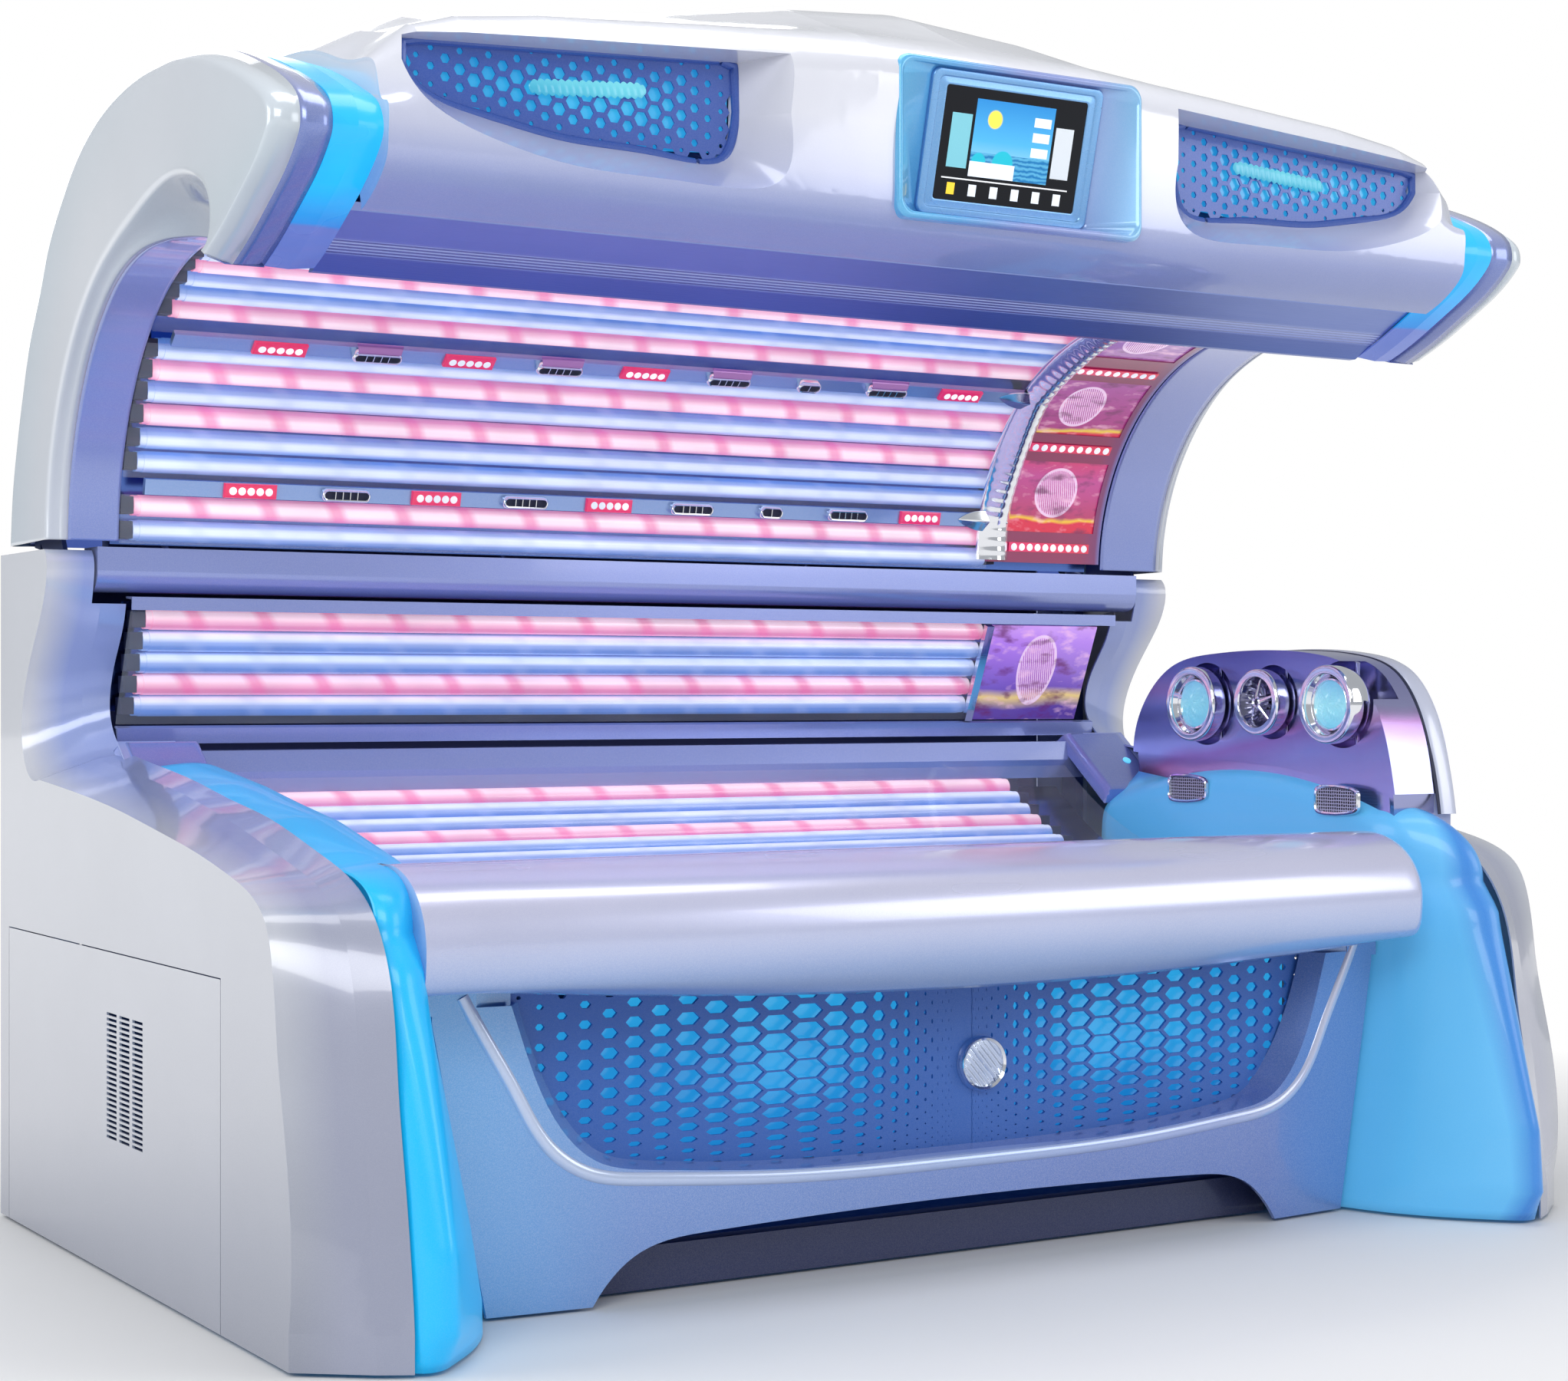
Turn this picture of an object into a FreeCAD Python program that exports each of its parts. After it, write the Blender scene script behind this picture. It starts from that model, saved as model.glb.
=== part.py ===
import FreeCAD, Part
import math
import os

V = FreeCAD.Vector

# ---------------------------------------------------------------------------
# Clamshell tanning bed.  Frame: X along the bed (head end +X), Y from front to
# back, Z up from the floor.  The origin is on the floor under the bed's middle.
# The rest pose is the open bed: the canopy stands raised.
# ---------------------------------------------------------------------------

# Overall sizes
BED_LENGTH = 2464.0
REAR_Y = 752.0
SKIRT_GAP = 6.0
COVER_WALL = 4.0

# Side shells, measured inwards from the outer faces
END_X = BED_LENGTH / 2
RIDGE_INSET = 98.0
SEAM_INSET = 143.0
GLOW_INSET = 191.0
CAP_RIDGE_INSET = 42.0
CAP_SEAM_INSET = 92.0
CAP_GLOW_INSET = 172.0
COLUMN_TOP = 1190.0
DOOR_TOP = 526.0
DOOR_FRONT = -374.0
DOOR_BACK = 700.0
DOOR_GAP = 2.0

# Tunnel
CANOPY_ARC_Y = 0.0
CANOPY_ARC_Z = 1193.0
CANOPY_ARC_R = 467.0
BENCH_ARC_R = 858.0
BENCH_FRONT = (-470.0, 684.0)
BENCH_BACK = (452.0, 792.0)
ACRYLIC = 5.0
LAMP_R = 19.0
LAMP_DEPTH = 31.0
REFLECTOR_DEPTH = 56.0
REFLECTOR_WALL = 1.5
LAMP_WALL = 1.0
SOCKET_LENGTH = 24.0

# Canopy hinge
HINGE_Y = 505.0
HINGE_Z = 1155.0
HINGE_PIN_R = 8.0
HINGE_RUN = 0.05
DRUM_R = 37.0
ARM_THICK = 8.0
EAR_THICK = 6.0
EAR_GAP = 2.0

# Traction gas springs
STRUT_LOW = (665.0, 800.0)
STRUT_HIGH = (600.0, 1165.0)
CYLINDER_R = 11.0
CYLINDER_LENGTH = 200.0
ROD_R = 4.5
ROD_RUN = 0.05
STRUT_PIN_R = 5.0
STRUT_EYE_R = 17.0
STRUT_EYE_CLEAR = 6.5
STRUT_EYE_THICK = 8.0

# Front
FASCIA_BOW = 50.0
FASCIA_Y = -470.0
FASCIA_WALL = 8.0
FASCIA_TOP = 472.0
KICK_Y = -424.0

# Moving details
POD_PLACES = ((30.0, 921.0), (-165.0, 925.0), (-360.0, 921.0))
BUTTON_R = 9.0
BUTTON_TRAVEL = 3.0
BUTTON_RUN = 0.1
FAN_R = 110.0
FAN_GAP = 4.0

# Head console, doors, fans and other placed pieces
WALL_X = END_X - 282.0
BENCH_HALF = WALL_X - 12.0
BENCH_LAMP_X0 = 33.0 - BENCH_HALF
BENCH_LAMP_X1 = BENCH_HALF - 173.0
BUMPER_HALF = WALL_X - 5.0
FASCIA_HALF = WALL_X - 10.0
WALL_TOP = 797.0
WALL_BACK = 448.0
GLOW_JOIN_Y = -452.0
BUMPER_BOW = 22.0
BUMPER_LOW = 468.0
BUMPER_LIFT = 42.0
GRILLE_SET = 48.0
LENS_Z = 325.0
LENS_R = 47.0
FOOT_HEIGHT = 34.0
FRAME_HALF = END_X - 172.0
FOOT_X = FRAME_HALF - 60.0
FRAME_FRONT = -400.0
UPRIGHT_X1 = END_X - 60.0
UPRIGHT_X0 = UPRIGHT_X1 - 20.0
UPRIGHT_Y0 = 690.0
UPRIGHT_TOP = 1180.0
ARM_X0 = UPRIGHT_X1 + EAR_THICK + EAR_GAP
ARM_X1 = ARM_X0 + ARM_THICK
STRUT_X = ARM_X1 + 8.0
RAIL_HALF = END_X - 147.0
LINER_X = END_X - 186.0
FACE_X1 = LINER_X - 6.0
FACE_X0 = FACE_X1 - 292.0
CANOPY_LAMP_X0 = 166.0 - END_X
CANOPY_LAMP_X1 = FACE_X0 - 8.0
MID_LAMP_X0 = CANOPY_LAMP_X0 + 26.0
LAMP_ENTRY_X = 40.0 - CANOPY_LAMP_X0
SHELL_HALF = END_X - CAP_GLOW_INSET
GUARD_R = 205.0
GUARD_A0 = -8.0
GUARD_HALF = END_X - 182.0
GUARD_Y = HINGE_Y + GUARD_R * math.cos(math.radians(GUARD_A0))
GUARD_Z = HINGE_Z + GUARD_R * math.sin(math.radians(GUARD_A0))
CONSOLE_X0 = END_X - 260.0
CONSOLE_X1 = CONSOLE_X0 + 148.0
POD_NAMES = ("left_lamp_pod", "air_pod", "right_lamp_pod")
POD_RADII = (74.0, 64.0, 74.0)
POD_ROOM = 8.0
POD_FRONT_X = CONSOLE_X0 - 46.0
POD_PIVOT_X = CONSOLE_X0 + 38.0
POD_PIN_R = 5.0
FAN_X = 820.0
FAN_Y = 130.0
FAN_Z = 130.0
BUTTON_X = END_X - 170.0
BUTTON_Y = 398.0
FOOT_LOW = (330.0, 744.0)
FOOT_HIGH = (474.0, 858.0)
FOOT_X0 = END_X - 228.0
FOOT_X1 = FOOT_X0 + 104.0
INLET_BACK = 782.0
JOIN_LEAN = 0.19
NOTCH_Y = 560.0
NOTCH_Z = (1098.0, 1300.0)
NOTCH_X = UPRIGHT_X0 - 3.0
COLUMN_TOP_FRONT = 494.0
CAP_ARC_END = 119.5
SHELL_WALL = 5.0
GRILLE_X = 700.0
GRILLE_Y = -506.0
DISPLAY_X = 60.0
DISPLAY_Y = -556.0
DISPLAY_Z = 1835.0
DISPLAY_W = 284.0
DISPLAY_H = 184.0
DISPLAY_LEAN = 14.0
DRUM_HALF = NOTCH_X - 4.0
DRUM_TOP = 1196.0
CROSS_TUBES = ((590.0, 1440.0), (300.0, 1800.0), (-380.0, 1800.0))
CROSS_R = 12.0
DRUM_TUBE = (628.0, 1290.0)
BRACKET_XS = (-1000.0, -340.0, 340.0, 1000.0)
RAIL_SPAN = 1.7
RAIL_X0 = -875.0
RAIL_PITCH = 180.0
RAIL_KINDS = ("led", "nozzle", "led", "nozzle", "led", "nozzle", "mist", "nozzle", "led")
FACE_LED_ANGLES = (7.0, 34.0, 60.0)
FACE_WINDOWS = ((11.0, 30.0), (38.0, 56.0), (66.0, 84.0))

os.makedirs("parts", exist_ok=True)


# ---------------------------------------------------------------- helpers
def save(node, shapes):
    """Write the solids of one node to its STEP file."""
    solids = []
    for shape in shapes if isinstance(shapes, (list, tuple)) else [shapes]:
        solids.extend(shape.Solids)
    Part.makeCompound(solids).exportStep("parts/" + node + ".step")


def box(x0, x1, y0, y1, z0, z1):
    return Part.makeBox(x1 - x0, y1 - y0, z1 - z0, V(x0, y0, z0))


def rod(p, q, r):
    """Round bar from point p to point q."""
    axis = V(*q) - V(*p)
    return Part.makeCylinder(r, axis.Length, V(*p), axis)


def mirrored(shape):
    return shape.mirror(V(0, 0, 0), V(1, 0, 0))


def both(shape):
    """A shape on the +X side and its mirror image."""
    return [shape, mirrored(shape)]


def prism(points, start, end, plane="x"):
    """Closed outline swept along x, y or z between two positions."""
    place = {"x": lambda a, b: V(start, a, b),
             "y": lambda a, b: V(a, start, b),
             "z": lambda a, b: V(a, b, start)}[plane]
    run = {"x": V(end - start, 0, 0), "y": V(0, end - start, 0), "z": V(0, 0, end - start)}[plane]
    corners = [place(a, b) for a, b in points]
    return Part.Face(Part.makePolygon(corners + corners[:1])).extrude(run)


def spline(points):
    curve = Part.BSplineCurve()
    curve.interpolate(points)
    return curve.toShape()


def offset_curve(points, distance):
    """Open curve moved to its left by a distance, point by point."""
    moved = []
    for i, (a, b) in enumerate(points):
        a0, b0 = points[max(i - 1, 0)]
        a1, b1 = points[min(i + 1, len(points) - 1)]
        da, db = a1 - a0, b1 - b0
        length = math.hypot(da, db)
        moved.append((a - db / length * distance, b + da / length * distance))
    return moved


def skin_wire(place, points, wall):
    """Closed wire of a thin wall whose outer line runs through the points."""
    inner = offset_curve(points, wall)
    out = [place(a, b) for a, b in points]
    back = [place(a, b) for a, b in reversed(inner)]
    return Part.Wire([spline(out), Part.makeLine(out[-1], back[0]),
                      spline(back), Part.makeLine(back[-1], out[0])])


def skin_loft(sections, wall, axis="x", ruled=True):
    """Thin wall lofted through (position, points) sections across an axis."""
    wires = []
    for position, points in sections:
        place = {"x": lambda a, b, p=position: V(p, a, b),
                 "y": lambda a, b, p=position: V(a, p, b),
                 "z": lambda a, b, p=position: V(a, b, p)}[axis]
        wires.append(skin_wire(place, points, wall))
    return Part.makeLoft(wires, True, ruled)


def arc_band(cy, cz, r0, r1, a0, a1, x0, x1):
    """Part of a ring in the YZ plane between two radii and angles."""
    mid = (a0 + a1) / 2

    def at(r, a):
        return V(x0, cy + r * math.cos(math.radians(a)), cz + r * math.sin(math.radians(a)))
    edges = [Part.Arc(at(r0, a0), at(r0, mid), at(r0, a1)).toShape(),
             Part.makeLine(at(r0, a1), at(r1, a1)),
             Part.Arc(at(r1, a1), at(r1, mid), at(r1, a0)).toShape(),
             Part.makeLine(at(r1, a0), at(r0, a0))]
    return Part.Face(Part.Wire(edges)).extrude(V(x1 - x0, 0, 0))


def shell_wire(x, front, column, rear_y, top, low):
    """Side outline: front curve, column front, flat top, rear and floor line."""
    start = V(x, front[0][0], low)
    a = [V(x, y, z) for y, z in front]
    b = [V(x, y, z) for y, z in column]
    corner = V(x, rear_y, top)
    foot = V(x, rear_y, low)
    return Part.Wire([Part.makeLine(start, a[0]), spline(a), spline([a[-1]] + b),
                      Part.makeLine(b[-1], corner), Part.makeLine(corner, foot),
                      Part.makeLine(foot, start)])


# ------------------------------------------------------- outlines (y, z)
# Upper edge of the side shell, from low at the front to the foot of the column
CREASE = [(-640, 60), (-650, 166), (-622, 341), (-599, 434), (-578, 560), (-549, 622),
          (-495, 655), (-413, 677), (-284, 702), (-78, 732), (69, 752), (308, 776), (520, 792)]
RIDGE = [(-716, 60), (-699, 164), (-678, 309), (-659, 413), (-628, 545), (-577, 628),
         (-510, 663), (-403, 690), (-215, 731), (-12, 768), (209, 797), (420, 818), (500, 828)]
SEAM = [(-742, 60), (-729, 164), (-706, 288), (-688, 381), (-655, 550), (-595, 632),
        (-525, 671), (-400, 705), (-194, 750), (-28, 773), (114, 795), (341, 822), (480, 838)]
# Front edge of the column, from the foot to the top
COLUMN_CREASE = [(600, 815), (622, 866), (590, 975), (520, 1065), (480, 1130), (478, 1176),
                 (490, COLUMN_TOP)]
COLUMN_RIDGE = [(560, 850), (588, 890), (560, 990), (500, 1065), (478, 1130), (476, 1176),
                (488, COLUMN_TOP)]
COLUMN_SEAM = [(540, 862), (572, 905), (550, 990), (497, 1065), (477, 1130), (476, 1176),
               (488, COLUMN_TOP)]
# Blue inner edge beyond the seam: how far it stands ahead of the seam
GLOW_LEAD = [(60, -38), (168, -48), (339, -24), (441, -10), (517, 4), (600, 8)]

# Canopy end outline, rear foot over the top to the front lip
CAP = [(716, 1206), (701, 1305), (669, 1402), (632, 1490), (596, 1565), (537, 1643), (480, 1725),
       (399, 1796), (316, 1852), (216, 1893), (112, 1916), (8, 1926), (-81, 1926), (-174, 1921),
       (-300, 1899), (-425, 1857), (-515, 1818), (-566, 1783), (-577, 1745), (-559, 1717),
       (-515, 1682), (-455, 1648), (-379, 1608), (-309, 1578)]


# ------------------------------------------------------------ side shells
def end_shell():
    """Side shell on the +X side: outer face, bevel, front strip and column."""
    def closed(x, front, column, low=SKIRT_GAP, wall=0.0, rear=REAR_Y, top=COLUMN_TOP):
        if wall:
            front = offset_curve(front, -wall)
            column = offset_curve([front[-1]] + column, -wall)[1:]
            column[-1] = (column[-1][0], top)
        return shell_wire(x, front, column, rear, top, low)
    outer = Part.makeLoft([closed(END_X, CREASE, COLUMN_CREASE),
                           closed(END_X - RIDGE_INSET, RIDGE, COLUMN_RIDGE),
                           closed(END_X - SEAM_INSET, SEAM, COLUMN_SEAM)], True, True)
    w = COVER_WALL
    cut = [closed(END_X - w, CREASE, COLUMN_CREASE, -50, w, REAR_Y - w, COLUMN_TOP - w),
           closed(END_X - RIDGE_INSET, RIDGE, COLUMN_RIDGE, -50, w, REAR_Y - w, COLUMN_TOP - w),
           closed(END_X - SEAM_INSET, SEAM, COLUMN_SEAM, -50, w, REAR_Y - w, COLUMN_TOP - w)]
    inner = Part.makeLoft(cut, True, True)
    slab = inner.common(box(0, END_X - SEAM_INSET + 1, -900, 900, -60, 1300))
    slab.translate(V(-20, 0, 0))
    shell = outer.cut(inner).cut(slab)
    window = box(END_X - 2 * w, END_X + w, DOOR_FRONT, DOOR_BACK, SKIRT_GAP - 1, DOOR_TOP)
    notch = box(0, NOTCH_X, 300, NOTCH_Y, *NOTCH_Z)
    slot = box(NOTCH_X, END_X - w, COLUMN_TOP_FRONT, REAR_Y - w, COLUMN_TOP - 3 * w, COLUMN_TOP + 1)
    return shell.cut(window).cut(notch).cut(slot)


def foot_direction():
    dy, dz = FOOT_HIGH[0] - FOOT_LOW[0], FOOT_HIGH[1] - FOOT_LOW[1]
    length = math.hypot(dy, dz)
    return dy / length, dz / length


def foot_point(y, lift=0.0):
    """Point over the sloping foot of the column at a depth."""
    cy, cz = foot_direction()
    z = FOOT_LOW[1] + (y - FOOT_LOW[0]) * cz / cy
    return y - cz * lift, z + cy * lift


def column_foot():
    """Sloping panel at the foot of the column, bored for the start button."""
    (y0, z0), (y1, z1) = FOOT_LOW, FOOT_HIGH
    y2, z2 = foot_point(y1, -COVER_WALL)
    y3, z3 = foot_point(y0, -COVER_WALL)
    return prism([(y0, z0), (y1, z1), (y2, z2), (y3, z3)], FOOT_X0, FOOT_X1)


def button_rod(r, low, high):
    return rod((BUTTON_X, *foot_point(BUTTON_Y, low)), (BUTTON_X, *foot_point(BUTTON_Y, high)), r)


def service_door():
    """Lower side panel with its louvred vent, fitted in the shell's window."""
    g = DOOR_GAP
    w = COVER_WALL
    door = box(END_X - w, END_X, DOOR_FRONT + g, DOOR_BACK - g, SKIRT_GAP, DOOR_TOP - g)
    slot_h, pitch, col_w, col_gap = 4.6, 8.6, 50.0, 13.5
    y0, z0 = -27.0, 224.0
    slots = [box(END_X - 2 * w, END_X + w, y0 + c * (col_w + col_gap), y0 + c * (col_w + col_gap) + col_w,
                 z0 + r * pitch, z0 + r * pitch + slot_h) for c in range(3) for r in range(24)]
    return door.cut(Part.makeCompound(slots))


def at_height(curve, z):
    """Front position of an outline at a height, on its rising front part."""
    for (y0, z0), (y1, z1) in zip(curve, curve[1:]):
        if z0 <= z <= z1:
            return y0 + (y1 - y0) * (z - z0) / (z1 - z0)
    return curve[0][0] if z < curve[0][1] else curve[-1][0]


def at_depth(curve, y):
    """Height of an outline at a depth, on its top part."""
    for (y0, z0), (y1, z1) in zip(curve, curve[1:]):
        if z0 > 300 and y0 <= y <= y1:
            return z0 + (z1 - z0) * (y - y0) / (y1 - y0)
    return curve[-1][1]


def join_x(z):
    """Where the inner panel meets the front skirt, leaning in towards the floor."""
    return WALL_X - JOIN_LEAN * max(0.0, FASCIA_TOP - z)


def glow_panel():
    """Curved inner panel: a trumpet at the front and a wall beside the bench."""
    seam_x = END_X - SEAM_INSET
    glow_x = END_X - GLOW_INSET
    levels = [SKIRT_GAP] + [z for z, lead in GLOW_LEAD]
    leads = [0.0] + [lead for z, lead in GLOW_LEAD]
    front = []
    for z, lead in zip(levels, leads):
        y = at_height(SEAM, z)
        d = WALL_X - join_x(z)
        reach = GLOW_JOIN_Y - y - lead
        front.append((z, [(seam_x - 0.5, y + 14), (seam_x - 16, y + 0.55 * lead), (glow_x + 6, y + lead + 2),
                          (glow_x - 14, y + lead + 18), (1006 - 0.5 * d, y + lead + 0.3 * reach),
                          (972 - 0.85 * d, y + lead + 0.65 * reach), (WALL_X - d, GLOW_JOIN_Y)]))
    trumpet = skin_loft(front, -COVER_WALL, "z")
    stations = (GLOW_JOIN_Y, -380.0, -200.0, -40.0, 120.0, 300.0, WALL_BACK)
    wall = []
    for y in stations:
        seam_z = at_depth(SEAM, y) - 6
        top = WALL_TOP - 0.00045 * (y + 70) ** 2
        shoulder = max(seam_z + 8, top) if y < 60 else (top + seam_z) / 2
        wall.append((y, [(WALL_X, 600), (WALL_X + 1, top - 60), (WALL_X + 12, top - 14),
                         (WALL_X + 44, (3 * top + shoulder) / 4), (seam_x - 50, shoulder),
                         (seam_x - 0.5, seam_z)]))
    wall = skin_loft(wall, -COVER_WALL, "y")
    return [trumpet.cut(wall), wall]


def bumper():
    """Padded-looking front rail of the bench, bowed in plan."""
    sections = []
    for x in (-BUMPER_HALF, -700.0, -350.0, 0.0, 350.0, 700.0, BUMPER_HALF):
        bow = -BUMPER_BOW * (1 - (x / BUMPER_HALF) ** 2)
        low = BUMPER_LOW + BUMPER_LIFT * (x / BUMPER_HALF) ** 2
        sections.append((x, [(-466, 690), (-505, 692), (-560 + bow / 2, 680), (-610 + bow, 645),
                             (-634 + bow, 598), (-636 + bow, 556), (-622 + bow, 512),
                             (-592 + bow / 2, low)]))
    rail = skin_loft(sections, 5.0, "x", ruled=False)
    h, r = BUMPER_HALF, 62.0
    k = r * (1 - math.sqrt(0.5))
    z0, z1 = BUMPER_LOW - 6, 696.0
    ends = []
    for sx in (1, -1):
        outer = Part.Wire([Part.Arc(V(sx * (h - r), -900, z0 + 30), V(sx * (h - k), -900, z0 + 30 + k),
                                    V(sx * h, -900, z0 + 30 + r)).toShape(),
                           Part.makeLine(V(sx * h, -900, z0 + 30 + r), V(sx * h, -900, z1 - r)),
                           Part.Arc(V(sx * h, -900, z1 - r), V(sx * (h - k), -900, z1 - k),
                                    V(sx * (h - r), -900, z1)).toShape(),
                           Part.makeLine(V(sx * (h - r), -900, z1), V(sx * (h - r), -900, z1 + 40)),
                           Part.makeLine(V(sx * (h - r), -900, z1 + 40), V(sx * (h + 90), -900, z1 + 40)),
                           Part.makeLine(V(sx * (h + 90), -900, z1 + 40), V(sx * (h + 90), -900, z0 - 60)),
                           Part.makeLine(V(sx * (h + 90), -900, z0 - 60), V(sx * (h - r), -900, z0 - 60)),
                           Part.makeLine(V(sx * (h - r), -900, z0 - 60), V(sx * (h - r), -900, z0 + 30))])
        ends.append(Part.Face(outer).extrude(V(0, 600, 0)))
    return rail.cut(Part.makeCompound(ends))


def fascia_y(x, back=0.0):
    return FASCIA_Y - FASCIA_BOW * (1 - (abs(x) / FASCIA_HALF) ** 2.2) + back


def plan_band(front, back, half, z0, z1):
    """Upright sheet that follows the fascia's bow, between two depths."""
    xs = [half * t for t in (-1, -0.75, -0.5, -0.25, 0, 0.25, 0.5, 0.75, 1)]
    a = [V(x, fascia_y(x, front), z0) for x in xs]
    b = [V(x, fascia_y(x, back), z0) for x in reversed(xs)]
    wire = Part.Wire([spline(a), Part.makeLine(a[-1], b[0]), spline(b), Part.makeLine(b[-1], a[0])])
    return Part.Face(wire).extrude(V(0, 0, z1 - z0))


def scoop(half_outline, y, top, centre=0.0, grow=0.0):
    """Closed wire of an opening: one smooth curve below and a straight top."""
    right = [(x + grow if x else 0.0, z - grow) for x, z in half_outline]
    pts = [(-x, z) for x, z in reversed(right) if x] + right
    pts = [(pts[0][0], top)] + pts[1:-1] + [(pts[-1][0], top)]
    curve = [V(centre + x, y, z) for x, z in pts]
    return Part.Wire([spline(curve), Part.makeLine(curve[-1], curve[0])])


def cone(outer, y0, inner, y1, top, centre=0.0, grow=0.0):
    return Part.makeLoft([scoop(outer, y0, top, centre, grow), scoop(inner, y1, top, centre, grow)], True, True)


FASCIA_OPENING = [(0, 184), (373, 189), (600, 205), (690, 221), (752, 266), (800, 345), (868, 463)]
FASCIA_THROAT = [(0, 196), (330, 200), (570, 216), (650, 236), (700, 282), (748, 362), (800, 470)]
ARCH = [(490, 104), (560, 97), (612, 79), (652, 48), (690, -4)]


def fascia():
    """Front skirt with a scooped grille opening and an arch between its feet."""
    plate = plan_band(0, FASCIA_WALL, FASCIA_HALF, SKIRT_GAP, FASCIA_TOP)
    region = plan_band(0, GRILLE_SET + 4, FASCIA_HALF, SKIRT_GAP, FASCIA_TOP)
    y0, y1 = FASCIA_Y - FASCIA_BOW - 6, FASCIA_Y + 24
    throat = cone(FASCIA_OPENING, y0, FASCIA_THROAT, y1, FASCIA_TOP + 40)
    ring = cone(FASCIA_OPENING, y0, FASCIA_THROAT, y1, FASCIA_TOP + 40, grow=5)
    lip = ring.common(region)
    arch = [(x, z) for x, z in ARCH]
    pts = [V(-x, -700, z) for x, z in reversed(arch)] + [V(x, -700, z) for x, z in arch]
    arch_wire = Part.Wire([spline(pts), Part.makeLine(pts[-1], pts[0])])
    cut = Part.Face(arch_wire).extrude(V(0, 400, 0))
    side = prism([(join_x(SKIRT_GAP - 20) - 6, SKIRT_GAP - 20), (FASCIA_HALF + 20, SKIRT_GAP - 20),
                  (FASCIA_HALF + 20, FASCIA_TOP + 20), (join_x(FASCIA_TOP) - 6, FASCIA_TOP + 20),
                  (join_x(FASCIA_TOP) - 6, FASCIA_TOP)], -700, 0, "y")
    return plate.fuse(lip).cut(throat).cut(cut).cut(side).cut(mirrored(side))


def front_grille():
    y0, y1 = FASCIA_Y - FASCIA_BOW - 6, FASCIA_Y + 24
    throat = cone(FASCIA_OPENING, y0, FASCIA_THROAT, y1, FASCIA_TOP + 40)
    plate = plan_band(GRILLE_SET, GRILLE_SET + 3, FASCIA_HALF, SKIRT_GAP, FASCIA_TOP - 1)
    return plate.common(throat)


def circle_centre(p, q, r):
    """Centre of the circle of radius r through p and q, on the upper side."""
    my, mz = (p[0] + q[0]) / 2, (p[1] + q[1]) / 2
    dy, dz = q[0] - p[0], q[1] - p[1]
    chord = math.hypot(dy, dz)
    rise = math.sqrt(r * r - chord * chord / 4)
    return my - dz / chord * rise, mz + dy / chord * rise


def angle_of(centre, p):
    return math.degrees(math.atan2(p[1] - centre[1], p[0] - centre[0]))


BENCH_C = circle_centre(BENCH_FRONT, BENCH_BACK, BENCH_ARC_R)
BENCH_A0 = angle_of(BENCH_C, BENCH_FRONT)
BENCH_A1 = angle_of(BENCH_C, BENCH_BACK)


def polar(centre, r, a):
    return centre[0] + r * math.cos(math.radians(a)), centre[1] + r * math.sin(math.radians(a))


def bench_lamp_places():
    """Lamp centres under the bench, with True for the coloured lamps."""
    pitch = math.degrees(43.0 / (BENCH_ARC_R + LAMP_DEPTH))
    count = int((BENCH_A1 - BENCH_A0 - 1.5) / pitch)
    start = (BENCH_A0 + BENCH_A1 - (count - 1) * pitch) / 2
    return [(polar(BENCH_C, BENCH_ARC_R + LAMP_DEPTH, start + i * pitch), i % 3 == 1) for i in range(count)]


MID_TOP = (469.0, 1086.0)
MID_LOW = (553.0, 885.0)


def mid_point(along, back):
    length = math.hypot(MID_LOW[0] - MID_TOP[0], MID_LOW[1] - MID_TOP[1])
    dy, dz = (MID_LOW[0] - MID_TOP[0]) / length, (MID_LOW[1] - MID_TOP[1]) / length
    return MID_TOP[0] + dy * along - dz * back, MID_TOP[1] + dz * along + dy * back


def mid_lamp_places():
    return [(mid_point(26 + 41.5 * i, 28), i in (0, 3)) for i in range(5)]


def mid_sheet(back, wall, x0, x1, end=0.0):
    length = math.hypot(MID_LOW[0] - MID_TOP[0], MID_LOW[1] - MID_TOP[1])
    return prism([mid_point(end, back), mid_point(length - end, back),
                  mid_point(length - end, back + wall), mid_point(end, back + wall)], x0, x1)


def lamps(places, x0, x1, coloured):
    """Hollow glass tubes with metal end caps."""
    out = []
    for (y, z), tint in places:
        if tint == coloured:
            glass = rod((x0, y, z), (x1, y, z), LAMP_R)
            glass = glass.cut(rod((x0 + 2, y, z), (x1 - 2, y, z), LAMP_R - LAMP_WALL))
            caps = [rod((x0 - 12, y, z), (x0, y, z), LAMP_R - 1), rod((x1, y, z), (x1 + 12, y, z), LAMP_R - 1)]
            out.append(glass.fuse(caps))
    return out


def sockets(places, x0, x1):
    """Lamp holders, one at each end of each lamp."""
    out = []
    for (y, z), tint in places:
        out.append(box(x0 - 12 - SOCKET_LENGTH, x0 - 12, y - 15, y + 15, z - 15, z + 15))
        out.append(box(x1 + 12, x1 + 12 + SOCKET_LENGTH, y - 15, y + 15, z - 15, z + 15))
    return out


CANOPY_C = (CANOPY_ARC_Y, CANOPY_ARC_Z)
RAIL_ANGLES = (13.5, 48.5)
LAMP_ANGLES = [4, 9, 18, 23, 28, 33, 38, 43, 54] + [59 + 5 * i for i in range(13)]
TINTED = (9, 28, 38, 54, 69, 84, 99, 114)


def canopy_lamp_places():
    return [(polar(CANOPY_C, CANOPY_ARC_R + LAMP_DEPTH, a), a in TINTED) for a in LAMP_ANGLES]


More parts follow.
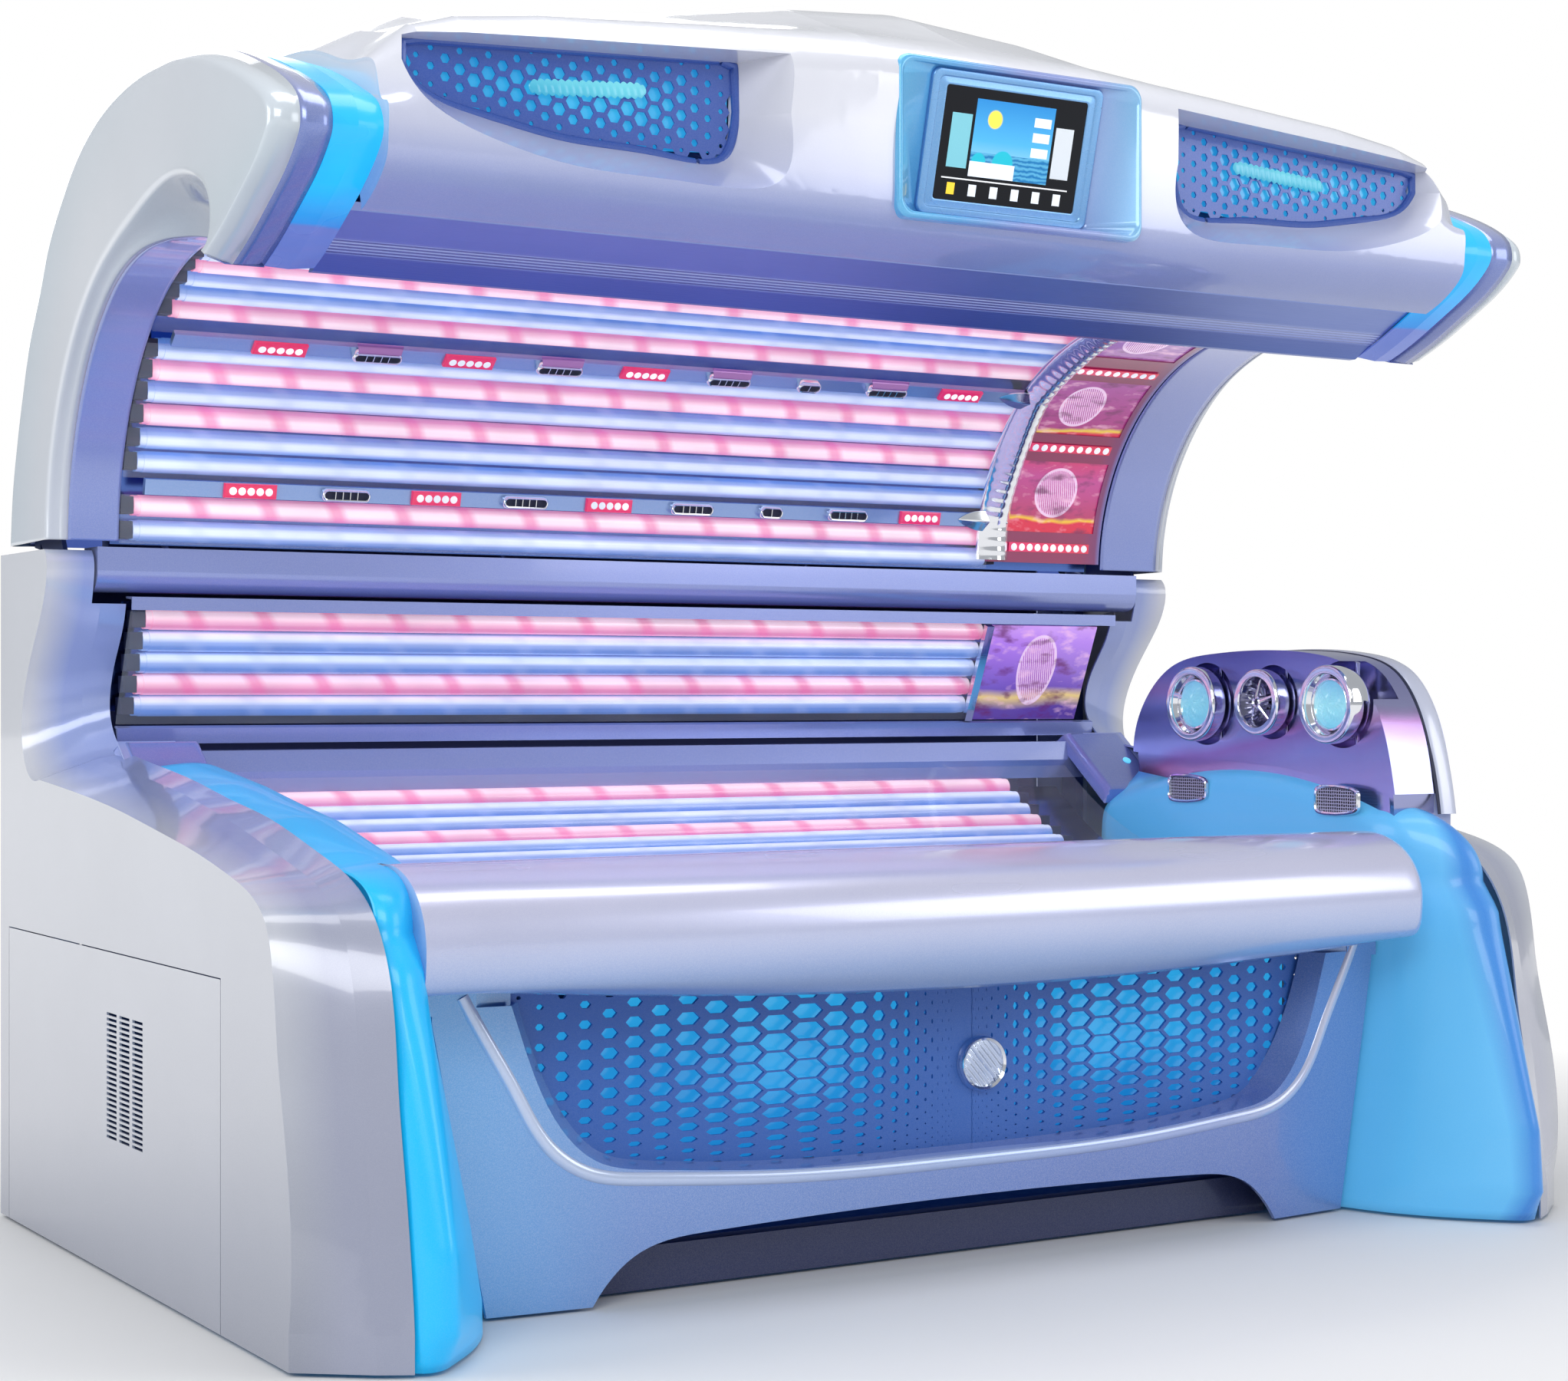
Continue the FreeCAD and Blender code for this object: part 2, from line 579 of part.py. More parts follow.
# ------------------------------------------------------------- base pieces
def base_frame():
    """Welded tube frame with four cross members and the hinge uprights."""
    w, h = 50.0, 40.0
    z0 = FOOT_HEIGHT
    parts = [box(-FRAME_HALF, FRAME_HALF, FRAME_FRONT, FRAME_FRONT + w, z0, z0 + h),
             box(-UPRIGHT_X1, UPRIGHT_X1, UPRIGHT_Y0, UPRIGHT_Y0 + w, z0, z0 + h)]
    for x in (-FRAME_HALF + w / 2, -FRAME_HALF / 3, FRAME_HALF / 3, FRAME_HALF - w / 2):
        parts.append(box(x - w / 2, x + w / 2, FRAME_FRONT + w, UPRIGHT_Y0, z0, z0 + h))
    for side in (-1, 1):
        x0, x1 = sorted((side * UPRIGHT_X0, side * UPRIGHT_X1))
        parts.append(box(x0, x1, UPRIGHT_Y0, UPRIGHT_Y0 + w, z0 + h, UPRIGHT_TOP))
    frame = parts[0]
    for piece in parts[1:]:
        frame = frame.fuse(piece)
    return frame.removeSplitter()


def levelling_feet():
    feet = []
    for x in (-FOOT_X, FOOT_X):
        for y in (FRAME_FRONT + 25, UPRIGHT_Y0 + 25):
            pad = Part.makeCone(30, 20, 12, V(x, y, 0))
            stem = rod((x, y, 12), (x, y, FOOT_HEIGHT), 8)
            feet.append(pad.fuse(stem))
    return feet


def hinge_bracket():
    """Ear on the upright that carries the canopy hinge pin and the lower strut pin."""
    x0, x1 = UPRIGHT_X1, UPRIGHT_X1 + EAR_THICK
    y1 = UPRIGHT_Y0 + 50
    ear = prism([(HINGE_Y + 4, HINGE_Z - 18), (y1, HINGE_Z - 60), (y1, HINGE_Z + 16),
                 (HINGE_Y + 120, HINGE_Z + 16), (HINGE_Y + 4, HINGE_Z + 18)], x0, x1)
    ear = ear.fuse(rod((x0, HINGE_Y, HINGE_Z), (x1, HINGE_Y, HINGE_Z), 18))
    low = prism([(STRUT_LOW[0] - 14, STRUT_LOW[1] - 16), (y1, STRUT_LOW[1] - 26),
                 (y1, STRUT_LOW[1] + 26), (STRUT_LOW[0] - 14, STRUT_LOW[1] + 16)], x0, x1)
    hole = rod((x0 - 1, HINGE_Y, HINGE_Z), (x1 + 1, HINGE_Y, HINGE_Z), HINGE_PIN_R)
    return [ear.cut(hole), low]


def hinge_pin():
    x0, x1 = UPRIGHT_X1 - 4, ARM_X1 + 3
    return rod((x0, HINGE_Y, HINGE_Z), (x1, HINGE_Y, HINGE_Z), HINGE_PIN_R).fuse(
        rod((x0 - 3, HINGE_Y, HINGE_Z), (x0, HINGE_Y, HINGE_Z), HINGE_PIN_R + 4))


def strut_pin_low():
    y, z = STRUT_LOW
    return rod((UPRIGHT_X1 + EAR_THICK, y, z), (STRUT_X + 8, y, z), STRUT_PIN_R)


STRUT_LENGTH = math.hypot(STRUT_HIGH[0] - STRUT_LOW[0], STRUT_HIGH[1] - STRUT_LOW[1])


def along_strut(d, x):
    t = d / STRUT_LENGTH
    y = STRUT_LOW[0] + (STRUT_HIGH[0] - STRUT_LOW[0]) * t
    return (x, y, STRUT_LOW[1] + (STRUT_HIGH[1] - STRUT_LOW[1]) * t)


def eye(place, x, r_in, r_out, thick):
    y, z = place
    ring = rod((x - thick / 2, y, z), (x + thick / 2, y, z), r_out)
    return ring.cut(rod((x - thick, y, z), (x + thick, y, z), r_in))


def gas_cylinder():
    """Strut body with its lower eye, a bore for the piston and a rod guide."""
    x = STRUT_X
    low = eye(STRUT_LOW, x, STRUT_PIN_R + 0.05, 13.0, STRUT_EYE_THICK)
    body = rod(along_strut(10, x), along_strut(CYLINDER_LENGTH, x), CYLINDER_R)
    bore = rod(along_strut(24, x), along_strut(CYLINDER_LENGTH - 12, x), CYLINDER_R - 2)
    guide = rod(along_strut(CYLINDER_LENGTH - 13, x), along_strut(CYLINDER_LENGTH + 1, x), ROD_R + ROD_RUN)
    pin = rod((x - 20, *STRUT_LOW), (x + 20, *STRUT_LOW), STRUT_PIN_R + 0.05)
    return body.fuse(low).cut(bore).cut(guide).cut(pin)


def gas_rod():
    """Piston rod with the upper eye, which hangs round the arm's pin with clearance."""
    x = STRUT_X
    high = eye(STRUT_HIGH, x, STRUT_PIN_R + STRUT_EYE_CLEAR, STRUT_EYE_R, STRUT_EYE_THICK)
    bar = rod(along_strut(96, x), along_strut(STRUT_LENGTH - STRUT_EYE_R + 2, x), ROD_R)
    piston = rod(along_strut(90, x), along_strut(102, x), CYLINDER_R - 2.05)
    return bar.fuse(piston).fuse(high)


def head_console():
    """Raised housing at the head end with recesses for the swivelling pods."""
    x0, x1 = CONSOLE_X0, CONSOLE_X1
    line = [(262, 822), (256, 866), (214, 940), (140, 996), (20, 1020), (-140, 1026), (-290, 1016),
            (-392, 984), (-448, 920), (-480, 840), (-498, 756)]
    a = [V(x0, y, z) for y, z in line]
    base = [V(x0, -380, 770), V(x0, -200, 798), V(x0, 60, 812)]
    wire = Part.Wire([spline(a), spline([a[-1]] + base + [a[0]])])
    body = Part.Face(wire).extrude(V(x1 - x0, 0, 0))
    for (y, z), r in zip(POD_PLACES, POD_RADII):
        body = body.cut(rod((x0 - 1, y, z), (POD_PIVOT_X + 26, y, z), r + POD_ROOM))
    for (y, z), r in zip(POD_PLACES, POD_RADII):
        reach = r + POD_ROOM + 1
        pin = rod((POD_PIVOT_X, y, z - reach), (POD_PIVOT_X, y, z + reach), POD_PIN_R)
        body = body.fuse(pin.common(Part.Face(wire).extrude(V(x1 - x0, 0, 0))))
    return body


def pod(place, r, lamp):
    """Round swivelling pod: cup, front ring and lens or nozzle spokes."""
    y, z = place
    x0, x1 = POD_FRONT_X, POD_PIVOT_X - 14
    cup = rod((x0, y, z), (x1, y, z), r).cut(rod((x0 - 1, y, z), (x1 - 8, y, z), r - 6))
    hub = box(x1 - 1, POD_PIVOT_X + 12, y - 14, y + 14, z - 24, z + 24)
    hub = hub.cut(rod((POD_PIVOT_X, y, z - 40), (POD_PIVOT_X, y, z + 40), POD_PIN_R + 0.05))
    body = cup.fuse(hub)
    if lamp:
        return [body, rod((x0 + 6, y, z), (x0 + 12, y, z), r - 6)]
    for i in range(4):
        vane = box(x0 + 4, x1 - 7, y - 2, y + 2, z, z + r - 4)
        vane.rotate(V(x0, y, z), V(1, 0, 0), 90 * i + 20)
        body = body.fuse(vane)
    return [body.fuse(rod((x0 + 4, y, z), (x1 - 7, y, z), 12))]


def speakers():
    """Two grilles on the head wall above the bench."""
    out = []
    for y, z in ((-370.0, 742.0), (60.0, 752.0)):
        out.append(box(WALL_X - 7, WALL_X - 0.3, y - 62, y + 62, z - 30, z + 30))
    return out


def impeller(x, y, z):
    hub = rod((x, y, z + 8), (x, y, z + 62), 30)
    for i in range(9):
        blade = box(x + 28, x + FAN_R - FAN_GAP, y - 2, y + 2, z + 10, z + 52)
        blade.rotate(V(x + 28, y, z), V(1, 0, 0), 28)
        blade.rotate(V(x, y, z), V(0, 0, 1), 40 * i)
        hub = hub.fuse(blade)
    return hub.cut(rod((x, y, z), (x, y, z + 80), 6.05))


def fan_housing(x, y, z):
    ring = rod((x, y, z), (x, y, z + 60), FAN_R + 6).cut(rod((x, y, z - 1), (x, y, z + 61), FAN_R))
    legs = box(x - FAN_R - 3, x + FAN_R + 3, y - 8, y + 8, z - 6, z)
    legs = legs.fuse(box(x - 8, x + 8, y - FAN_R - 3, y + FAN_R + 3, z - 6, z))
    stand = box(x - FAN_R - 4, x - FAN_R + 12, y - 12, y + 12, FOOT_HEIGHT + 42, z + 1)
    stand = stand.fuse(box(x + FAN_R - 12, x + FAN_R + 4, y - 12, y + 12, FOOT_HEIGHT + 42, z + 1))
    stand = stand.cut(rod((x, y, z), (x, y, z + 61), FAN_R))
    bridge = box(x - FAN_R - 3, x + FAN_R + 3, y - 20, y + 20, FOOT_HEIGHT + 42, FOOT_HEIGHT + 46)
    return ring.fuse(legs).fuse(stand).fuse(bridge).fuse(rod((x, y, z - 6), (x, y, z + 66), 6))


def save_base():
    shell = end_shell()
    foot = column_foot().cut(shell)
    bored = foot.cut(button_rod(BUTTON_R + BUTTON_RUN, -20, 20))
    save("right_end_panel", [shell, bored])
    save("left_end_panel", [mirrored(shell), mirrored(foot)])
    save("service_doors", both(service_door()))
    over_foot = prism([FOOT_LOW, FOOT_HIGH, (FOOT_HIGH[0], 1000), (FOOT_LOW[0], 1000)], FOOT_X0, FOOT_X1)
    trumpet, ledge = glow_panel()
    glow = [trumpet, ledge.cut(over_foot).cut(column_foot()).cut(button_rod(BUTTON_R + 1, -24, 20))]
    save("side_glow_panels", glow + [mirrored(s) for s in glow])
    save("bench_front_rail", bumper())
    save("front_fascia", fascia())
    save("front_grille", front_grille())
    save("front_diffuser", plan_band(GRILLE_SET + 22, GRILLE_SET + 25, FASCIA_HALF, 190, 466).common(
        box(-770, 770, -700, 0, 0, 600)))
    y = fascia_y(0, GRILLE_SET)
    lens = rod((0, y - 26, LENS_Z), (0, y - 1, LENS_Z), LENS_R)
    save("grille_lens", lens.fuse(rod((0, y - 1.2, LENS_Z), (0, y - 0.05, LENS_Z), LENS_R + 4)))
    save("kick_plate", box(-720, 720, KICK_Y, KICK_Y + 5, SKIRT_GAP, FOOT_HEIGHT + 40))
    tray = box(-FRAME_HALF, FRAME_HALF, FRAME_FRONT, UPRIGHT_Y0, FOOT_HEIGHT + 40, FOOT_HEIGHT + 42)
    save("base_frame", [base_frame(), tray.cut(box(FAN_X - FAN_R, FAN_X + FAN_R, FAN_Y - FAN_R + 20,
                                                   FAN_Y + FAN_R - 20, 0, 300))])
    save("levelling_feet", levelling_feet())
    save("bench_acrylic", arc_band(*BENCH_C, BENCH_ARC_R, BENCH_ARC_R + ACRYLIC, BENCH_A0 + 0.8,
                                   BENCH_A1 - 0.2, -BENCH_HALF, BENCH_HALF))
    r = BENCH_ARC_R + REFLECTOR_DEPTH
    tray = arc_band(*BENCH_C, r, r + REFLECTOR_WALL, BENCH_A0 + 1.2, BENCH_A1 - 0.4, -BENCH_HALF, BENCH_HALF)
    save("base_reflectors", [tray, mid_sheet(REFLECTOR_DEPTH, REFLECTOR_WALL, -RAIL_HALF, RAIL_HALF, 4)])
    bench = bench_lamp_places()
    mid = mid_lamp_places()
    for name, tint in (("base_lamps_white", False), ("base_lamps_tinted", True)):
        save(name, lamps(bench, BENCH_LAMP_X0, BENCH_LAMP_X1, tint)
             + lamps(mid, MID_LAMP_X0, CANOPY_LAMP_X1, tint))
    save("base_lamp_sockets", sockets(bench, BENCH_LAMP_X0, BENCH_LAMP_X1)
         + sockets(mid, MID_LAMP_X0, CANOPY_LAMP_X1))
    save("bench_rear_profile", prism([(458, 764), (456, 802), (470, 840), (556, 840), (556, 836), (474, 836),
                                      (461, 801), (463, 764)], -RAIL_HALF, RAIL_HALF))
    top_rail = prism([(464, 1087), (464, 1110), (498, 1112), (498, 1108), (468, 1106), (468, 1087)],
                     -RAIL_HALF, RAIL_HALF)
    low_rail = prism([(548, 852), (543, 880), (552, 884), (560, 884), (560, 880), (553, 879), (552, 852)],
                     -RAIL_HALF, RAIL_HALF)
    save("mid_rails", [top_rail, low_rail])
    save("mid_acrylic", mid_sheet(0, 4, -RAIL_HALF, FACE_X0 - 3, 2))
    glass = mid_sheet(0, 4, FACE_X0 + 17, FACE_X1, 2)
    save("mid_face_glass", glass)
    save("mid_face_divider", mid_sheet(-8, 12, FACE_X0 - 2, FACE_X0 + 16, 2))
    cover = prism([(REAR_Y - 6, 30), (REAR_Y - 4, 30), (REAR_Y - 4, GUARD_Z + 2), (GUARD_Y, GUARD_Z + 2),
                   (GUARD_Y, GUARD_Z), (REAR_Y - 6, GUARD_Z)], -RAIL_HALF, RAIL_HALF)
    guard = arc_band(HINGE_Y, HINGE_Z, GUARD_R, GUARD_R + 2, GUARD_A0, 42, -GUARD_HALF, GUARD_HALF)
    save("rear_cover", cover.fuse(guard))
    save("ballasts", [box(-780 + i * 170, -660 + i * 170, -240 + j * 150, -130 + j * 150, FOOT_HEIGHT + 42,
                          FOOT_HEIGHT + 102) for i in range(5) for j in range(3)])
    save("fan_housing", fan_housing(FAN_X, FAN_Y, FAN_Z))
    save("fan_impeller", impeller(FAN_X, FAN_Y, FAN_Z))
    inlet = box(870, 970, REAR_Y - 4, INLET_BACK, 110, 190)
    inlet = inlet.cut(box(882, 958, REAR_Y + 6, INLET_BACK + 1, 122, 178))
    for x in (898, 920, 942):
        inlet = inlet.fuse(rod((x, REAR_Y + 2, 150), (x, INLET_BACK - 6, 150), 3))
    save("power_inlet", inlet)
    save("head_console", head_console())
    for name, place, r, lamp in zip(POD_NAMES, POD_PLACES, POD_RADII, (True, False, True)):
        save(name, pod(place, r, lamp))
    save("speakers", speakers())
    bracket = hinge_bracket()
    save("hinge_brackets", bracket + [mirrored(s) for s in bracket])
    pins = [hinge_pin(), strut_pin_low()]
    save("hinge_pins", pins + [mirrored(s) for s in pins])
    save("right_gas_cylinder", gas_cylinder())
    save("left_gas_cylinder", mirrored(gas_cylinder()))
    save("right_gas_rod", gas_rod())
    save("left_gas_rod", mirrored(gas_rod()))
    save("start_button", button_rod(BUTTON_R, -9, BUTTON_TRAVEL + 1))


# ----------------------------------------------------------- canopy pieces
def cap_wire(x, inset, ahead=0.0):
    """Closed C outline of a canopy end: outer line, lip, tunnel arc and foot."""
    outer = offset_curve(CAP, inset) if inset else list(CAP)
    outer[0] = (outer[0][0], CAP[0][1] + ahead)
    r = CANOPY_ARC_R + inset
    a = [V(x, y, z) for y, z in outer]
    tip = polar(CANOPY_C, r, CAP_ARC_END)
    foot_angle = math.degrees(math.asin((CAP[0][1] + ahead - CANOPY_ARC_Z) / r))
    foot = polar(CANOPY_C, r, foot_angle)
    mid = polar(CANOPY_C, r, (CAP_ARC_END + foot_angle) / 2)
    arc = Part.Arc(V(x, *tip), V(x, *mid), V(x, *foot)).toShape()
    return Part.Wire([spline(a), Part.makeLine(a[-1], V(x, *tip)), arc, Part.makeLine(V(x, *foot), a[0])])


def canopy_cap(liner_x):
    """End cap of the canopy on the +X side, open towards the middle and below."""
    xs = (END_X, END_X - CAP_RIDGE_INSET, END_X - CAP_SEAM_INSET)
    insets = (14.0, 0.0, 2.0)
    outer = Part.makeLoft([cap_wire(x, i) for x, i in zip(xs, insets)], True, True)
    w = COVER_WALL
    cutter = Part.makeLoft([cap_wire(END_X - w, insets[0] + w, -30), cap_wire(xs[1], insets[1] + w, -30),
                            cap_wire(xs[2] - 0.1, insets[2] + w, -30)], True, True)
    liner = arc_band(*CANOPY_C, CANOPY_ARC_R + 2, CANOPY_ARC_R + 2 + w, 2.5, 118, liner_x, xs[2] + 1)
    return outer.cut(cutter).fuse(liner)


def glow_strip():
    xs = (END_X - CAP_SEAM_INSET - 0.5, END_X - 130, END_X - CAP_GLOW_INSET)
    insets = (2.5, 0.5, 6.0)
    return skin_loft([(x, offset_curve(CAP, i)) for x, i in zip(xs, insets)], 3.0, "x")


RAISE = [(0, 206), (230, 184), (520, 132), (790, 90), (930, 70), (SHELL_HALF, 6)]
BROW = [(0, 1972), (230, 1972), (400, 1962), (650, 1946), (890, 1928), (1000, 1898), (SHELL_HALF, 1836)]


def between(table, x):
    x = abs(x)
    for (x0, v0), (x1, v1) in zip(table, table[1:]):
        if x0 <= x <= x1:
            return v0 + (v1 - v0) * (x - x0) / (x1 - x0)
    return table[-1][1]


def shell_outline(x):
    """Canopy section: the end outline with the raised top and the visor brow."""
    lift = between(RAISE, x)
    brow = between(BROW, x)
    k = lift / RAISE[0][1]
    pts = []
    for i, (y, z) in enumerate(CAP[:13]):
        share = min(1.0, max(0.0, (z - 1500.0) / 380.0))
        pts.append((y, z + lift * share ** 1.6))
    top = pts[-1][1]
    pts.append((-200, top - 4 * k - 5))
    pts.append((-330, top - (top - brow) * 0.26))
    pts.append((-470, brow + (top - brow) * 0.33))
    pts.append((-558 + 20 * (1 - k), brow + 10))
    pts.append((-590 + 22 * (1 - k), brow - 16 - 30 * (1 - k)))
    pts.append((-592 + 14 * (1 - k), (brow + 1742) / 2))
    pts.append((-586, 1742))
    pts.append((-582, 1712))
    pts.append((-556, 1682))
    pts.append((-522, 1660))
    pts.append((-488, 1645))
    return pts


GRILLE_CREASE = [(-330, 1842), (-310, 1716), (-150, 1698), (60, 1704), (215, 1738), (325, 1800), (352, 1850)]
GRILLE_THROAT = [(-252, 1842), (-232, 1786), (-120, 1778), (40, 1785), (180, 1806), (280, 1838), (300, 1862)]


def opening_wire(pts, y, top, centre, tops, grow=0.0):
    """Closed wire of a canopy opening: smooth lower line and a straight brow."""
    low = [V(centre + x, y, z) for x, z in pts]
    right = V(centre + tops[1][0] + grow, y, tops[1][1] + grow)
    left = V(centre + tops[0][0] - grow, y, tops[0][1] + grow)
    return Part.Wire([spline(low), Part.makeLine(low[-1], right), Part.makeLine(right, left),
                      Part.makeLine(left, low[0])])


def canopy_opening(grow):
    """Cone-shaped cutter of the right visor opening."""
    crease = [(x + (grow if x > 0 else -grow), z - grow) for x, z in GRILLE_CREASE]
    throat = [(x + (grow if x > 0 else -grow), z - grow) for x, z in GRILLE_THROAT]
    front = opening_wire(crease, -612, 0, GRILLE_X, ((-330, 1936), (352, 1900)), grow)
    back = opening_wire(throat, -496, 0, GRILLE_X, ((-252, 1926), (300, 1896)), grow)
    return Part.makeLoft([front, back], True, True)


def display_opening(grow):
    def rect(y, x0, x1, z0, z1):
        pts = [V(x0 - grow, y, z0 - grow), V(x1 + grow, y, z0 - grow), V(x1 + grow, y, z1 + grow),
               V(x0 - grow, y, z1 + grow)]
        return Part.makePolygon(pts + pts[:1])
    c = DISPLAY_X
    return Part.makeLoft([rect(-625, c - 272, c + 262, 1700, 1958), rect(-500, c - 178, c + 172, 1716, 1946)],
                         True, True)


def canopy_shell():
    half = (230, 520, 790, 930, 1000, SHELL_HALF)
    xs = [-x for x in reversed(half)] + [0] + list(half)
    shell = skin_loft([(x, shell_outline(x)) for x in xs], SHELL_WALL, "x", ruled=True)
    solid_front = box(5 - SHELL_HALF, SHELL_HALF - 5, -700, -498, 1600, 2100)
    for thin, thick in ((canopy_opening(0), canopy_opening(4)),
                        (mirrored(canopy_opening(0)), mirrored(canopy_opening(4))),
                        (display_opening(0), display_opening(4))):
        ring = thick.cut(thin).common(solid_front)
        shell = shell.cut(thin)
        keep = ring.common(shell_core(xs))
        shell = shell.fuse(keep)
    return shell


def shell_core(xs):
    """Space inside the canopy shell, which trims the throats of its openings."""
    wires = []
    for x in xs:
        inner = offset_curve(shell_outline(x), 1.0)
        a = [V(x, y, z) for y, z in inner]
        back = V(x, -300, 1645)
        wires.append(Part.Wire([spline(a), Part.makeLine(a[-1], back), Part.makeLine(back, a[0])]))
    return Part.makeLoft(wires, True, True)


def canopy_arm():
    """Rib of the canopy with the hinge boss and the ear of the gas spring."""
    outer = offset_curve(CAP[:17], 24)
    inner = offset_curve(CAP[:17], 58)
    rib = prism(outer + list(reversed(inner)), ARM_X0, ARM_X1)
    foot = prism([(HINGE_Y + 8, HINGE_Z + 17), (HINGE_Y + 8, HINGE_Z - 17),
                  (STRUT_HIGH[0] + 14, STRUT_HIGH[1] - 12), (STRUT_HIGH[0] + 16, STRUT_HIGH[1] + 10),
                  (690, 1236), (640, 1330), (600, 1300), (HINGE_Y + 44, 1235)], ARM_X0, ARM_X1)
    pin_ear = rod((ARM_X0, HINGE_Y, HINGE_Z), (ARM_X1, HINGE_Y, HINGE_Z), 20)
    stud = rod((ARM_X1 - 1, *STRUT_HIGH), (STRUT_X + 8, *STRUT_HIGH), STRUT_PIN_R)
    arm = rib.fuse(foot).fuse(pin_ear)
    arm = arm.cut(rod((ARM_X0 - 1, HINGE_Y, HINGE_Z), (ARM_X1 + 1, HINGE_Y, HINGE_Z), HINGE_PIN_R + HINGE_RUN))
    return arm.fuse(stud)


def canopy_frame():
    """Both ribs, the tubes between them and the brackets of the lower rail."""
    arm = canopy_arm()
    frame = arm.fuse(mirrored(arm))
    for x in BRACKET_XS:
        plate = prism([(528, DRUM_TOP), (541, DRUM_TOP), (DRUM_TUBE[0] + 10, DRUM_TUBE[1] - 14),
                       (DRUM_TUBE[0] - 8, DRUM_TUBE[1] + 6), (530, 1222)], x - 3, x + 3)
        frame = frame.fuse(plate)
    for y, z in CROSS_TUBES + (DRUM_TUBE,):
        bar = rod((-ARM_X0 - 2, y, z), (ARM_X0 + 2, y, z), CROSS_R)
        frame = frame.fuse(bar)
    return frame


def lower_drum():
    """Rounded lower rail of the canopy, which turns inside the mid section's gap."""
    def outline(x, inset):
        r = DRUM_R - inset
        top = DRUM_TOP - inset
        a = V(x, HINGE_Y - r, top)
        b = V(x, HINGE_Y - r, HINGE_Z)
        c = V(x, HINGE_Y + r, HINGE_Z)
        d = V(x, HINGE_Y + r, top)
        arc = Part.Arc(b, V(x, HINGE_Y, HINGE_Z - r), c).toShape()
        return Part.Wire([Part.makeLine(a, b), arc, Part.makeLine(c, d), Part.makeLine(d, a)])
    body = Part.Face(outline(-DRUM_HALF, 0)).extrude(V(2 * DRUM_HALF, 0, 0))
    hollow = Part.Face(outline(-DRUM_HALF + 3, 3)).extrude(V(2 * DRUM_HALF - 6, 0, 0))
    return body.cut(hollow)


def rail(angle):
    return arc_band(*CANOPY_C, CANOPY_ARC_R - 3, CANOPY_ARC_R + 9, angle - RAIL_SPAN, angle + RAIL_SPAN,
                    CANOPY_LAMP_X0, CANOPY_LAMP_X1)


def on_rail(angle, x, width, depth, height, r_out):
    """Block on a rail: width along X, height across, standing inwards by depth."""
    seat = math.sqrt(r_out ** 2 - (height / 2) ** 2)
    cy, cz = polar(CANOPY_C, seat, angle)
    block = box(x - width / 2, x + width / 2, -depth, 0, -height / 2, height / 2)
    block.rotate(V(0, 0, 0), V(1, 0, 0), angle)
    block.translate(V(0, cy, cz))
    return block


def save_canopy():
    save("right_canopy_cap", canopy_cap(LINER_X))
    save("left_canopy_cap", mirrored(canopy_cap(LAMP_ENTRY_X + 2)))
    strip = glow_strip()
    save("canopy_glow_strips", both(strip))
    save("canopy_shell", canopy_shell())
    save("canopy_frame", canopy_frame())
    save("canopy_lower_rail", lower_drum())
    panel = canopy_opening(-0.3).common(box(0, 1100, GRILLE_Y, GRILLE_Y + 3, 1600, 2100))
    save("canopy_grilles", both(panel))
    save("display_bezel", display_frame())
    save("display_glass", display_glass())
    save("canopy_front_profile", prism([(-284, 1580), (-296, 1594), (-430, 1664), (-446, 1664), (-440, 1652),
                                        (-300, 1580)], -SHELL_HALF, SHELL_HALF))
    r = CANOPY_ARC_R
    half = RAIL_SPAN + 0.15
    spans = ((1.2, RAIL_ANGLES[0] - half), (RAIL_ANGLES[0] + half, RAIL_ANGLES[1] - half),
             (RAIL_ANGLES[1] + half, 118.5))
    save("canopy_acrylic", [arc_band(*CANOPY_C, r, r + ACRYLIC, a0, a1, -LAMP_ENTRY_X, FACE_X0 - 3)
                            for a0, a1 in spans])
    r += REFLECTOR_DEPTH
    save("canopy_reflector", arc_band(*CANOPY_C, r, r + REFLECTOR_WALL, 1.2, 122, -LAMP_ENTRY_X, LINER_X))
    places = canopy_lamp_places()
    save("canopy_lamps_white", lamps(places, CANOPY_LAMP_X0, CANOPY_LAMP_X1, False))
    save("canopy_lamps_tinted", lamps(places, CANOPY_LAMP_X0, CANOPY_LAMP_X1, True))
    save("canopy_lamp_sockets", sockets(places, CANOPY_LAMP_X0, CANOPY_LAMP_X1))
    save("accessory_rails", [rail(a) for a in RAIL_ANGLES])
    r = CANOPY_ARC_R - 3
    leds, nozzles = [], []
    for a in RAIL_ANGLES:
        for i, kind in enumerate(RAIL_KINDS):
            x = RAIL_X0 + i * RAIL_PITCH
            if kind == "led":
                leds.append(on_rail(a, x, 92, 8, 26, r))
            else:
                nozzles.append(on_rail(a, x, 96, 16, 26, r))
    for a in FACE_LED_ANGLES:
        leds.append(on_rail(a, (FACE_X0 + FACE_X1) / 2 + 10, FACE_X1 - FACE_X0 - 60, 4, 22, CANOPY_ARC_R))
    save("led_modules", leds)
    save("air_nozzles", nozzles)
    frame = arc_band(*CANOPY_C, CANOPY_ARC_R, CANOPY_ARC_R + 10, 3, 118, FACE_X0, FACE_X1)
    panes = []
    x0, x1 = FACE_X0 + 24, FACE_X1 - 20
    for a0, a1 in FACE_WINDOWS:
        frame = frame.cut(arc_band(*CANOPY_C, CANOPY_ARC_R - 5, CANOPY_ARC_R + 15, a0, a1, x0, x1))
        panes.append(arc_band(*CANOPY_C, CANOPY_ARC_R + 3, CANOPY_ARC_R + 7, a0, a1, x0, x1))
    save("face_tanner_frame", frame)
    save("face_tanner_glass", panes)


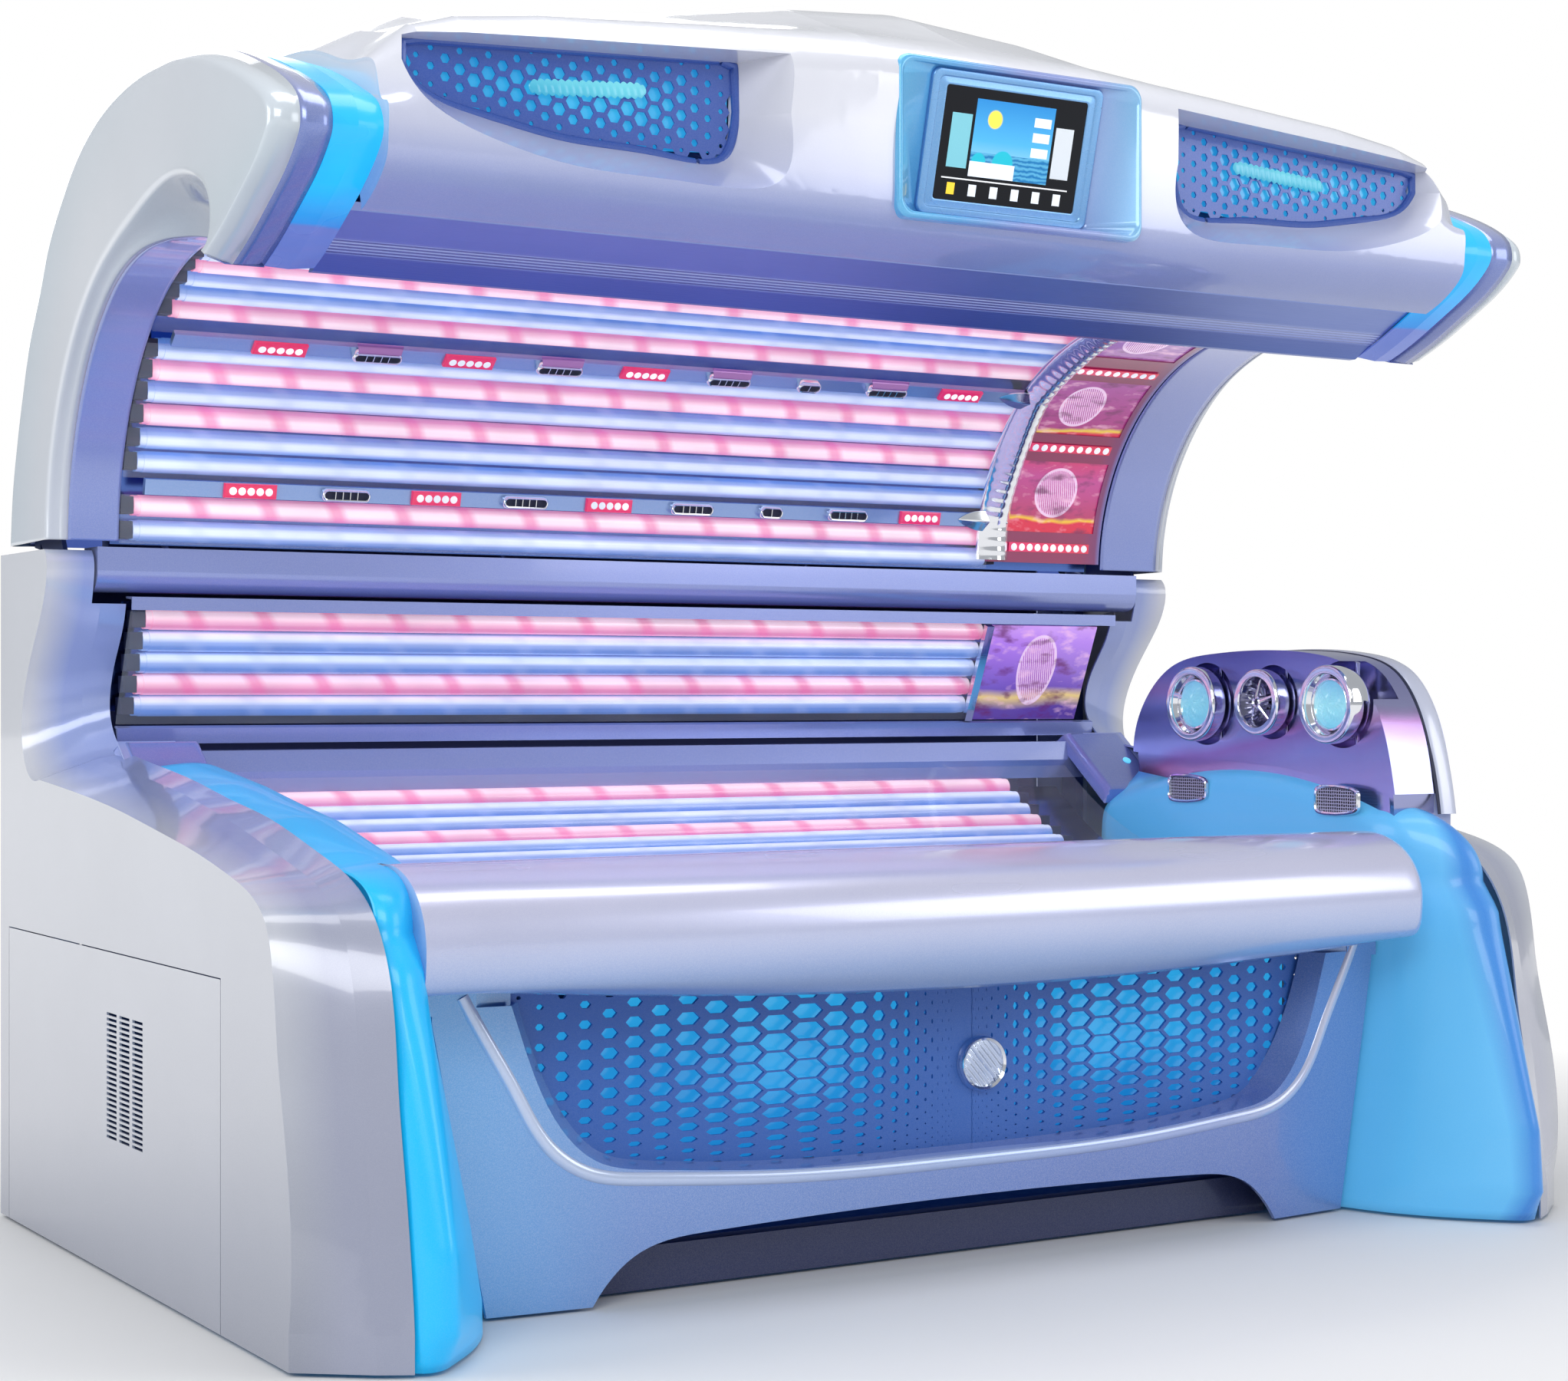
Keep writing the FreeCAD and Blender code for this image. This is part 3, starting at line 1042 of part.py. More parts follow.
def display_frame():
    """Bezel of the screen, leaning forward at its top."""
    outer = box(-DISPLAY_W / 2 - 30, DISPLAY_W / 2 + 30, 0, 14, -DISPLAY_H / 2 - 24, DISPLAY_H / 2 + 24)
    inner = box(-DISPLAY_W / 2 - 1, DISPLAY_W / 2 + 1, -1, 6, -DISPLAY_H / 2 - 1, DISPLAY_H / 2 + 1)
    return lean(outer.cut(inner))


def display_glass():
    return lean(box(-DISPLAY_W / 2, DISPLAY_W / 2, 1.5, 5.9, -DISPLAY_H / 2, DISPLAY_H / 2))


def lean(shape):
    shape.rotate(V(0, 0, 0), V(1, 0, 0), DISPLAY_LEAN)
    shape.translate(V(DISPLAY_X, DISPLAY_Y, DISPLAY_Z))
    return shape


save_base()
save_canopy()
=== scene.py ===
"""Dressing of the clamshell tanning bed: shells, lamps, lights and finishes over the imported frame.

Lengths are metres in the frame's own axes: X along the bed, -Y towards the user, +Z up.
"""
from __future__ import annotations

import logging
import math
from dataclasses import dataclass
from enum import Enum
from typing import Callable, Sequence

import bpy
import numpy as np
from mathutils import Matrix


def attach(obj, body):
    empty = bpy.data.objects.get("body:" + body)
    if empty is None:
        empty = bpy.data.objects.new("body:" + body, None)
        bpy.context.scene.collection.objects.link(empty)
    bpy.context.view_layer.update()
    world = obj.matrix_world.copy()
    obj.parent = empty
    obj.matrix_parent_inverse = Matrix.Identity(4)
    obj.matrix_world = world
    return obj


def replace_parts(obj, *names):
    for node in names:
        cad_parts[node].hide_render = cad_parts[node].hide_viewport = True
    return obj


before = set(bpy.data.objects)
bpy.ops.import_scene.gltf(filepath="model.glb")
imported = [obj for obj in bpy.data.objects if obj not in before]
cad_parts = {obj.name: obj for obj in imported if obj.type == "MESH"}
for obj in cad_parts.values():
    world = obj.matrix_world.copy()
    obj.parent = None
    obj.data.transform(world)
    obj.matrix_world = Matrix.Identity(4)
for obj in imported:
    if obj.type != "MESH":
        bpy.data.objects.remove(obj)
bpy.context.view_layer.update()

logging.basicConfig(level=logging.INFO, format="%(message)s")
LOG = logging.getLogger("tanning_bed")

Point = Sequence[float]
Colour = tuple[float, float, float]
Stop = tuple[float, float, float, float]

TUNNEL_Z = 1.193
TUNNEL_RADIUS = 0.467
COVER_WALL = 0.003


class Side(Enum):
    """The two ends of the bed."""

    LEFT = -1
    RIGHT = 1

    @property
    def word(self) -> str:
        """The lower-case name used in piece names."""
        return self.name.lower()

    @property
    def mirror(self) -> np.ndarray:
        """Factors that carry a point of the right end to this end."""
        return np.array([float(self.value), 1.0, 1.0])


# ---------------------------------------------------------------- curves and surfaces


def xyz(x: object, y: object, z: object) -> np.ndarray:
    """Points from X, Y and Z, each spread over the others' shape."""
    return np.stack(np.broadcast_arrays(x, y, z), axis=-1).astype(float)


def circle(count: int) -> np.ndarray:
    """Angles of evenly spaced points round a circle."""
    return np.linspace(0.0, 2.0 * math.pi, count, endpoint=False)


def unit(vectors: np.ndarray) -> np.ndarray:
    """Vectors brought to length 1."""
    return vectors / np.linalg.norm(vectors, axis=-1, keepdims=True)


def sample_curve(points: Sequence[Point], count: int) -> np.ndarray:
    """Samples a natural cubic spline through points, spaced evenly in chord length.

    On each span the curve is p(t) = p0 h0 + p1 h1 plus the span's second
    derivatives times (t^3 - t), which keeps slope and bend continuous.

    Args:
        points: The points the curve runs through, of any dimension.
        count: Number of samples.

    Returns:
        Array of shape (count, dimension).
    """
    p = np.asarray(points, float)
    knots = np.concatenate([[0.0], np.cumsum(np.linalg.norm(np.diff(p, axis=0), axis=1))])
    n, h = len(p), np.diff(knots)
    system, right = np.eye(n), np.zeros_like(p)
    rows = np.arange(1, n - 1)
    system[rows, rows - 1] = h[:-1]
    system[rows, rows] = 2.0 * (h[:-1] + h[1:])
    system[rows, rows + 1] = h[1:]
    slopes = np.diff(p, axis=0) / h[:, None]
    right[1:-1] = 6.0 * (slopes[1:] - slopes[:-1])
    bend = np.linalg.solve(system, right)
    t = np.linspace(0.0, knots[-1], count)
    k = np.clip(np.searchsorted(knots, t, side="right") - 1, 0, n - 2)
    a = ((knots[k + 1] - t) / h[k])[:, None]
    b = 1.0 - a
    span = (h[k] ** 2)[:, None] / 6.0
    return a * p[k] + b * p[k + 1] + ((a**3 - a) * bend[k] + (b**3 - b) * bend[k + 1]) * span


def resample(line: np.ndarray, count: int) -> np.ndarray:
    """Spreads count points evenly along a polyline, by linear steps of its arc length."""
    along = np.concatenate([[0.0], np.cumsum(np.linalg.norm(np.diff(line, axis=0), axis=1))])
    t = np.linspace(0.0, along[-1], count)
    return np.stack([np.interp(t, along, line[:, k]) for k in range(line.shape[1])], axis=1)


def spread(points: Sequence[Point], fine: int, count: int) -> np.ndarray:
    """A smooth curve through points, sampled finely and then spread evenly over count places."""
    return resample(sample_curve(points, fine), count)


def rounded_rows(nodes: np.ndarray, radii: Sequence[float], steps: int = 6) -> np.ndarray:
    """Joins rows of points with rounded corners.

    Row k of nodes is a corner of the cross-section. Each inner corner with a radius
    is replaced by the quadratic arc (1-t)^2 a + 2t(1-t) c + t^2 b, where a and b lie
    the radius away from the corner c towards its neighbours.

    Args:
        nodes: Array (rows, columns, 3).
        radii: One radius per row; 0 keeps the corner sharp.
        steps: Points on each arc less one.

    Returns:
        Array (more rows, columns, 3).
    """
    rows: list[np.ndarray] = []
    t = np.linspace(0.0, 1.0, steps + 1)[:, None, None]
    for k, radius in enumerate(radii):
        corner = nodes[k]
        if k in (0, len(nodes) - 1) or radius <= 0.0:
            rows.append(corner[None])
            continue
        ends = []
        for neighbour in (nodes[k - 1], nodes[k + 1]):
            way = neighbour - corner
            length = np.linalg.norm(way, axis=1, keepdims=True) + 1e-9
            ends.append(corner + way / length * np.minimum(radius, 0.46 * length))
        rows.append((1 - t) ** 2 * ends[0] + 2 * t * (1 - t) * corner + t**2 * ends[1])
    return np.concatenate(rows)


def tube_rows(path: np.ndarray, radius: float | np.ndarray, sides: int = 12) -> np.ndarray:
    """Rings round a path.

    Each ring is p + r (cos a * n + sin a * b), with n and b square to the path's
    tangent and carried along it without twist from a fixed reference.

    Args:
        path: Array (count, 3).
        radius: One radius or one for each point.
        sides: Points on a ring.

    Returns:
        Array (count, sides, 3).
    """
    tangent = unit(np.gradient(path, axis=0))
    reference = (0.0, 0.0, 1.0) if abs(tangent[:, 2]).max() < 0.9 else (1.0, 0.0, 0.0)
    side = unit(np.cross(tangent, reference))
    up = np.cross(side, tangent)
    a = circle(sides)[None, :, None]
    r = np.broadcast_to(np.asarray(radius, float), (len(path),))[:, None, None]
    return path[:, None] + r * (np.cos(a) * side[:, None] + np.sin(a) * up[:, None])


def turned(profile: Sequence[Point], centre: Point, axis: Point, sides: int = 48) -> np.ndarray:
    """A profile turned about an axis: (r, h) goes to centre + h * axis + r (cos a * n + sin a * b).

    Args:
        profile: Pairs (radius, height along the axis).
        centre: Where height is 0.
        axis: Direction of the axis, of length 1 and level.
        sides: Steps round the axis.

    Returns:
        Array (profile points, sides, 3).
    """
    k = np.asarray(axis, float)
    n = unit(np.cross(k, (0.0, 0.0, 1.0)))
    p, a = np.asarray(profile, float), circle(sides)[:, None]
    ring = np.cos(a) * n + np.sin(a) * np.cross(k, n)
    return np.asarray(centre, float) + p[:, 1, None, None] * k + p[:, 0, None, None] * ring[None]


def side_height(curve: Sequence[Point], y: np.ndarray) -> np.ndarray:
    """Height of an outline given as (y, z) points in order of y, at each y, by linear steps."""
    p = np.asarray(curve, float)
    return np.interp(y, p[:, 0], p[:, 1])


def inset_line(line: np.ndarray, distance: object) -> np.ndarray:
    """A two-part line moved to its left by one distance, or by each of several, square to its direction."""
    tangent = unit(np.gradient(line, axis=0))
    return line + np.asarray(distance)[..., None] * np.stack([-tangent[:, 1], tangent[:, 0]], axis=-1)


def round_tunnel(angle: object, reach: object, x: object, along: object = 0.0) -> np.ndarray:
    """Points at an angle in degrees and a reach from the tunnel's centre line, moved along its wall."""
    a = np.radians(angle)
    return xyz(x, reach * np.cos(a) - along * np.sin(a), TUNNEL_Z + reach * np.sin(a) + along * np.cos(a))


class Sheet:
    """A mesh under construction: vertices, faces and one UV pair for each vertex."""

    def __init__(self) -> None:
        """Starts an empty sheet."""
        self.points: list[np.ndarray] = []
        self.faces: list[list[int]] = []
        self.uv: list[np.ndarray] = []
        self.count = 0

    def add(self, points: np.ndarray, faces: np.ndarray, uv: np.ndarray | None = None) -> Sheet:
        """Adds vertices and faces that index them.

        Args:
            points: Array (..., 3) of places.
            faces: Array (faces, corners) of indices into these points.
            uv: Array (..., 2), or None for zeros.

        Returns:
            The sheet.
        """
        flat = np.asarray(points, float).reshape(-1, 3)
        self.points.append(flat)
        self.uv.append(np.zeros((len(flat), 2)) if uv is None else uv.reshape(-1, 2))
        self.faces.extend((faces + self.count).tolist())
        self.count += len(flat)
        return self

    def grid(self, points: np.ndarray, wrap_rows: bool = False, wrap: bool = False, flip: bool = False) -> Sheet:
        """Adds a (rows, columns, 3) grid of points as quads; its UV is (column, row) in 0..1.

        Args:
            points: The grid's points.
            wrap_rows: Whether the last row joins the first.
            wrap: Whether the last column joins the first.
            flip: Whether the faces look the other way.

        Returns:
            The sheet.
        """
        points = np.asarray(points, float)
        rows, columns = points.shape[:2]
        steps = np.arange(rows if wrap_rows else rows - 1), np.arange(columns if wrap else columns - 1)
        r, c = np.meshgrid(*steps, indexing="ij")
        r2, c2 = (r + 1) % rows, (c + 1) % columns
        corners = (r * columns + c, r * columns + c2, r2 * columns + c2, r2 * columns + c)
        quads = np.stack(corners, axis=-1).reshape(-1, 4)
        v, u = np.meshgrid(np.linspace(0, 1, rows), np.linspace(0, 1, columns), indexing="ij")
        return self.add(points, quads[:, ::-1] if flip else quads, np.stack([u, v], axis=-1))

    def face(self, points: np.ndarray) -> Sheet:
        """Adds one flat many-sided face through the points in order."""
        return self.add(points, np.arange(len(points))[None])

    def rings(self, rows: np.ndarray, *caps: int) -> Sheet:
        """Adds closed rings, and a flat face over each ring that is named in caps."""
        self.grid(rows, wrap=True)
        for row in caps:
            self.face(rows[row])
        return self

    def slab(self, top: np.ndarray, under: np.ndarray) -> Sheet:
        """Adds two facing grids and the four strips that join their edges."""
        self.grid(top).grid(under, flip=True)
        for edge in (0, -1):
            self.grid(np.stack([top[:, edge], under[:, edge]], axis=1))
        for edge in (0, -1):
            self.grid(np.stack([top[edge], under[edge]]))
        return self

    def piece(
        self,
        name: str,
        finish: Finish,
        body: str = "base",
        sharp: float = 35.0,
        smooth: bool = True,
        weld: float = 1e-5,
        outward: bool = True,
        toward: Point | None = None,
        wall: float = 0.0,
    ) -> bpy.types.Object:
        """Turns the sheet into a finished piece riding on a body.

        Args:
            name: Piece name.
            finish: Its finish.
            body: The CAD body it moves with.
            sharp: Edges that bend by more than this many degrees stay crisp.
            smooth: Whether faces shade smoothly.
            weld: Distance under which doubles are merged.
            outward: Whether face directions are made consistent and outward.
            toward: For an open cover, the way its outside faces.
            wall: Thickness given to an open cover, inwards.

        Returns:
            The piece.
        """
        import bmesh

        mesh = bpy.data.meshes.new(name)
        mesh.from_pydata(np.concatenate(self.points).tolist(), [], self.faces)
        layer = mesh.uv_layers.new(name="UVMap")
        loops = np.zeros(len(mesh.loops), np.int32)
        mesh.loops.foreach_get("vertex_index", loops)
        layer.data.foreach_set("uv", np.concatenate(self.uv)[loops].astype(np.float32).ravel())
        shape = bmesh.new()
        shape.from_mesh(mesh)
        if weld > 0.0:
            bmesh.ops.remove_doubles(shape, verts=shape.verts, dist=weld)
        if outward:
            bmesh.ops.recalc_face_normals(shape, faces=shape.faces)
        shape.to_mesh(mesh)
        shape.free()
        mesh.validate()
        if toward is not None:
            facing = sum(face.area * float(np.dot(face.normal, toward)) for face in mesh.polygons)
            if facing < 0.0:
                mesh.flip_normals()
        mesh.polygons.foreach_set("use_smooth", [smooth] * len(mesh.polygons))
        if smooth:
            mesh.set_sharp_from_angle(angle=math.radians(sharp))
        piece = bpy.data.objects.new(name, mesh)
        bpy.context.scene.collection.objects.link(piece)
        mesh.materials.append(finish.material())
        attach(piece, body)
        LOG.info("%s: %d faces, on %s", name, len(mesh.polygons), body)
        if wall > 0.0:
            shell = piece.modifiers.new("wall", "SOLIDIFY")
            shell.thickness, shell.offset = wall, -1.0
        return piece


# ---------------------------------------------------------------- shader boards


def _sign(operation: str, swapped: bool = False) -> Callable[[Wire, object], Wire]:
    """A sign between a wire and another value, which places one math node."""

    def combine(wire: Wire, other: object) -> Wire:
        """The math node's result."""
        return wire.board.math(operation, *((other, wire) if swapped else (wire, other)))

    return combine


@dataclass(frozen=True, eq=False)
class Wire:
    """A node's output that can be added, multiplied and compared like a number."""

    board: Board
    socket: bpy.types.NodeSocket

    __add__ = __radd__ = _sign("ADD")
    __mul__ = __rmul__ = _sign("MULTIPLY")
    __sub__ = _sign("SUBTRACT")
    __rsub__ = _sign("SUBTRACT", swapped=True)
    __truediv__ = _sign("DIVIDE")
    __gt__ = _sign("GREATER_THAN")
    __lt__ = _sign("LESS_THAN")


class Board:
    """A thin layer over a node tree that places nodes and wires them."""

    def __init__(self, tree: bpy.types.NodeTree) -> None:
        """Keeps the tree it works on."""
        self.tree = tree
        self.where: bpy.types.Node | None = None

    def node(self, kind: str, **settings: object) -> bpy.types.Node:
        """Adds a node of the given kind with its settings."""
        made = self.tree.nodes.new(kind)
        for key, value in settings.items():
            setattr(made, key, value)
        return made

    def put(self, value: object, socket: bpy.types.NodeSocket) -> None:
        """Links a wire into the socket, or sets a number or a vector as its default."""
        if isinstance(value, Wire):
            self.tree.links.new(value.socket, socket)
        elif isinstance(value, (int, float)):
            socket.default_value = float(value)
        else:
            padded = [*value, 1.0] if socket.type == "RGBA" and len(value) == 3 else list(value)
            socket.default_value = padded

    def place(self, kind: str, *values: object, output: object = 0, **settings: object) -> Wire:
        """Adds a node, fills its first inputs and returns one of its outputs."""
        made = self.node(kind, **settings)
        for value, socket in zip(values, made.inputs):
            self.put(value, socket)
        return Wire(self, made.outputs[output])

    def at(self, kind: str = "Object") -> Wire:
        """One of the texture coordinates: Object, Normal or UV."""
        self.where = self.where or self.node("ShaderNodeTexCoord")
        return Wire(self, self.where.outputs[kind])

    def math(self, operation: str, a: object, b: object = 0.0) -> Wire:
        """A math node's result."""
        return self.place("ShaderNodeMath", a, b, operation=operation)

    def vector(self, operation: str, a: object, b: object = (0.0, 0.0, 0.0)) -> Wire:
        """A vector-math node's result: the value for lengths and dot products, else the vector."""
        output = "Value" if operation in ("LENGTH", "DOT_PRODUCT") else 0
        return self.place("ShaderNodeVectorMath", a, b, output=output, operation=operation)

    def mix(self, factor: object, a: object, b: object, blend: str = "MIX") -> Wire:
        """Colour a blended with colour b."""
        made = self.node("ShaderNodeMix", data_type="RGBA", blend_type=blend)
        for value, index in ((factor, 0), (a, 6), (b, 7)):
            self.put(value, made.inputs[index])
        return Wire(self, made.outputs[2])

    def ramp(self, value: object, stops: Sequence[Stop]) -> Wire:
        """Colours spread over a value by stops of a position and a colour."""
        made = self.node("ShaderNodeValToRGB")
        band = made.color_ramp
        while len(band.elements) < len(stops):
            band.elements.new(0.5)
        for element, (position, *colour) in zip(band.elements, stops):
            element.position, element.color = position, (*colour, 1.0)
        self.put(value, made.inputs[0])
        return Wire(self, made.outputs[0])

    def fit(self, value: object, low: float, high: float, new_low: float = 0.0, new_high: float = 1.0) -> Wire:
        """Value mapped from one range onto another, held inside it."""
        return self.place("ShaderNodeMapRange", value, low, high, new_low, new_high, clamp=True)

    def noise(self, place: object, scale: float, detail: float = 2.0) -> Wire:
        """Noise value at a place."""
        made = self.node("ShaderNodeTexNoise")
        for key, value in (("Vector", place), ("Scale", scale), ("Detail", detail)):
            self.put(value, made.inputs[key])
        return Wire(self, made.outputs[0])

    def split(self, vector: object) -> list[Wire]:
        """The X, Y and Z of a vector."""
        made = self.place("ShaderNodeSeparateXYZ", vector)
        return [Wire(self, socket) for socket in made.socket.node.outputs]

    def join(self, x: object, y: object, z: object) -> Wire:
        """A vector from its X, Y and Z."""
        return self.place("ShaderNodeCombineXYZ", x, y, z)

    def group(self, tree: bpy.types.NodeTree, **values: object) -> list[Wire]:
        """The outputs of a node group placed with its inputs set by name."""
        made = self.node("ShaderNodeGroup", node_tree=tree)
        for key, value in values.items():
            self.put(value, made.inputs[key])
        return [Wire(self, socket) for socket in made.outputs]

    def length(self, a: Wire, b: Wire) -> Wire:
        """The length of the vector (a, b)."""
        return self.math("SQRT", a * a + b * b)

    def inside(self, value: Wire, low: float, high: float) -> Wire:
        """1 between low and high and 0 elsewhere."""
        return (value > low) * (value < high)

    def shade(self, **inputs: object) -> None:
        """Sets the surface shader's inputs; an underscore stands for a space in an input's name."""
        shader = self.tree.nodes["Principled BSDF"]
        for key, value in inputs.items():
            self.put(value, shader.inputs[key.replace("_", " ")])

    def emit(self, colour: object, strength: float) -> None:
        """Lights the surface up in a colour."""
        self.shade(Emission_Color=colour, Emission_Strength=strength)

    def bump(self, height: object, strength: float, distance: float) -> None:
        """Bends the surface's normal by a height."""
        made = self.node("ShaderNodeBump")
        for key, value in (("Height", height), ("Strength", strength), ("Distance", distance)):
            self.put(value, made.inputs[key])
        self.shade(Normal=Wire(self, made.outputs[0]))


class Effect:
    """A shader node group under construction, with named inputs and outputs."""

    def __init__(self, name: str, **inputs: float | None) -> None:
        """Starts the group; an input without a default is a vector."""
        self.tree = bpy.data.node_groups.new(name, "ShaderNodeTree")
        for label, default in inputs.items():
            kind = "NodeSocketVector" if default is None else "NodeSocketFloat"
            socket = self.tree.interface.new_socket(name=label, in_out="INPUT", socket_type=kind)
            if default is not None:
                socket.default_value = default
        self.board = Board(self.tree)
        start = self.board.node("NodeGroupInput")
        self.inputs = [Wire(self.board, start.outputs[label]) for label in inputs]

    def finish(self, **outputs: Wire) -> bpy.types.NodeTree:
        """Wires the named outputs, which are plain values, and returns the group."""
        for label in outputs:
            self.tree.interface.new_socket(name=label, in_out="OUTPUT", socket_type="NodeSocketFloat")
        end = self.board.node("NodeGroupOutput")
        for label, value in outputs.items():
            self.board.put(value, end.inputs[label])
        return self.tree


class Effects:
    """The shared effects, each a shader node group built once."""

    def __init__(self) -> None:
        """Builds the groups."""
        self.handled = self._handled()
        self.flake = self._flake()
        self.settled = self._settled()
        self.swirl = self._swirl()
        self.hatch = self._hatch()

    def _handled(self) -> bpy.types.NodeTree:
        """Faint wipe marks and mottling: Smudge 0..1 for roughness and Mottle 0..1 for colour."""
        effect = Effect("handled_surface", Place=None, Scale=3.0)
        board, (place, scale) = effect.board, effect.inputs
        scaled = board.vector("SCALE", place)
        board.put(scale, scaled.socket.node.inputs["Scale"])
        x, y, z = board.split(scaled)
        smudge = board.fit(board.noise(board.join(x * 0.4, y * 1.3, z * 2.2), 3.0), 0.15, 0.95)
        return effect.finish(Smudge=smudge, Mottle=board.noise(scaled, 1.1, 3.0))

    def _flake(self) -> bpy.types.NodeTree:
        """Metallic paint flake: Sparkle 0..1 changes from one tiny cell to the next."""
        effect = Effect("metallic_flake", Place=None, Grain=900.0)
        board, (place, grain) = effect.board, effect.inputs
        cells = board.place("ShaderNodeTexVoronoi", place, output="Color")
        board.put(grain, cells.socket.node.inputs["Scale"])
        return effect.finish(Sparkle=board.place("ShaderNodeSeparateColor", cells))

    def _settled(self) -> bpy.types.NodeTree:
        """Dust on faces that look up: Dust 0..1 from the normal's height and a fine noise."""
        effect = Effect("settled_dust", Place=None, Facing=None)
        board, (place, facing) = effect.board, effect.inputs
        up = board.fit(board.split(facing)[2], 0.55, 1.0)
        return effect.finish(Dust=up * board.fit(board.noise(place, 60.0, 6.0), 0.45, 0.75))

    def _swirl(self) -> bpy.types.NodeTree:
        """Helical marks round a tube: Mark is 1 inside a short diagonal dash once every pitch."""
        effect = Effect("tube_swirl", Along=0.0, Round=0.0, Pitch=0.11)
        board, (along, turn, pitch) = effect.board, effect.inputs
        phase = board.math("FRACT", along / pitch + turn * 0.42)
        return effect.finish(Mark=board.fit(board.math("ABSOLUTE", phase - 0.5), 0.05, 0.17, 1.0, 0.0))

    def _hatch(self) -> bpy.types.NodeTree:
        """A disc of concentric rings and slanted lines: Disc is its mask, Line its drawn lines."""
        effect = Effect("hatched_disc", Across=0.0, Up=0.0, Radius=0.04)
        board, (x, y, radius) = effect.board, effect.inputs
        part = board.length(x, y) / radius
        disc = board.fit(part, 0.97, 1.0, 1.0, 0.0)
        bars = board.math("FRACT", (x + y * 0.35) * 190.0) > 0.55
        line = board.math("MAXIMUM", bars * disc, board.fit(part, 0.86, 0.9) * disc)
        return effect.finish(Disc=disc, Line=line)


EFFECTS = Effects()


# ---------------------------------------------------------------- finishes


class Axis(Enum):
    """The part axis that a colour runs along."""

    X = 0
    Y = 1
    Z = 2


@dataclass(frozen=True)
class Fade:
    """Colours that change along one axis of the part."""

    axis: Axis
    low: float
    high: float
    stops: tuple[Stop, ...]


def tone(board: Board, colour: Colour | Fade) -> Colour | Wire:
    """A plain colour as it is, or a fade's colour at each place."""
    if not isinstance(colour, Fade):
        return colour
    along = board.split(board.at())[colour.axis.value]
    return board.ramp(board.fit(along, colour.low, colour.high), colour.stops)


@dataclass(frozen=True)
class Finish:
    """What every finish has: a name, the record's slot, and a material made once."""

    name: str
    slot: str

    def material(self) -> bpy.types.Material:
        """The finish's material, built on first use."""
        made = bpy.data.materials.get(self.name)
        if made is None:
            made = bpy.data.materials.new(self.name)
            made.use_nodes = True
            self.paint(Board(made.node_tree))
        return made

    def paint(self, board: Board) -> None:
        """Wires the material on its board; each kind of finish does its own."""
        raise NotImplementedError


@dataclass(frozen=True)
class Lacquer(Finish):
    """Sprayed lacquer or moulded plastic: even colour, faint mottling, wipe marks, optional flake and dust."""

    colour: Colour | Fade | None = None
    roughness: float = 0.25
    metallic: float = 0.0
    coat: float = 0.0
    flake: float = 0.0
    ripple: float = 0.02
    dust: float = 0.04
    mottle: float = 0.06
    glow: float = 0.0

    def paint(self, board: Board) -> None:
        """Base colour with mottling, flake and dust; roughness with wipe marks; a fine ripple as bump."""
        place = board.at()
        smudge, mottle = board.group(EFFECTS.handled, Place=place, Scale=2.6)
        body = self.body(board)
        dark = board.mix(1.0, body, (1 - self.mottle * 2,) * 3, "MULTIPLY")
        shade = board.mix(mottle, dark, body)
        if self.flake > 0.0:
            spark = board.group(EFFECTS.flake, Place=place, Grain=1100.0)[0]
            pale = board.mix(self.flake, shade, (1.0, 1.0, 1.0))
            shade = board.mix(board.fit(spark, 0.2, 1.0), shade, pale)
        if self.dust > 0.0:
            settled = board.group(EFFECTS.settled, Place=place, Facing=board.at("Normal"))[0]
            shade = board.mix(settled * self.dust, shade, (0.72, 0.72, 0.74))
        rough = board.fit(smudge, 0.0, 1.0, self.roughness, min(1.0, self.roughness + 0.05))
        board.shade(Base_Color=shade, Roughness=rough, Metallic=self.metallic)
        board.shade(Coat_Weight=self.coat, Coat_Roughness=0.05)
        board.bump(board.noise(place, 420.0), self.ripple, 0.001)
        # On a part that is no lamp this glow is painted light.
        if self.glow > 0.0:
            board.emit(shade, self.glow)

    def body(self, board: Board) -> Colour | Wire:
        """The plain colour before wear."""
        return tone(board, self.colour)


@dataclass(frozen=True)
class CapLacquer(Lacquer):
    """Cap lacquer with painted light and shade: pale shell, painted shade in the scoop, painted cyan glow along the
    crease near the tip and painted cyan reflection near the outer edge.
    """

    # Lightness of the shell from foot to tip, lighter in the middle: partly painted light.
    PALE = (
        (0.0, 0.66, 0.70, 0.77), (0.35, 0.74, 0.77, 0.82), (0.6, 0.70, 0.74, 0.80),
        (0.85, 0.62, 0.70, 0.76), (1.0, 0.60, 0.66, 0.74),
    )
    # Colours of the scoop from foot to tip: painted shade, darkest towards the tip.
    DEEP = (
        (0.0, 0.58, 0.62, 0.70), (0.33, 0.50, 0.55, 0.64), (0.50, 0.36, 0.42, 0.51),
        (0.66, 0.24, 0.29, 0.38), (0.80, 0.30, 0.37, 0.47), (1.0, 0.42, 0.52, 0.62),
    )

    def body(self, board: Board) -> Wire:
        """Reads the cover's own UV: u runs from foot to tip, v from the tunnel edge to the outline."""
        u, v = board.split(board.at("UV"))[:2]
        # Inside the crease the shell takes the painted scoop shade.
        colour = board.mix(board.fit(v, 0.60, 0.55), board.ramp(u, self.PALE), board.ramp(u, self.DEEP))
        # Painted cyan glow along the crease near the tip.
        rim = board.fit(v, 0.50, 0.55) * board.fit(v, 0.62, 0.59) * board.fit(u, 0.80, 0.90)
        colour = board.mix(rim, colour, (0.06, 0.50, 0.80))
        # Painted cyan reflection near the outer back edge.
        back = board.fit(v, 0.72, 1.0) * board.fit(u, 0.55, 0.25)
        return board.mix(back * 0.75, colour, (0.22, 0.62, 0.80))


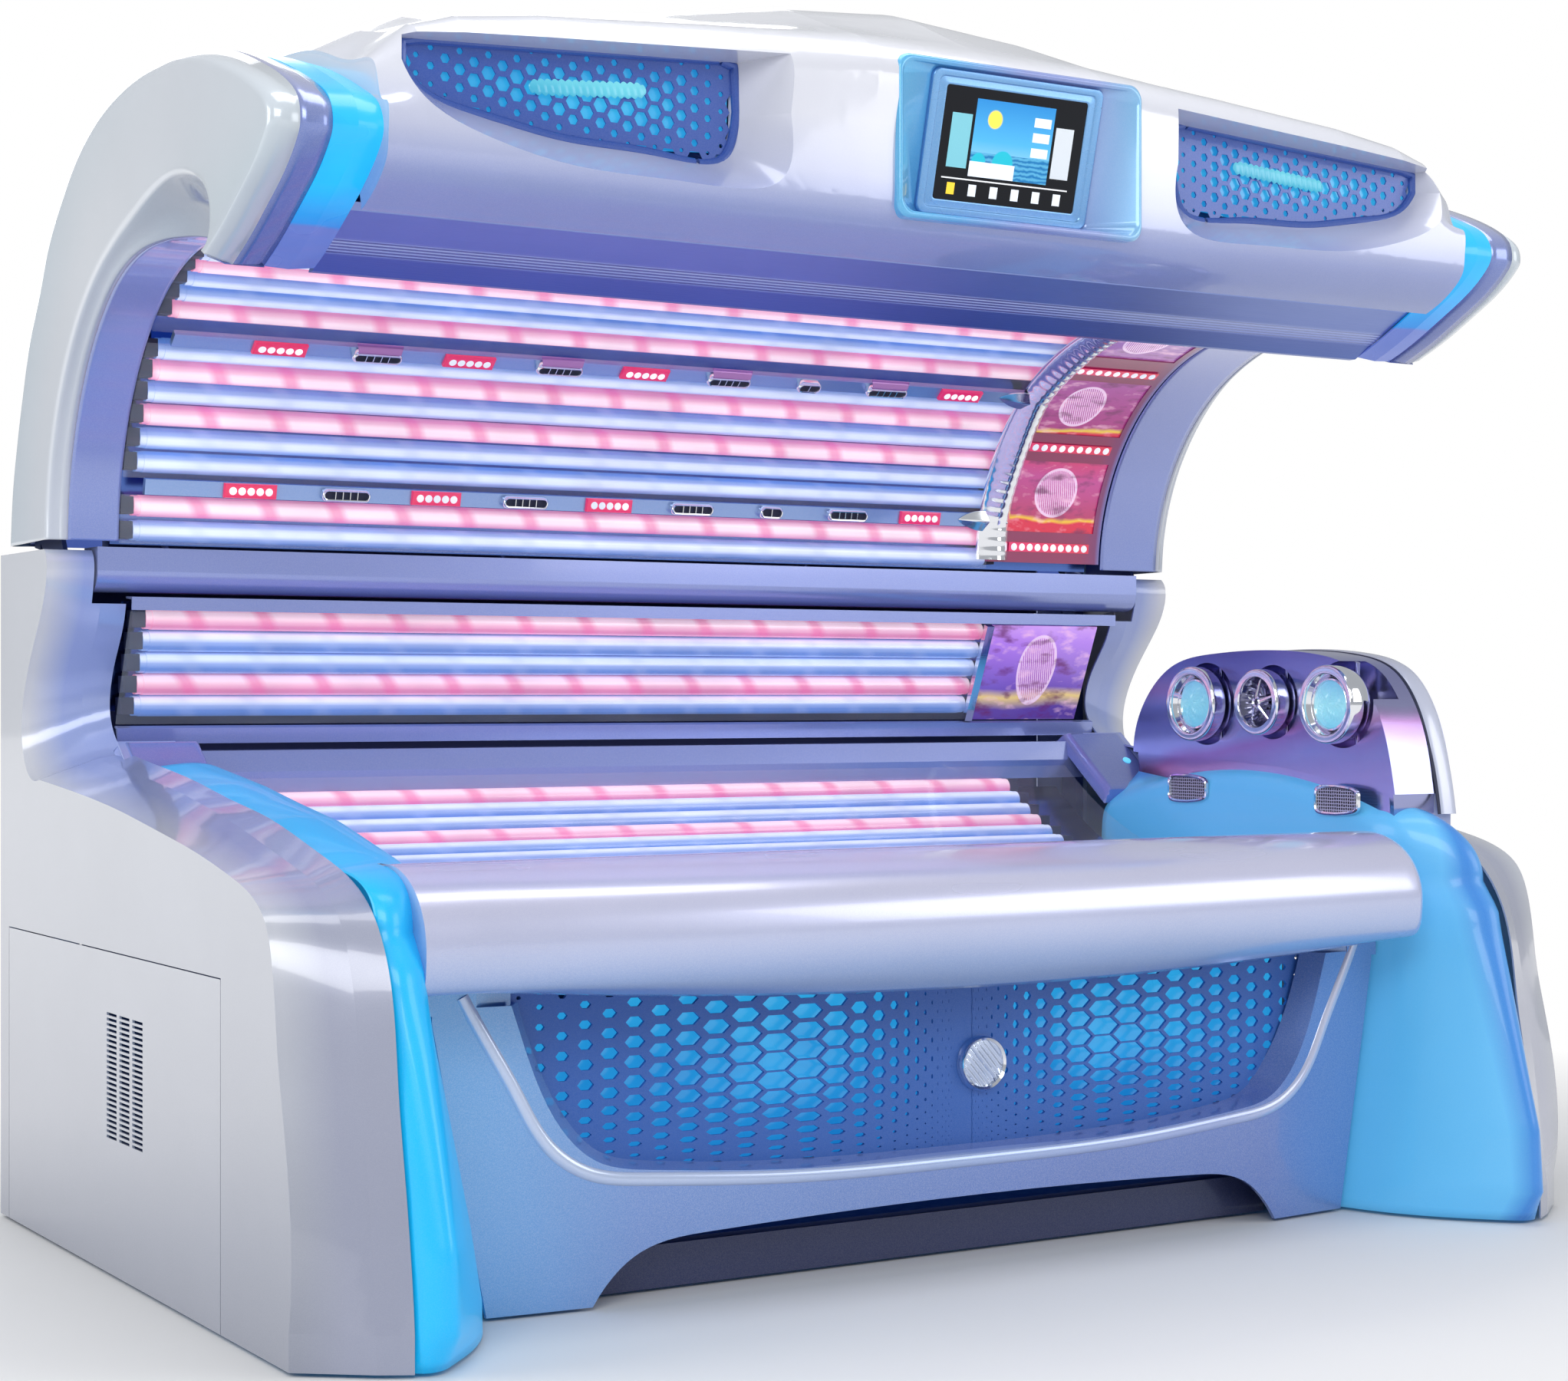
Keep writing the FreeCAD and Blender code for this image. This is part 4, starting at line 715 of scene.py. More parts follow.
@dataclass(frozen=True)
class ShellLacquer(Lacquer):
    """Canopy pearl: in front the colours run with height, blue at the bottom, partly the metallic lower band and partly
    painted blue light; plain white over the back.
    """

    def body(self, board: Board) -> Wire:
        """Behind the visor the fade gives way to white."""
        y = board.split(board.at())[1]
        return board.mix(board.fit(y, -0.30, 0.0), tone(board, self.colour), (0.72, 0.74, 0.82))


@dataclass(frozen=True)
class EndLacquer(Lacquer):
    """End panel lacquer: pale outer face, painted shade as grey on the lower front corner, lilac on the column's inner
    side.
    """

    def body(self, board: Board) -> Wire:
        """How far a point lies inside the outer face sets the mix."""
        x, _, z = board.split(board.at())
        within = board.fit(board.math("ABSOLUTE", x), 1.222, 1.165, 0.0, 0.9)
        # Below z 0.62 the rounded front is grey as painted shade; above 0.86 it is the column's lilac.
        inside = board.mix(board.fit(z, 0.62, 0.86), (0.36, 0.38, 0.50), (0.30, 0.39, 0.76))
        return board.mix(within, tone(board, self.colour), inside)


@dataclass(frozen=True)
class LitStrip(Finish):
    """A lit translucent strip: its colour runs along an axis, mottled by the light behind it."""

    colour: Fade
    strength: float = 0.9

    def paint(self, board: Board) -> None:
        """Emission in the run of colours over a darker base."""
        colour = tone(board, self.colour)
        blotch = board.fit(board.noise(board.at(), 7.0), 0.3, 0.75)
        shade = board.mix(blotch, board.mix(1.0, colour, (0.55, 0.72, 0.85), "MULTIPLY"), colour)
        board.shade(Base_Color=board.mix(0.6, shade, (0.0, 0.02, 0.06)), Coat_Weight=0.2)
        board.shade(Roughness=board.fit(blotch, 0.0, 1.0, 0.2, 0.32))
        board.emit(shade, self.strength)


@dataclass(frozen=True)
class Metal(Finish):
    """Bare or plated metal: polished, brushed along X, or grooved across Y inside a band."""

    colour: Colour | Fade
    roughness: float
    brushed: float = 0.0
    grooves: float = 0.0
    band: tuple[float, float] = (0.0, 0.0)

    def paint(self, board: Board) -> None:
        """Metal with grain stretched along X; grooves are waves with their pitch along Y."""
        place = board.at()
        lines = board.noise(board.vector("MULTIPLY", place, (1.5, 60.0, 60.0)), 6.0, 3.0)
        smudge, mottle = board.group(EFFECTS.handled, Place=place, Scale=4.0)
        body = tone(board, self.colour)
        dark = board.mix(1.0, body, (0.86, 0.87, 0.9), "MULTIPLY")
        rough = self.roughness + lines * (0.04 + self.brushed * 0.25) + smudge * 0.06
        board.shade(Base_Color=board.mix(mottle, dark, body), Metallic=1.0, Roughness=rough)
        height, strength = lines, 0.05 + self.brushed * 0.3
        if self.grooves > 0.0:
            y = board.split(place)[1]
            wave = board.math("SINE", y * (2.0 * math.pi / self.grooves))
            height, strength = lines + wave * board.inside(y, *self.band) * 3.0, 0.6
        board.bump(height, strength, 0.0006)


@dataclass(frozen=True)
class Tube(Finish):
    """A coated fluorescent tube seen lit: a painted highlight as a pale core where it faces the tunnel, deep colour at
    its edges.
    """

    centre: float
    strength: float
    # The pale core colour is a painted highlight.
    core: Colour = (0.72, 0.81, 1.0)
    edge: Colour = (0.10, 0.23, 0.60)
    core_at: float = 0.985
    core_share: float = 0.28
    mark: Colour = (0.379, 0.491, 0.78)
    marked: float = 0.22

    def paint(self, board: Board) -> None:
        """How far a point faces the tunnel is its normal times the direction to the line at the centre's height."""
        place, normal = board.at(), board.at("Normal")
        x, y, z = board.split(place)
        inward = board.vector("NORMALIZE", board.join(0.0, 0.0 - y, self.centre - z))
        facing = board.vector("DOT_PRODUCT", normal, inward)
        middle = (self.core_share * a + (1.0 - self.core_share) * b for a, b in zip(self.core, self.edge))
        # Painted highlight where the tube faces the tunnel, deep colour towards its edges.
        stops = ((0.0, *self.edge), (0.45, *self.edge), (0.82, *middle), (self.core_at, *self.core))
        _, ny, nz = board.split(normal)
        turn = board.math("ARCTAN2", ny, nz) / (2.0 * math.pi)
        marks = board.group(EFFECTS.swirl, Along=x, Round=turn, Pitch=0.13)[0]
        colour = board.mix(marks * self.marked, board.ramp(facing, stops), self.mark)
        cloud = board.fit(board.noise(place, 9.0), 0.3, 0.7, 0.86, 1.0)
        shade = board.mix(1.0, colour, board.join(cloud, cloud, cloud), "MULTIPLY")
        board.shade(Base_Color=shade, Roughness=0.12, Coat_Weight=0.5)
        board.emit(shade, self.strength)


@dataclass(frozen=True)
class Clear(Finish):
    """Clear acrylic sheet that lets lamps and lights show through, with a gloss surface."""

    tint: Colour = (0.85, 0.92, 1.0)
    veil: float = 0.05

    def paint(self, board: Board) -> None:
        """Mostly see-through by alpha; the sheet shows by its gloss and a faint tint."""
        smudge = board.group(EFFECTS.handled, Place=board.at(), Scale=5.0)[0]
        board.shade(Base_Color=self.tint, Alpha=self.veil + smudge * 0.05)
        board.shade(Roughness=board.fit(smudge, 0.0, 1.0, 0.03, 0.09), Coat_Weight=1.0, Coat_Roughness=0.02)


@dataclass(frozen=True)
class FilterGlass(Finish):
    """Violet filter glass of the face lamps: bands of purple, red and yellow light with hatched round lamps."""

    discs: tuple[tuple[float, float, float], ...]
    stops: tuple[Stop, ...]
    low: float
    high: float

    def paint(self, board: Board) -> None:
        """Bands run with the angle round the tunnel; each disc lies at (x, angle in degrees, radius)."""
        place = board.at()
        x, y, z = board.split(place)
        angle = board.math("DEGREES", board.math("ARCTAN2", z - TUNNEL_Z, y))
        waver = (board.noise(place, 5.0, 3.0) - 0.5) * 0.12
        colour = board.ramp(board.fit(angle, self.low, self.high) + waver, self.stops)
        for across, at, radius in self.discs:
            off = (angle - at) * (math.radians(1.0) * TUNNEL_RADIUS)
            disc, line = board.group(EFFECTS.hatch, Across=x - across, Up=off, Radius=radius)
            colour = board.mix(disc * 0.55, colour, (0.52, 0.16, 0.44))
            colour = board.mix(line * 0.65, colour, (0.95, 0.76, 0.92))
        # Bright pink streaks are painted reflections of lamps; other streaks darken the glass.
        streak = board.noise(board.vector("MULTIPLY", place, (9.0, 30.0, 16.0)), 2.0, 3.0)
        colour = board.mix(board.fit(streak, 0.56, 0.74, 0.0, 0.55), colour, (1.0, 0.62, 0.74))
        colour = board.mix(board.fit(streak, 0.46, 0.30, 0.0, 0.75), colour, (0.12, 0.01, 0.08))
        rough = board.fit(board.noise(place, 30.0), 0.0, 1.0, 0.04, 0.14)
        board.shade(Base_Color=colour, Roughness=rough, Coat_Weight=0.6)
        board.emit(colour, 0.55)


@dataclass(frozen=True)
class Screen(Finish):
    """Black display glass with a lit generic picture: a sun over the sea, two domes and plain squares."""

    centre: tuple[float, float] = (0.06, 1.835)
    size: tuple[float, float] = (0.284, 0.184)

    def paint(self, board: Board) -> None:
        """The picture is drawn from X and Z across the glass."""
        place = board.at()
        x, _, z = board.split(place)
        u, v = (x - self.centre[0]) / self.size[0], (z - self.centre[1]) / self.size[1]

        def window(u0: float, u1: float, v0: float, v1: float) -> Wire:
            """1 inside the rectangle u0..u1, v0..v1 and 0 outside it."""
            return board.inside(u, u0, u1) * board.inside(v, v0, v1)

        pale = (0.80, 0.84, 0.88)
        blues = ((0.0, 0.45, 0.72, 0.88), (0.5, 0.08, 0.42, 0.75), (1.0, 0.02, 0.22, 0.58))
        sky = board.ramp(board.fit(v, -0.35, 0.45), blues)
        waves = board.math("SINE", v * 150.0 + board.noise(place, 60.0) * 9.0)
        sea = board.mix(board.fit(waves, -1.0, 1.0), (0.01, 0.16, 0.40), (0.10, 0.40, 0.62))
        scene = board.mix(v < -0.05, sky, sea)
        sun = board.fit(board.length(u + 0.14, (v - 0.24) * 0.65), 0.045, 0.055, 1.0, 0.0)
        scene = board.mix(sun * (v > -0.05), scene, (1.0, 0.78, 0.10))
        scene = board.mix(window(-0.30, 0.04, -0.30, -0.13), scene, (0.78, 0.84, 0.92))
        for at, width in ((-0.22, 0.045), (-0.05, 0.07)):
            span = board.length(u - at, (v + 0.13) * 0.65)
            dome = board.fit(span, width, width + 0.008, 1.0, 0.0) * (v > -0.13)
            scene = board.mix(dome, scene, (0.02, 0.48, 0.60))
        colour = board.mix(window(-0.28, 0.28, -0.26, 0.40), (0.004, 0.005, 0.008), scene)
        for low, high in ((0.22, 0.30), (0.09, 0.17), (-0.04, 0.04)):
            colour = board.mix(window(0.14, 0.26, low, high), colour, pale)
        colour = board.mix(window(-0.44, -0.30, -0.20, 0.26), colour, (0.20, 0.52, 0.60))
        colour = board.mix(window(0.30, 0.43, -0.20, 0.24), colour, (0.62, 0.66, 0.70))
        colour = board.mix(window(-0.46, 0.44, -0.298, -0.286), colour, (0.8, 0.8, 0.8))
        cell = board.math("FRACT", (u + 0.46) * 6.6)
        icons = board.inside(cell, 0.30, 0.66) * window(-0.46, 0.43, -0.43, -0.33)
        colour = board.mix(icons, colour, board.mix(u < -0.32, pale, (1.0, 0.66, 0.05)))
        rough = board.fit(board.noise(place, 25.0), 0.0, 1.0, 0.06, 0.12)
        board.shade(Base_Color=colour, Roughness=rough, Specular_IOR_Level=0.22)
        board.emit(colour, 0.45)


@dataclass(frozen=True)
class ConsoleFace(Finish):
    """The head console: bright plated face on its inner side with painted reflection bands, lacquered behind a line."""

    line: float = 1.076
    cover: Colour = (0.46, 0.50, 0.72)
    # Painted reflection bands on the plating, dark violet at the top.
    plate: tuple[Stop, ...] = (
        (0.0, 0.40, 0.42, 0.70), (0.25, 0.42, 0.24, 0.50), (0.36, 0.40, 0.40, 0.66),
        (0.7, 0.26, 0.28, 0.56), (1.0, 0.14, 0.14, 0.36),
    )

    def paint(self, board: Board) -> None:
        """X past the line is lacquer; before it the plating carries soft bands across its height, which are painted
        reflections.
        """
        place = board.at()
        x, y, z = board.split(place)
        plated = x < self.line
        bend = z + (board.noise(place, 3.0, 1.0) - 0.5) * 0.14 + y * 0.16
        painted_reflection_bands = board.ramp(board.fit(bend, 0.76, 1.02), self.plate)
        smudge = board.group(EFFECTS.handled, Place=place, Scale=5.0)[0]
        board.shade(Base_Color=board.mix(plated, self.cover, painted_reflection_bands), Metallic=plated * 0.95)
        board.shade(Roughness=board.fit(smudge, 0.0, 1.0, 0.17, 0.25), Coat_Weight=0.1)


@dataclass(frozen=True)
class Mesh(Finish):
    """Pressed mesh over a dark hollow, as on the speakers."""

    colour: Colour = (0.62, 0.66, 0.74)
    pitch: float = 0.006

    def paint(self, board: Board) -> None:
        """Cells of a Voronoi pattern: dark inside, metal along their borders."""
        cells = board.place("ShaderNodeTexVoronoi", board.at(), output="Distance", feature="DISTANCE_TO_EDGE")
        for key, value in (("Scale", 1.0 / self.pitch), ("Randomness", 0.15)):
            board.put(value, cells.socket.node.inputs[key])
        wire = board.fit(cells, 0.10, 0.16, 1.0, 0.0)
        board.shade(Base_Color=board.mix(wire, (0.012, 0.014, 0.022), self.colour), Metallic=wire * 0.9,
            Roughness=0.35)
        board.bump(wire, 0.8, 0.0008)


CAP_RUN = Fade(Axis.Z, 1.56, 1.92, ((0.0, 0.10, 0.14, 0.44), (0.185, 0.12, 0.17, 0.50), (0.195, 0.01, 0.24, 0.66),
    (0.32, 0.0, 0.46, 0.88), (0.8, 0.04, 0.52, 0.80), (1.0, 0.18, 0.62, 0.84)))

PINK_MARK = (0.82, 0.10, 0.32)


class Palette:
    """Every finish of the bed, by the maker's name for it."""

    # The end panels and the service doors darken towards the floor: painted shade.
    end_shell = EndLacquer("end_shell_grey", "shell_white", Fade(Axis.Z, 0.0, 1.1, ((0.0, 0.30, 0.32, 0.40),
        (0.5, 0.55, 0.57, 0.64), (1.0, 0.70, 0.72, 0.78))), 0.22, 0.08, 0.8, 0.03)
    door = Lacquer("service_door_grey", "shell_white", Fade(Axis.Z, 0.0, 1.1, ((0.0, 0.32, 0.34, 0.42),
        (0.5, 0.57, 0.59, 0.66), (1.0, 0.70, 0.72, 0.78))), 0.22, 0.08, 0.8, 0.03)
    cap_shell = CapLacquer("cap_shell_grey", "shell_white", None, 0.20, 0.08, 0.8, 0.03)
    cap_band = Lacquer("cap_band_lilac", "shell_white", Fade(Axis.Z, 1.56, 1.92, ((0.0, 0.08, 0.13, 0.46),
        (0.5, 0.20, 0.27, 0.62), (0.85, 0.52, 0.54, 0.76), (1.0, 0.66, 0.68, 0.78))), 0.22, 0.4, 0.7, 0.08)
    liner = Lacquer("cap_liner_lilac", "soft_silver", Fade(Axis.Z, 1.2, 1.68, ((0.0, 0.24, 0.32, 0.70),
        (1.0, 0.40, 0.46, 0.80))), 0.22, 0.4, 0.7, 0.08)
    cowl = Lacquer("console_cowl_white", "pearl_white", (0.64, 0.67, 0.82), 0.22, 0.15, 0.7, 0.05)
    # Towards the bottom the pearl turns blue: partly the metallic lower band, partly painted blue light.
    pearl = ShellLacquer("pearl_lacquer", "pearl_white", Fade(Axis.Z, 1.62, 2.12, ((0.0, 0.22, 0.30, 0.64),
        (0.16, 0.34, 0.40, 0.72), (0.28, 0.60, 0.63, 0.82), (0.45, 0.78, 0.79, 0.88), (1.0, 0.84, 0.84, 0.88))),
        0.20, 0.10, 0.8, 0.05)
    # Lilac on top, blue underneath: painted light from above and painted blue glow from below.
    bumper = Lacquer("bumper_silver", "soft_silver", Fade(Axis.Z, 0.46, 0.69, ((0.0, 0.22, 0.38, 0.72),
        (0.25, 0.36, 0.48, 0.78), (0.55, 0.60, 0.63, 0.86), (0.8, 0.68, 0.68, 0.88), (1.0, 0.66, 0.68, 0.88))), 0.24,
        0.35, 0.7, 0.12)
    rails = Lacquer("rail_lilac", "soft_silver", (0.28, 0.44, 0.78), 0.16, 0.4, 0.8, 0.08)
    lilac = Lacquer("lilac_silver_paint", "lilac_silver", (0.30, 0.37, 0.72), 0.22, 0.45, 0.6, 0.08)
    glow_panel = Lacquer("glow_panel_blue", "glow_blue", Fade(Axis.X, -1.09, 1.09, ((0.0, 0.0, 0.46, 0.86),
        (0.03, 0.0, 0.42, 0.84), (0.935, 0.10, 0.46, 0.80), (0.965, 0.12, 0.48, 0.82), (0.978, 0.03, 0.20, 0.60),
        (1.0, 0.10, 0.36, 0.72))), 0.34, 0.0, 0.25, 0.02, dust=0.0, glow=0.30)
    # Lighter and bluer towards both ends: painted light on the curved ends.
    fascia = Lacquer("fascia_blue_lacquer", "fascia_blue", Fade(Axis.X, -0.95, 0.95, ((0.0, 0.16, 0.46, 0.82),
        (0.18, 0.19, 0.33, 0.70), (0.6, 0.15, 0.24, 0.60), (0.85, 0.12, 0.21, 0.56), (1.0, 0.18, 0.36, 0.72))), 0.2,
        0.25, 0.8, 0.12)
    # The grille plate glows faintly though it is no lamp: painted light.
    grille = Lacquer("grille_deep_blue", "grille_blue", (0.025, 0.12, 0.46), 0.4, 0.1, 0.15, 0.03, dust=0.0,
        glow=0.05)
    kick = Lacquer("kick_navy_paint", "kick_navy", (0.035, 0.045, 0.13), 0.35, 0.2, 0.3, 0.04)
    black = Lacquer("black_moulding", "black_plastic", (0.008, 0.012, 0.05), 0.5, ripple=0.15, dust=0.02)
    steel = Lacquer("blue_powder_coat", "dark_steel", (0.055, 0.085, 0.26), 0.5, ripple=0.3, dust=0.12)
    rubber = Lacquer("foot_rubber", "rubber_black", (0.015, 0.015, 0.015), 0.8, ripple=0.5, dust=0.5)
    bezel = Lacquer("bezel_blue_metal", "bezel_blue", (0.16, 0.40, 0.74), 0.25, 0.5, 0.5, 0.08, dust=0.0)
    # Cyan towards both sides with a faint glow: painted cyan light, as the recess is no lamp.
    recess = Lacquer("display_recess_blue", "bezel_blue", Fade(Axis.X, -0.19, 0.31, ((0.0, 0.12, 0.50, 0.84),
        (0.22, 0.10, 0.40, 0.78), (0.5, 0.26, 0.32, 0.68), (0.8, 0.30, 0.38, 0.72), (1.0, 0.22, 0.56, 0.86))), 0.22,
        0.15, 0.7, 0.05, dust=0.0, glow=0.06)
    zinc = Metal("zinc_plate", "zinc_steel", (0.62, 0.63, 0.66), 0.28, brushed=0.3)
    chrome = Metal("bright_chrome", "chrome", (0.86, 0.87, 0.90), 0.05)
    aluminium = Metal("ribbed_aluminium", "aluminium", Fade(Axis.Y, -0.446, -0.284, ((0.0, 0.27, 0.34, 0.66),
        (0.40, 0.24, 0.31, 0.64), (0.46, 0.38, 0.44, 0.74), (0.60, 0.30, 0.36, 0.70), (0.66, 0.14, 0.20, 0.52),
        (1.0, 0.11, 0.18, 0.50))), 0.28, brushed=0.4, grooves=0.0066, band=(-0.376, -0.343))
    mirror = Metal("lamp_reflector", "reflector", (0.10, 0.18, 0.50), 0.16)
    acrylic = Clear("clear_acrylic_sheet", "clear_acrylic")
    diffuser = LitStrip("front_diffuser_light", "diffuser", Fade(Axis.Z, 0.15, 0.5, ((0.0, 0.01, 0.22, 0.62),
        (1.0, 0.04, 0.50, 0.86))), 0.8)
    cap_strip = LitStrip("cap_strip_cyan", "glow_cyan", CAP_RUN, 0.9)
    lens = Lacquer("lens_black_glass", "black_glass", (0.01, 0.012, 0.02), 0.05, coat=1.0, ripple=0.0)
    lens_face = Metal("lens_ribbed_face", "black_glass", (0.62, 0.70, 0.88), 0.10, brushed=0.1)
    # Palest at both ends: painted highlights.
    lip = Lacquer("opening_lip_lilac", "fascia_blue", Fade(Axis.X, -0.9, 0.9, ((0.0, 0.66, 0.74, 0.92),
        (0.5, 0.42, 0.54, 0.86), (0.8, 0.40, 0.48, 0.80), (1.0, 0.72, 0.74, 0.88))), 0.2, 0.3, 0.7, 0.08)
    # The visor grille and its rim glow though they are no lamp: painted light.
    visor_grille = Lacquer("visor_grille_blue", "grille_blue", (0.03, 0.09, 0.40), 0.3, 0.1, 0.4, 0.03, dust=0.0,
        glow=0.12)
    visor_light = LitStrip("visor_back_light", "grille_blue", Fade(Axis.Z, 1.77, 1.93, ((0.0, 0.02, 0.34, 0.72),
        (0.5, 0.05, 0.50, 0.82), (1.0, 0.02, 0.28, 0.66))), 0.75)
    rib_lamp = LitStrip("ribbed_lamp_glass", "glow_cyan", Fade(Axis.Z, 1.84, 1.88, ((0.0, 0.04, 0.45, 0.62),
        (1.0, 0.25, 0.78, 0.82))), 0.75)
    led_dome = LitStrip("led_white_hot", "led_bar", Fade(Axis.X, -1.0, 1.1, ((0.0, 1.0, 0.82, 0.84), (1.0, 1.0, 0.86,
        0.84))), 1.1)
    # The flaps glow though they are no lamp: painted light.
    flap = Lacquer("nozzle_flap_plum", "chrome", (0.36, 0.14, 0.42), 0.12, 0.4, 0.9, dust=0.0, glow=0.15)
    pod_dark = Metal("pod_dark_bowl", "chrome", (0.20, 0.20, 0.30), 0.10)
    pod_glass = LitStrip("pod_lamp_glass", "chrome", Fade(Axis.Z, 0.87, 0.97, ((0.0, 0.22, 0.70, 0.88),
        (0.5, 0.42, 0.86, 0.92), (1.0, 0.25, 0.62, 0.85))), 0.6)
    console = ConsoleFace("console_plated_face", "shell_white")
    screen = Screen("display_picture", "black_glass")
    led_body = Lacquer("led_body_magenta", "led_bar", Fade(Axis.X, -0.9, 1.05, ((0.0, 0.72, 0.02, 0.10),
        (0.85, 0.72, 0.02, 0.14), (1.0, 0.66, 0.02, 0.06))), 0.2, coat=0.7, glow=0.55, dust=0.0)
    button = LitStrip("start_button_light", "button_cyan", Fade(Axis.Z, 0.7, 0.9, ((0.0, 0.02, 0.55, 0.9),
        (1.0, 0.3, 0.85, 1.0))), 0.9)
    speaker = Mesh("speaker_mesh", "black_plastic")
    bench_white = Tube("bench_tube_white", "lamp_white", 1.30, 0.58)
    bench_pink = Tube("bench_tube_pink", "lamp_tinted", 1.30, 0.62, (1.0, 0.70, 0.78), (0.74, 0.22, 0.40), 0.97, 0.5,
        PINK_MARK, 0.62)
    roof_white = Tube("canopy_tube_white", "lamp_white", TUNNEL_Z, 0.64)
    roof_pink = Tube("canopy_tube_pink", "lamp_tinted", TUNNEL_Z, 0.72, (1.0, 0.74, 0.80), (0.78, 0.24, 0.40), 0.97,
        0.5, PINK_MARK, 0.62)
    # The frame glows faintly though it is no lamp: painted light.
    face_frame = Lacquer("face_frame_ruby", "lilac_silver", Fade(Axis.X, 0.99, 1.06, ((0.0, 0.36, 0.03, 0.13),
        (0.55, 0.26, 0.04, 0.18), (0.75, 0.20, 0.24, 0.62), (1.0, 0.22, 0.30, 0.68))), 0.12, 0.1, 0.8, dust=0.0,
        mottle=0.2, glow=0.22)
    face_glass = FilterGlass(
        "face_filter_glass",
        "filter_glass",
        ((0.905, 21.5, 0.055), (0.885, 47.0, 0.055), (0.90, 75.0, 0.055)),
        ((0.0, 0.62, 0.01, 0.05), (0.045, 0.62, 0.01, 0.05), (0.05, 0.85, 0.55, 0.02), (0.062, 0.42, 0.03, 0.12),
            (0.20, 0.46, 0.05, 0.24), (0.34, 0.62, 0.02, 0.08), (0.385, 0.60, 0.02, 0.06), (0.392, 0.80, 0.60, 0.04),
            (0.405, 0.34, 0.03, 0.18), (0.60, 0.34, 0.06, 0.28), (0.70, 0.45, 0.04, 0.14), (0.708, 0.62, 0.55, 0.10),
            (0.72, 0.34, 0.10, 0.34), (0.9, 0.30, 0.14, 0.40), (1.0, 0.50, 0.05, 0.12)),
        10.0,
        85.0,
    )
    mid_glass = FilterGlass(
        "mid_filter_glass",
        "filter_glass",
        ((0.905, -21.0, 0.05),),
        ((0.0, 0.05, 0.02, 0.16), (0.3, 0.10, 0.05, 0.30), (0.38, 0.75, 0.55, 0.20), (0.44, 0.16, 0.08, 0.42),
            (0.8, 0.42, 0.20, 0.72), (1.0, 0.62, 0.34, 0.80)),
        -34.0,
        -12.0,
    )


# ---------------------------------------------------------------- pierced panels


def pierced_cells(
    columns: np.ndarray,
    rows: np.ndarray,
    place: Callable[[np.ndarray, np.ndarray], np.ndarray],
    size: Callable[[np.ndarray], np.ndarray],
    keep: Callable[[np.ndarray], np.ndarray],
    depth: float,
) -> tuple[np.ndarray, np.ndarray]:
    """A plate of six-sided cells, each pierced by a smaller six-sided hole with walls.

    Cell (i, j) has its centre at (i, j + half of i's oddness) in lattice steps and its
    corners at (+-2/3, 0) and (+-1/3, +-1/2); place() carries lattice points onto the
    plate, the hole's corners are the cell's drawn towards its centre by size(), and
    the walls run back from them by depth along +Y.

    Args:
        columns: Lattice columns.
        rows: Lattice rows.
        place: Maps lattice (u, v) arrays to points.
        size: Hole share for each cell centre, 0..1.
        keep: Mask of the cells that are kept.
        depth: Wall depth.

    Returns:
        Points (cells, 18, 3) and faces (cells * 12, 4).
    """
    i, j = np.meshgrid(columns, rows, indexing="ij")
    u, v = i.ravel().astype(float), (j + 0.5 * (np.abs(i) % 2)).ravel()
    centre = place(u, v)
    chosen = keep(centre)
    u, v, centre = u[chosen], v[chosen], centre[chosen]
    corner_u = np.array([2.0, 1.0, -1.0, -2.0, -1.0, 1.0]) / 3.0
    corner_v = np.array([0.0, 0.5, 0.5, 0.0, -0.5, -0.5])
    outer = place((u[:, None] + corner_u).ravel(), (v[:, None] + corner_v).ravel()).reshape(len(u), 6, 3)
    share = size(centre)[:, None, None]
    hole = centre[:, None] + (outer - centre[:, None]) * share
    back = hole + np.array([0.0, depth, 0.0])
    points = np.concatenate([outer, hole, back], axis=1)
    k = np.arange(6)
    n = (k + 1) % 6
    front = np.stack([k, n, 6 + n, 6 + k], axis=-1)
    wall = np.stack([6 + k, 6 + n, 12 + n, 12 + k], axis=-1)
    one = np.concatenate([front, wall])
    faces = (one[None] + 18 * np.arange(len(u))[:, None, None]).reshape(-1, 4)
    return points, faces


SKIRT_Y, SKIRT_BOW, SKIRT_HALF = -0.470, 0.050, 0.940


def skirt_front(x: np.ndarray) -> np.ndarray:
    """Y of the skirt's bowed face: SKIRT_Y - SKIRT_BOW (1 - (|x| / SKIRT_HALF)^2.2)."""
    return SKIRT_Y - SKIRT_BOW * (1.0 - np.minimum(np.abs(x) / SKIRT_HALF, 1.0) ** 2.2)


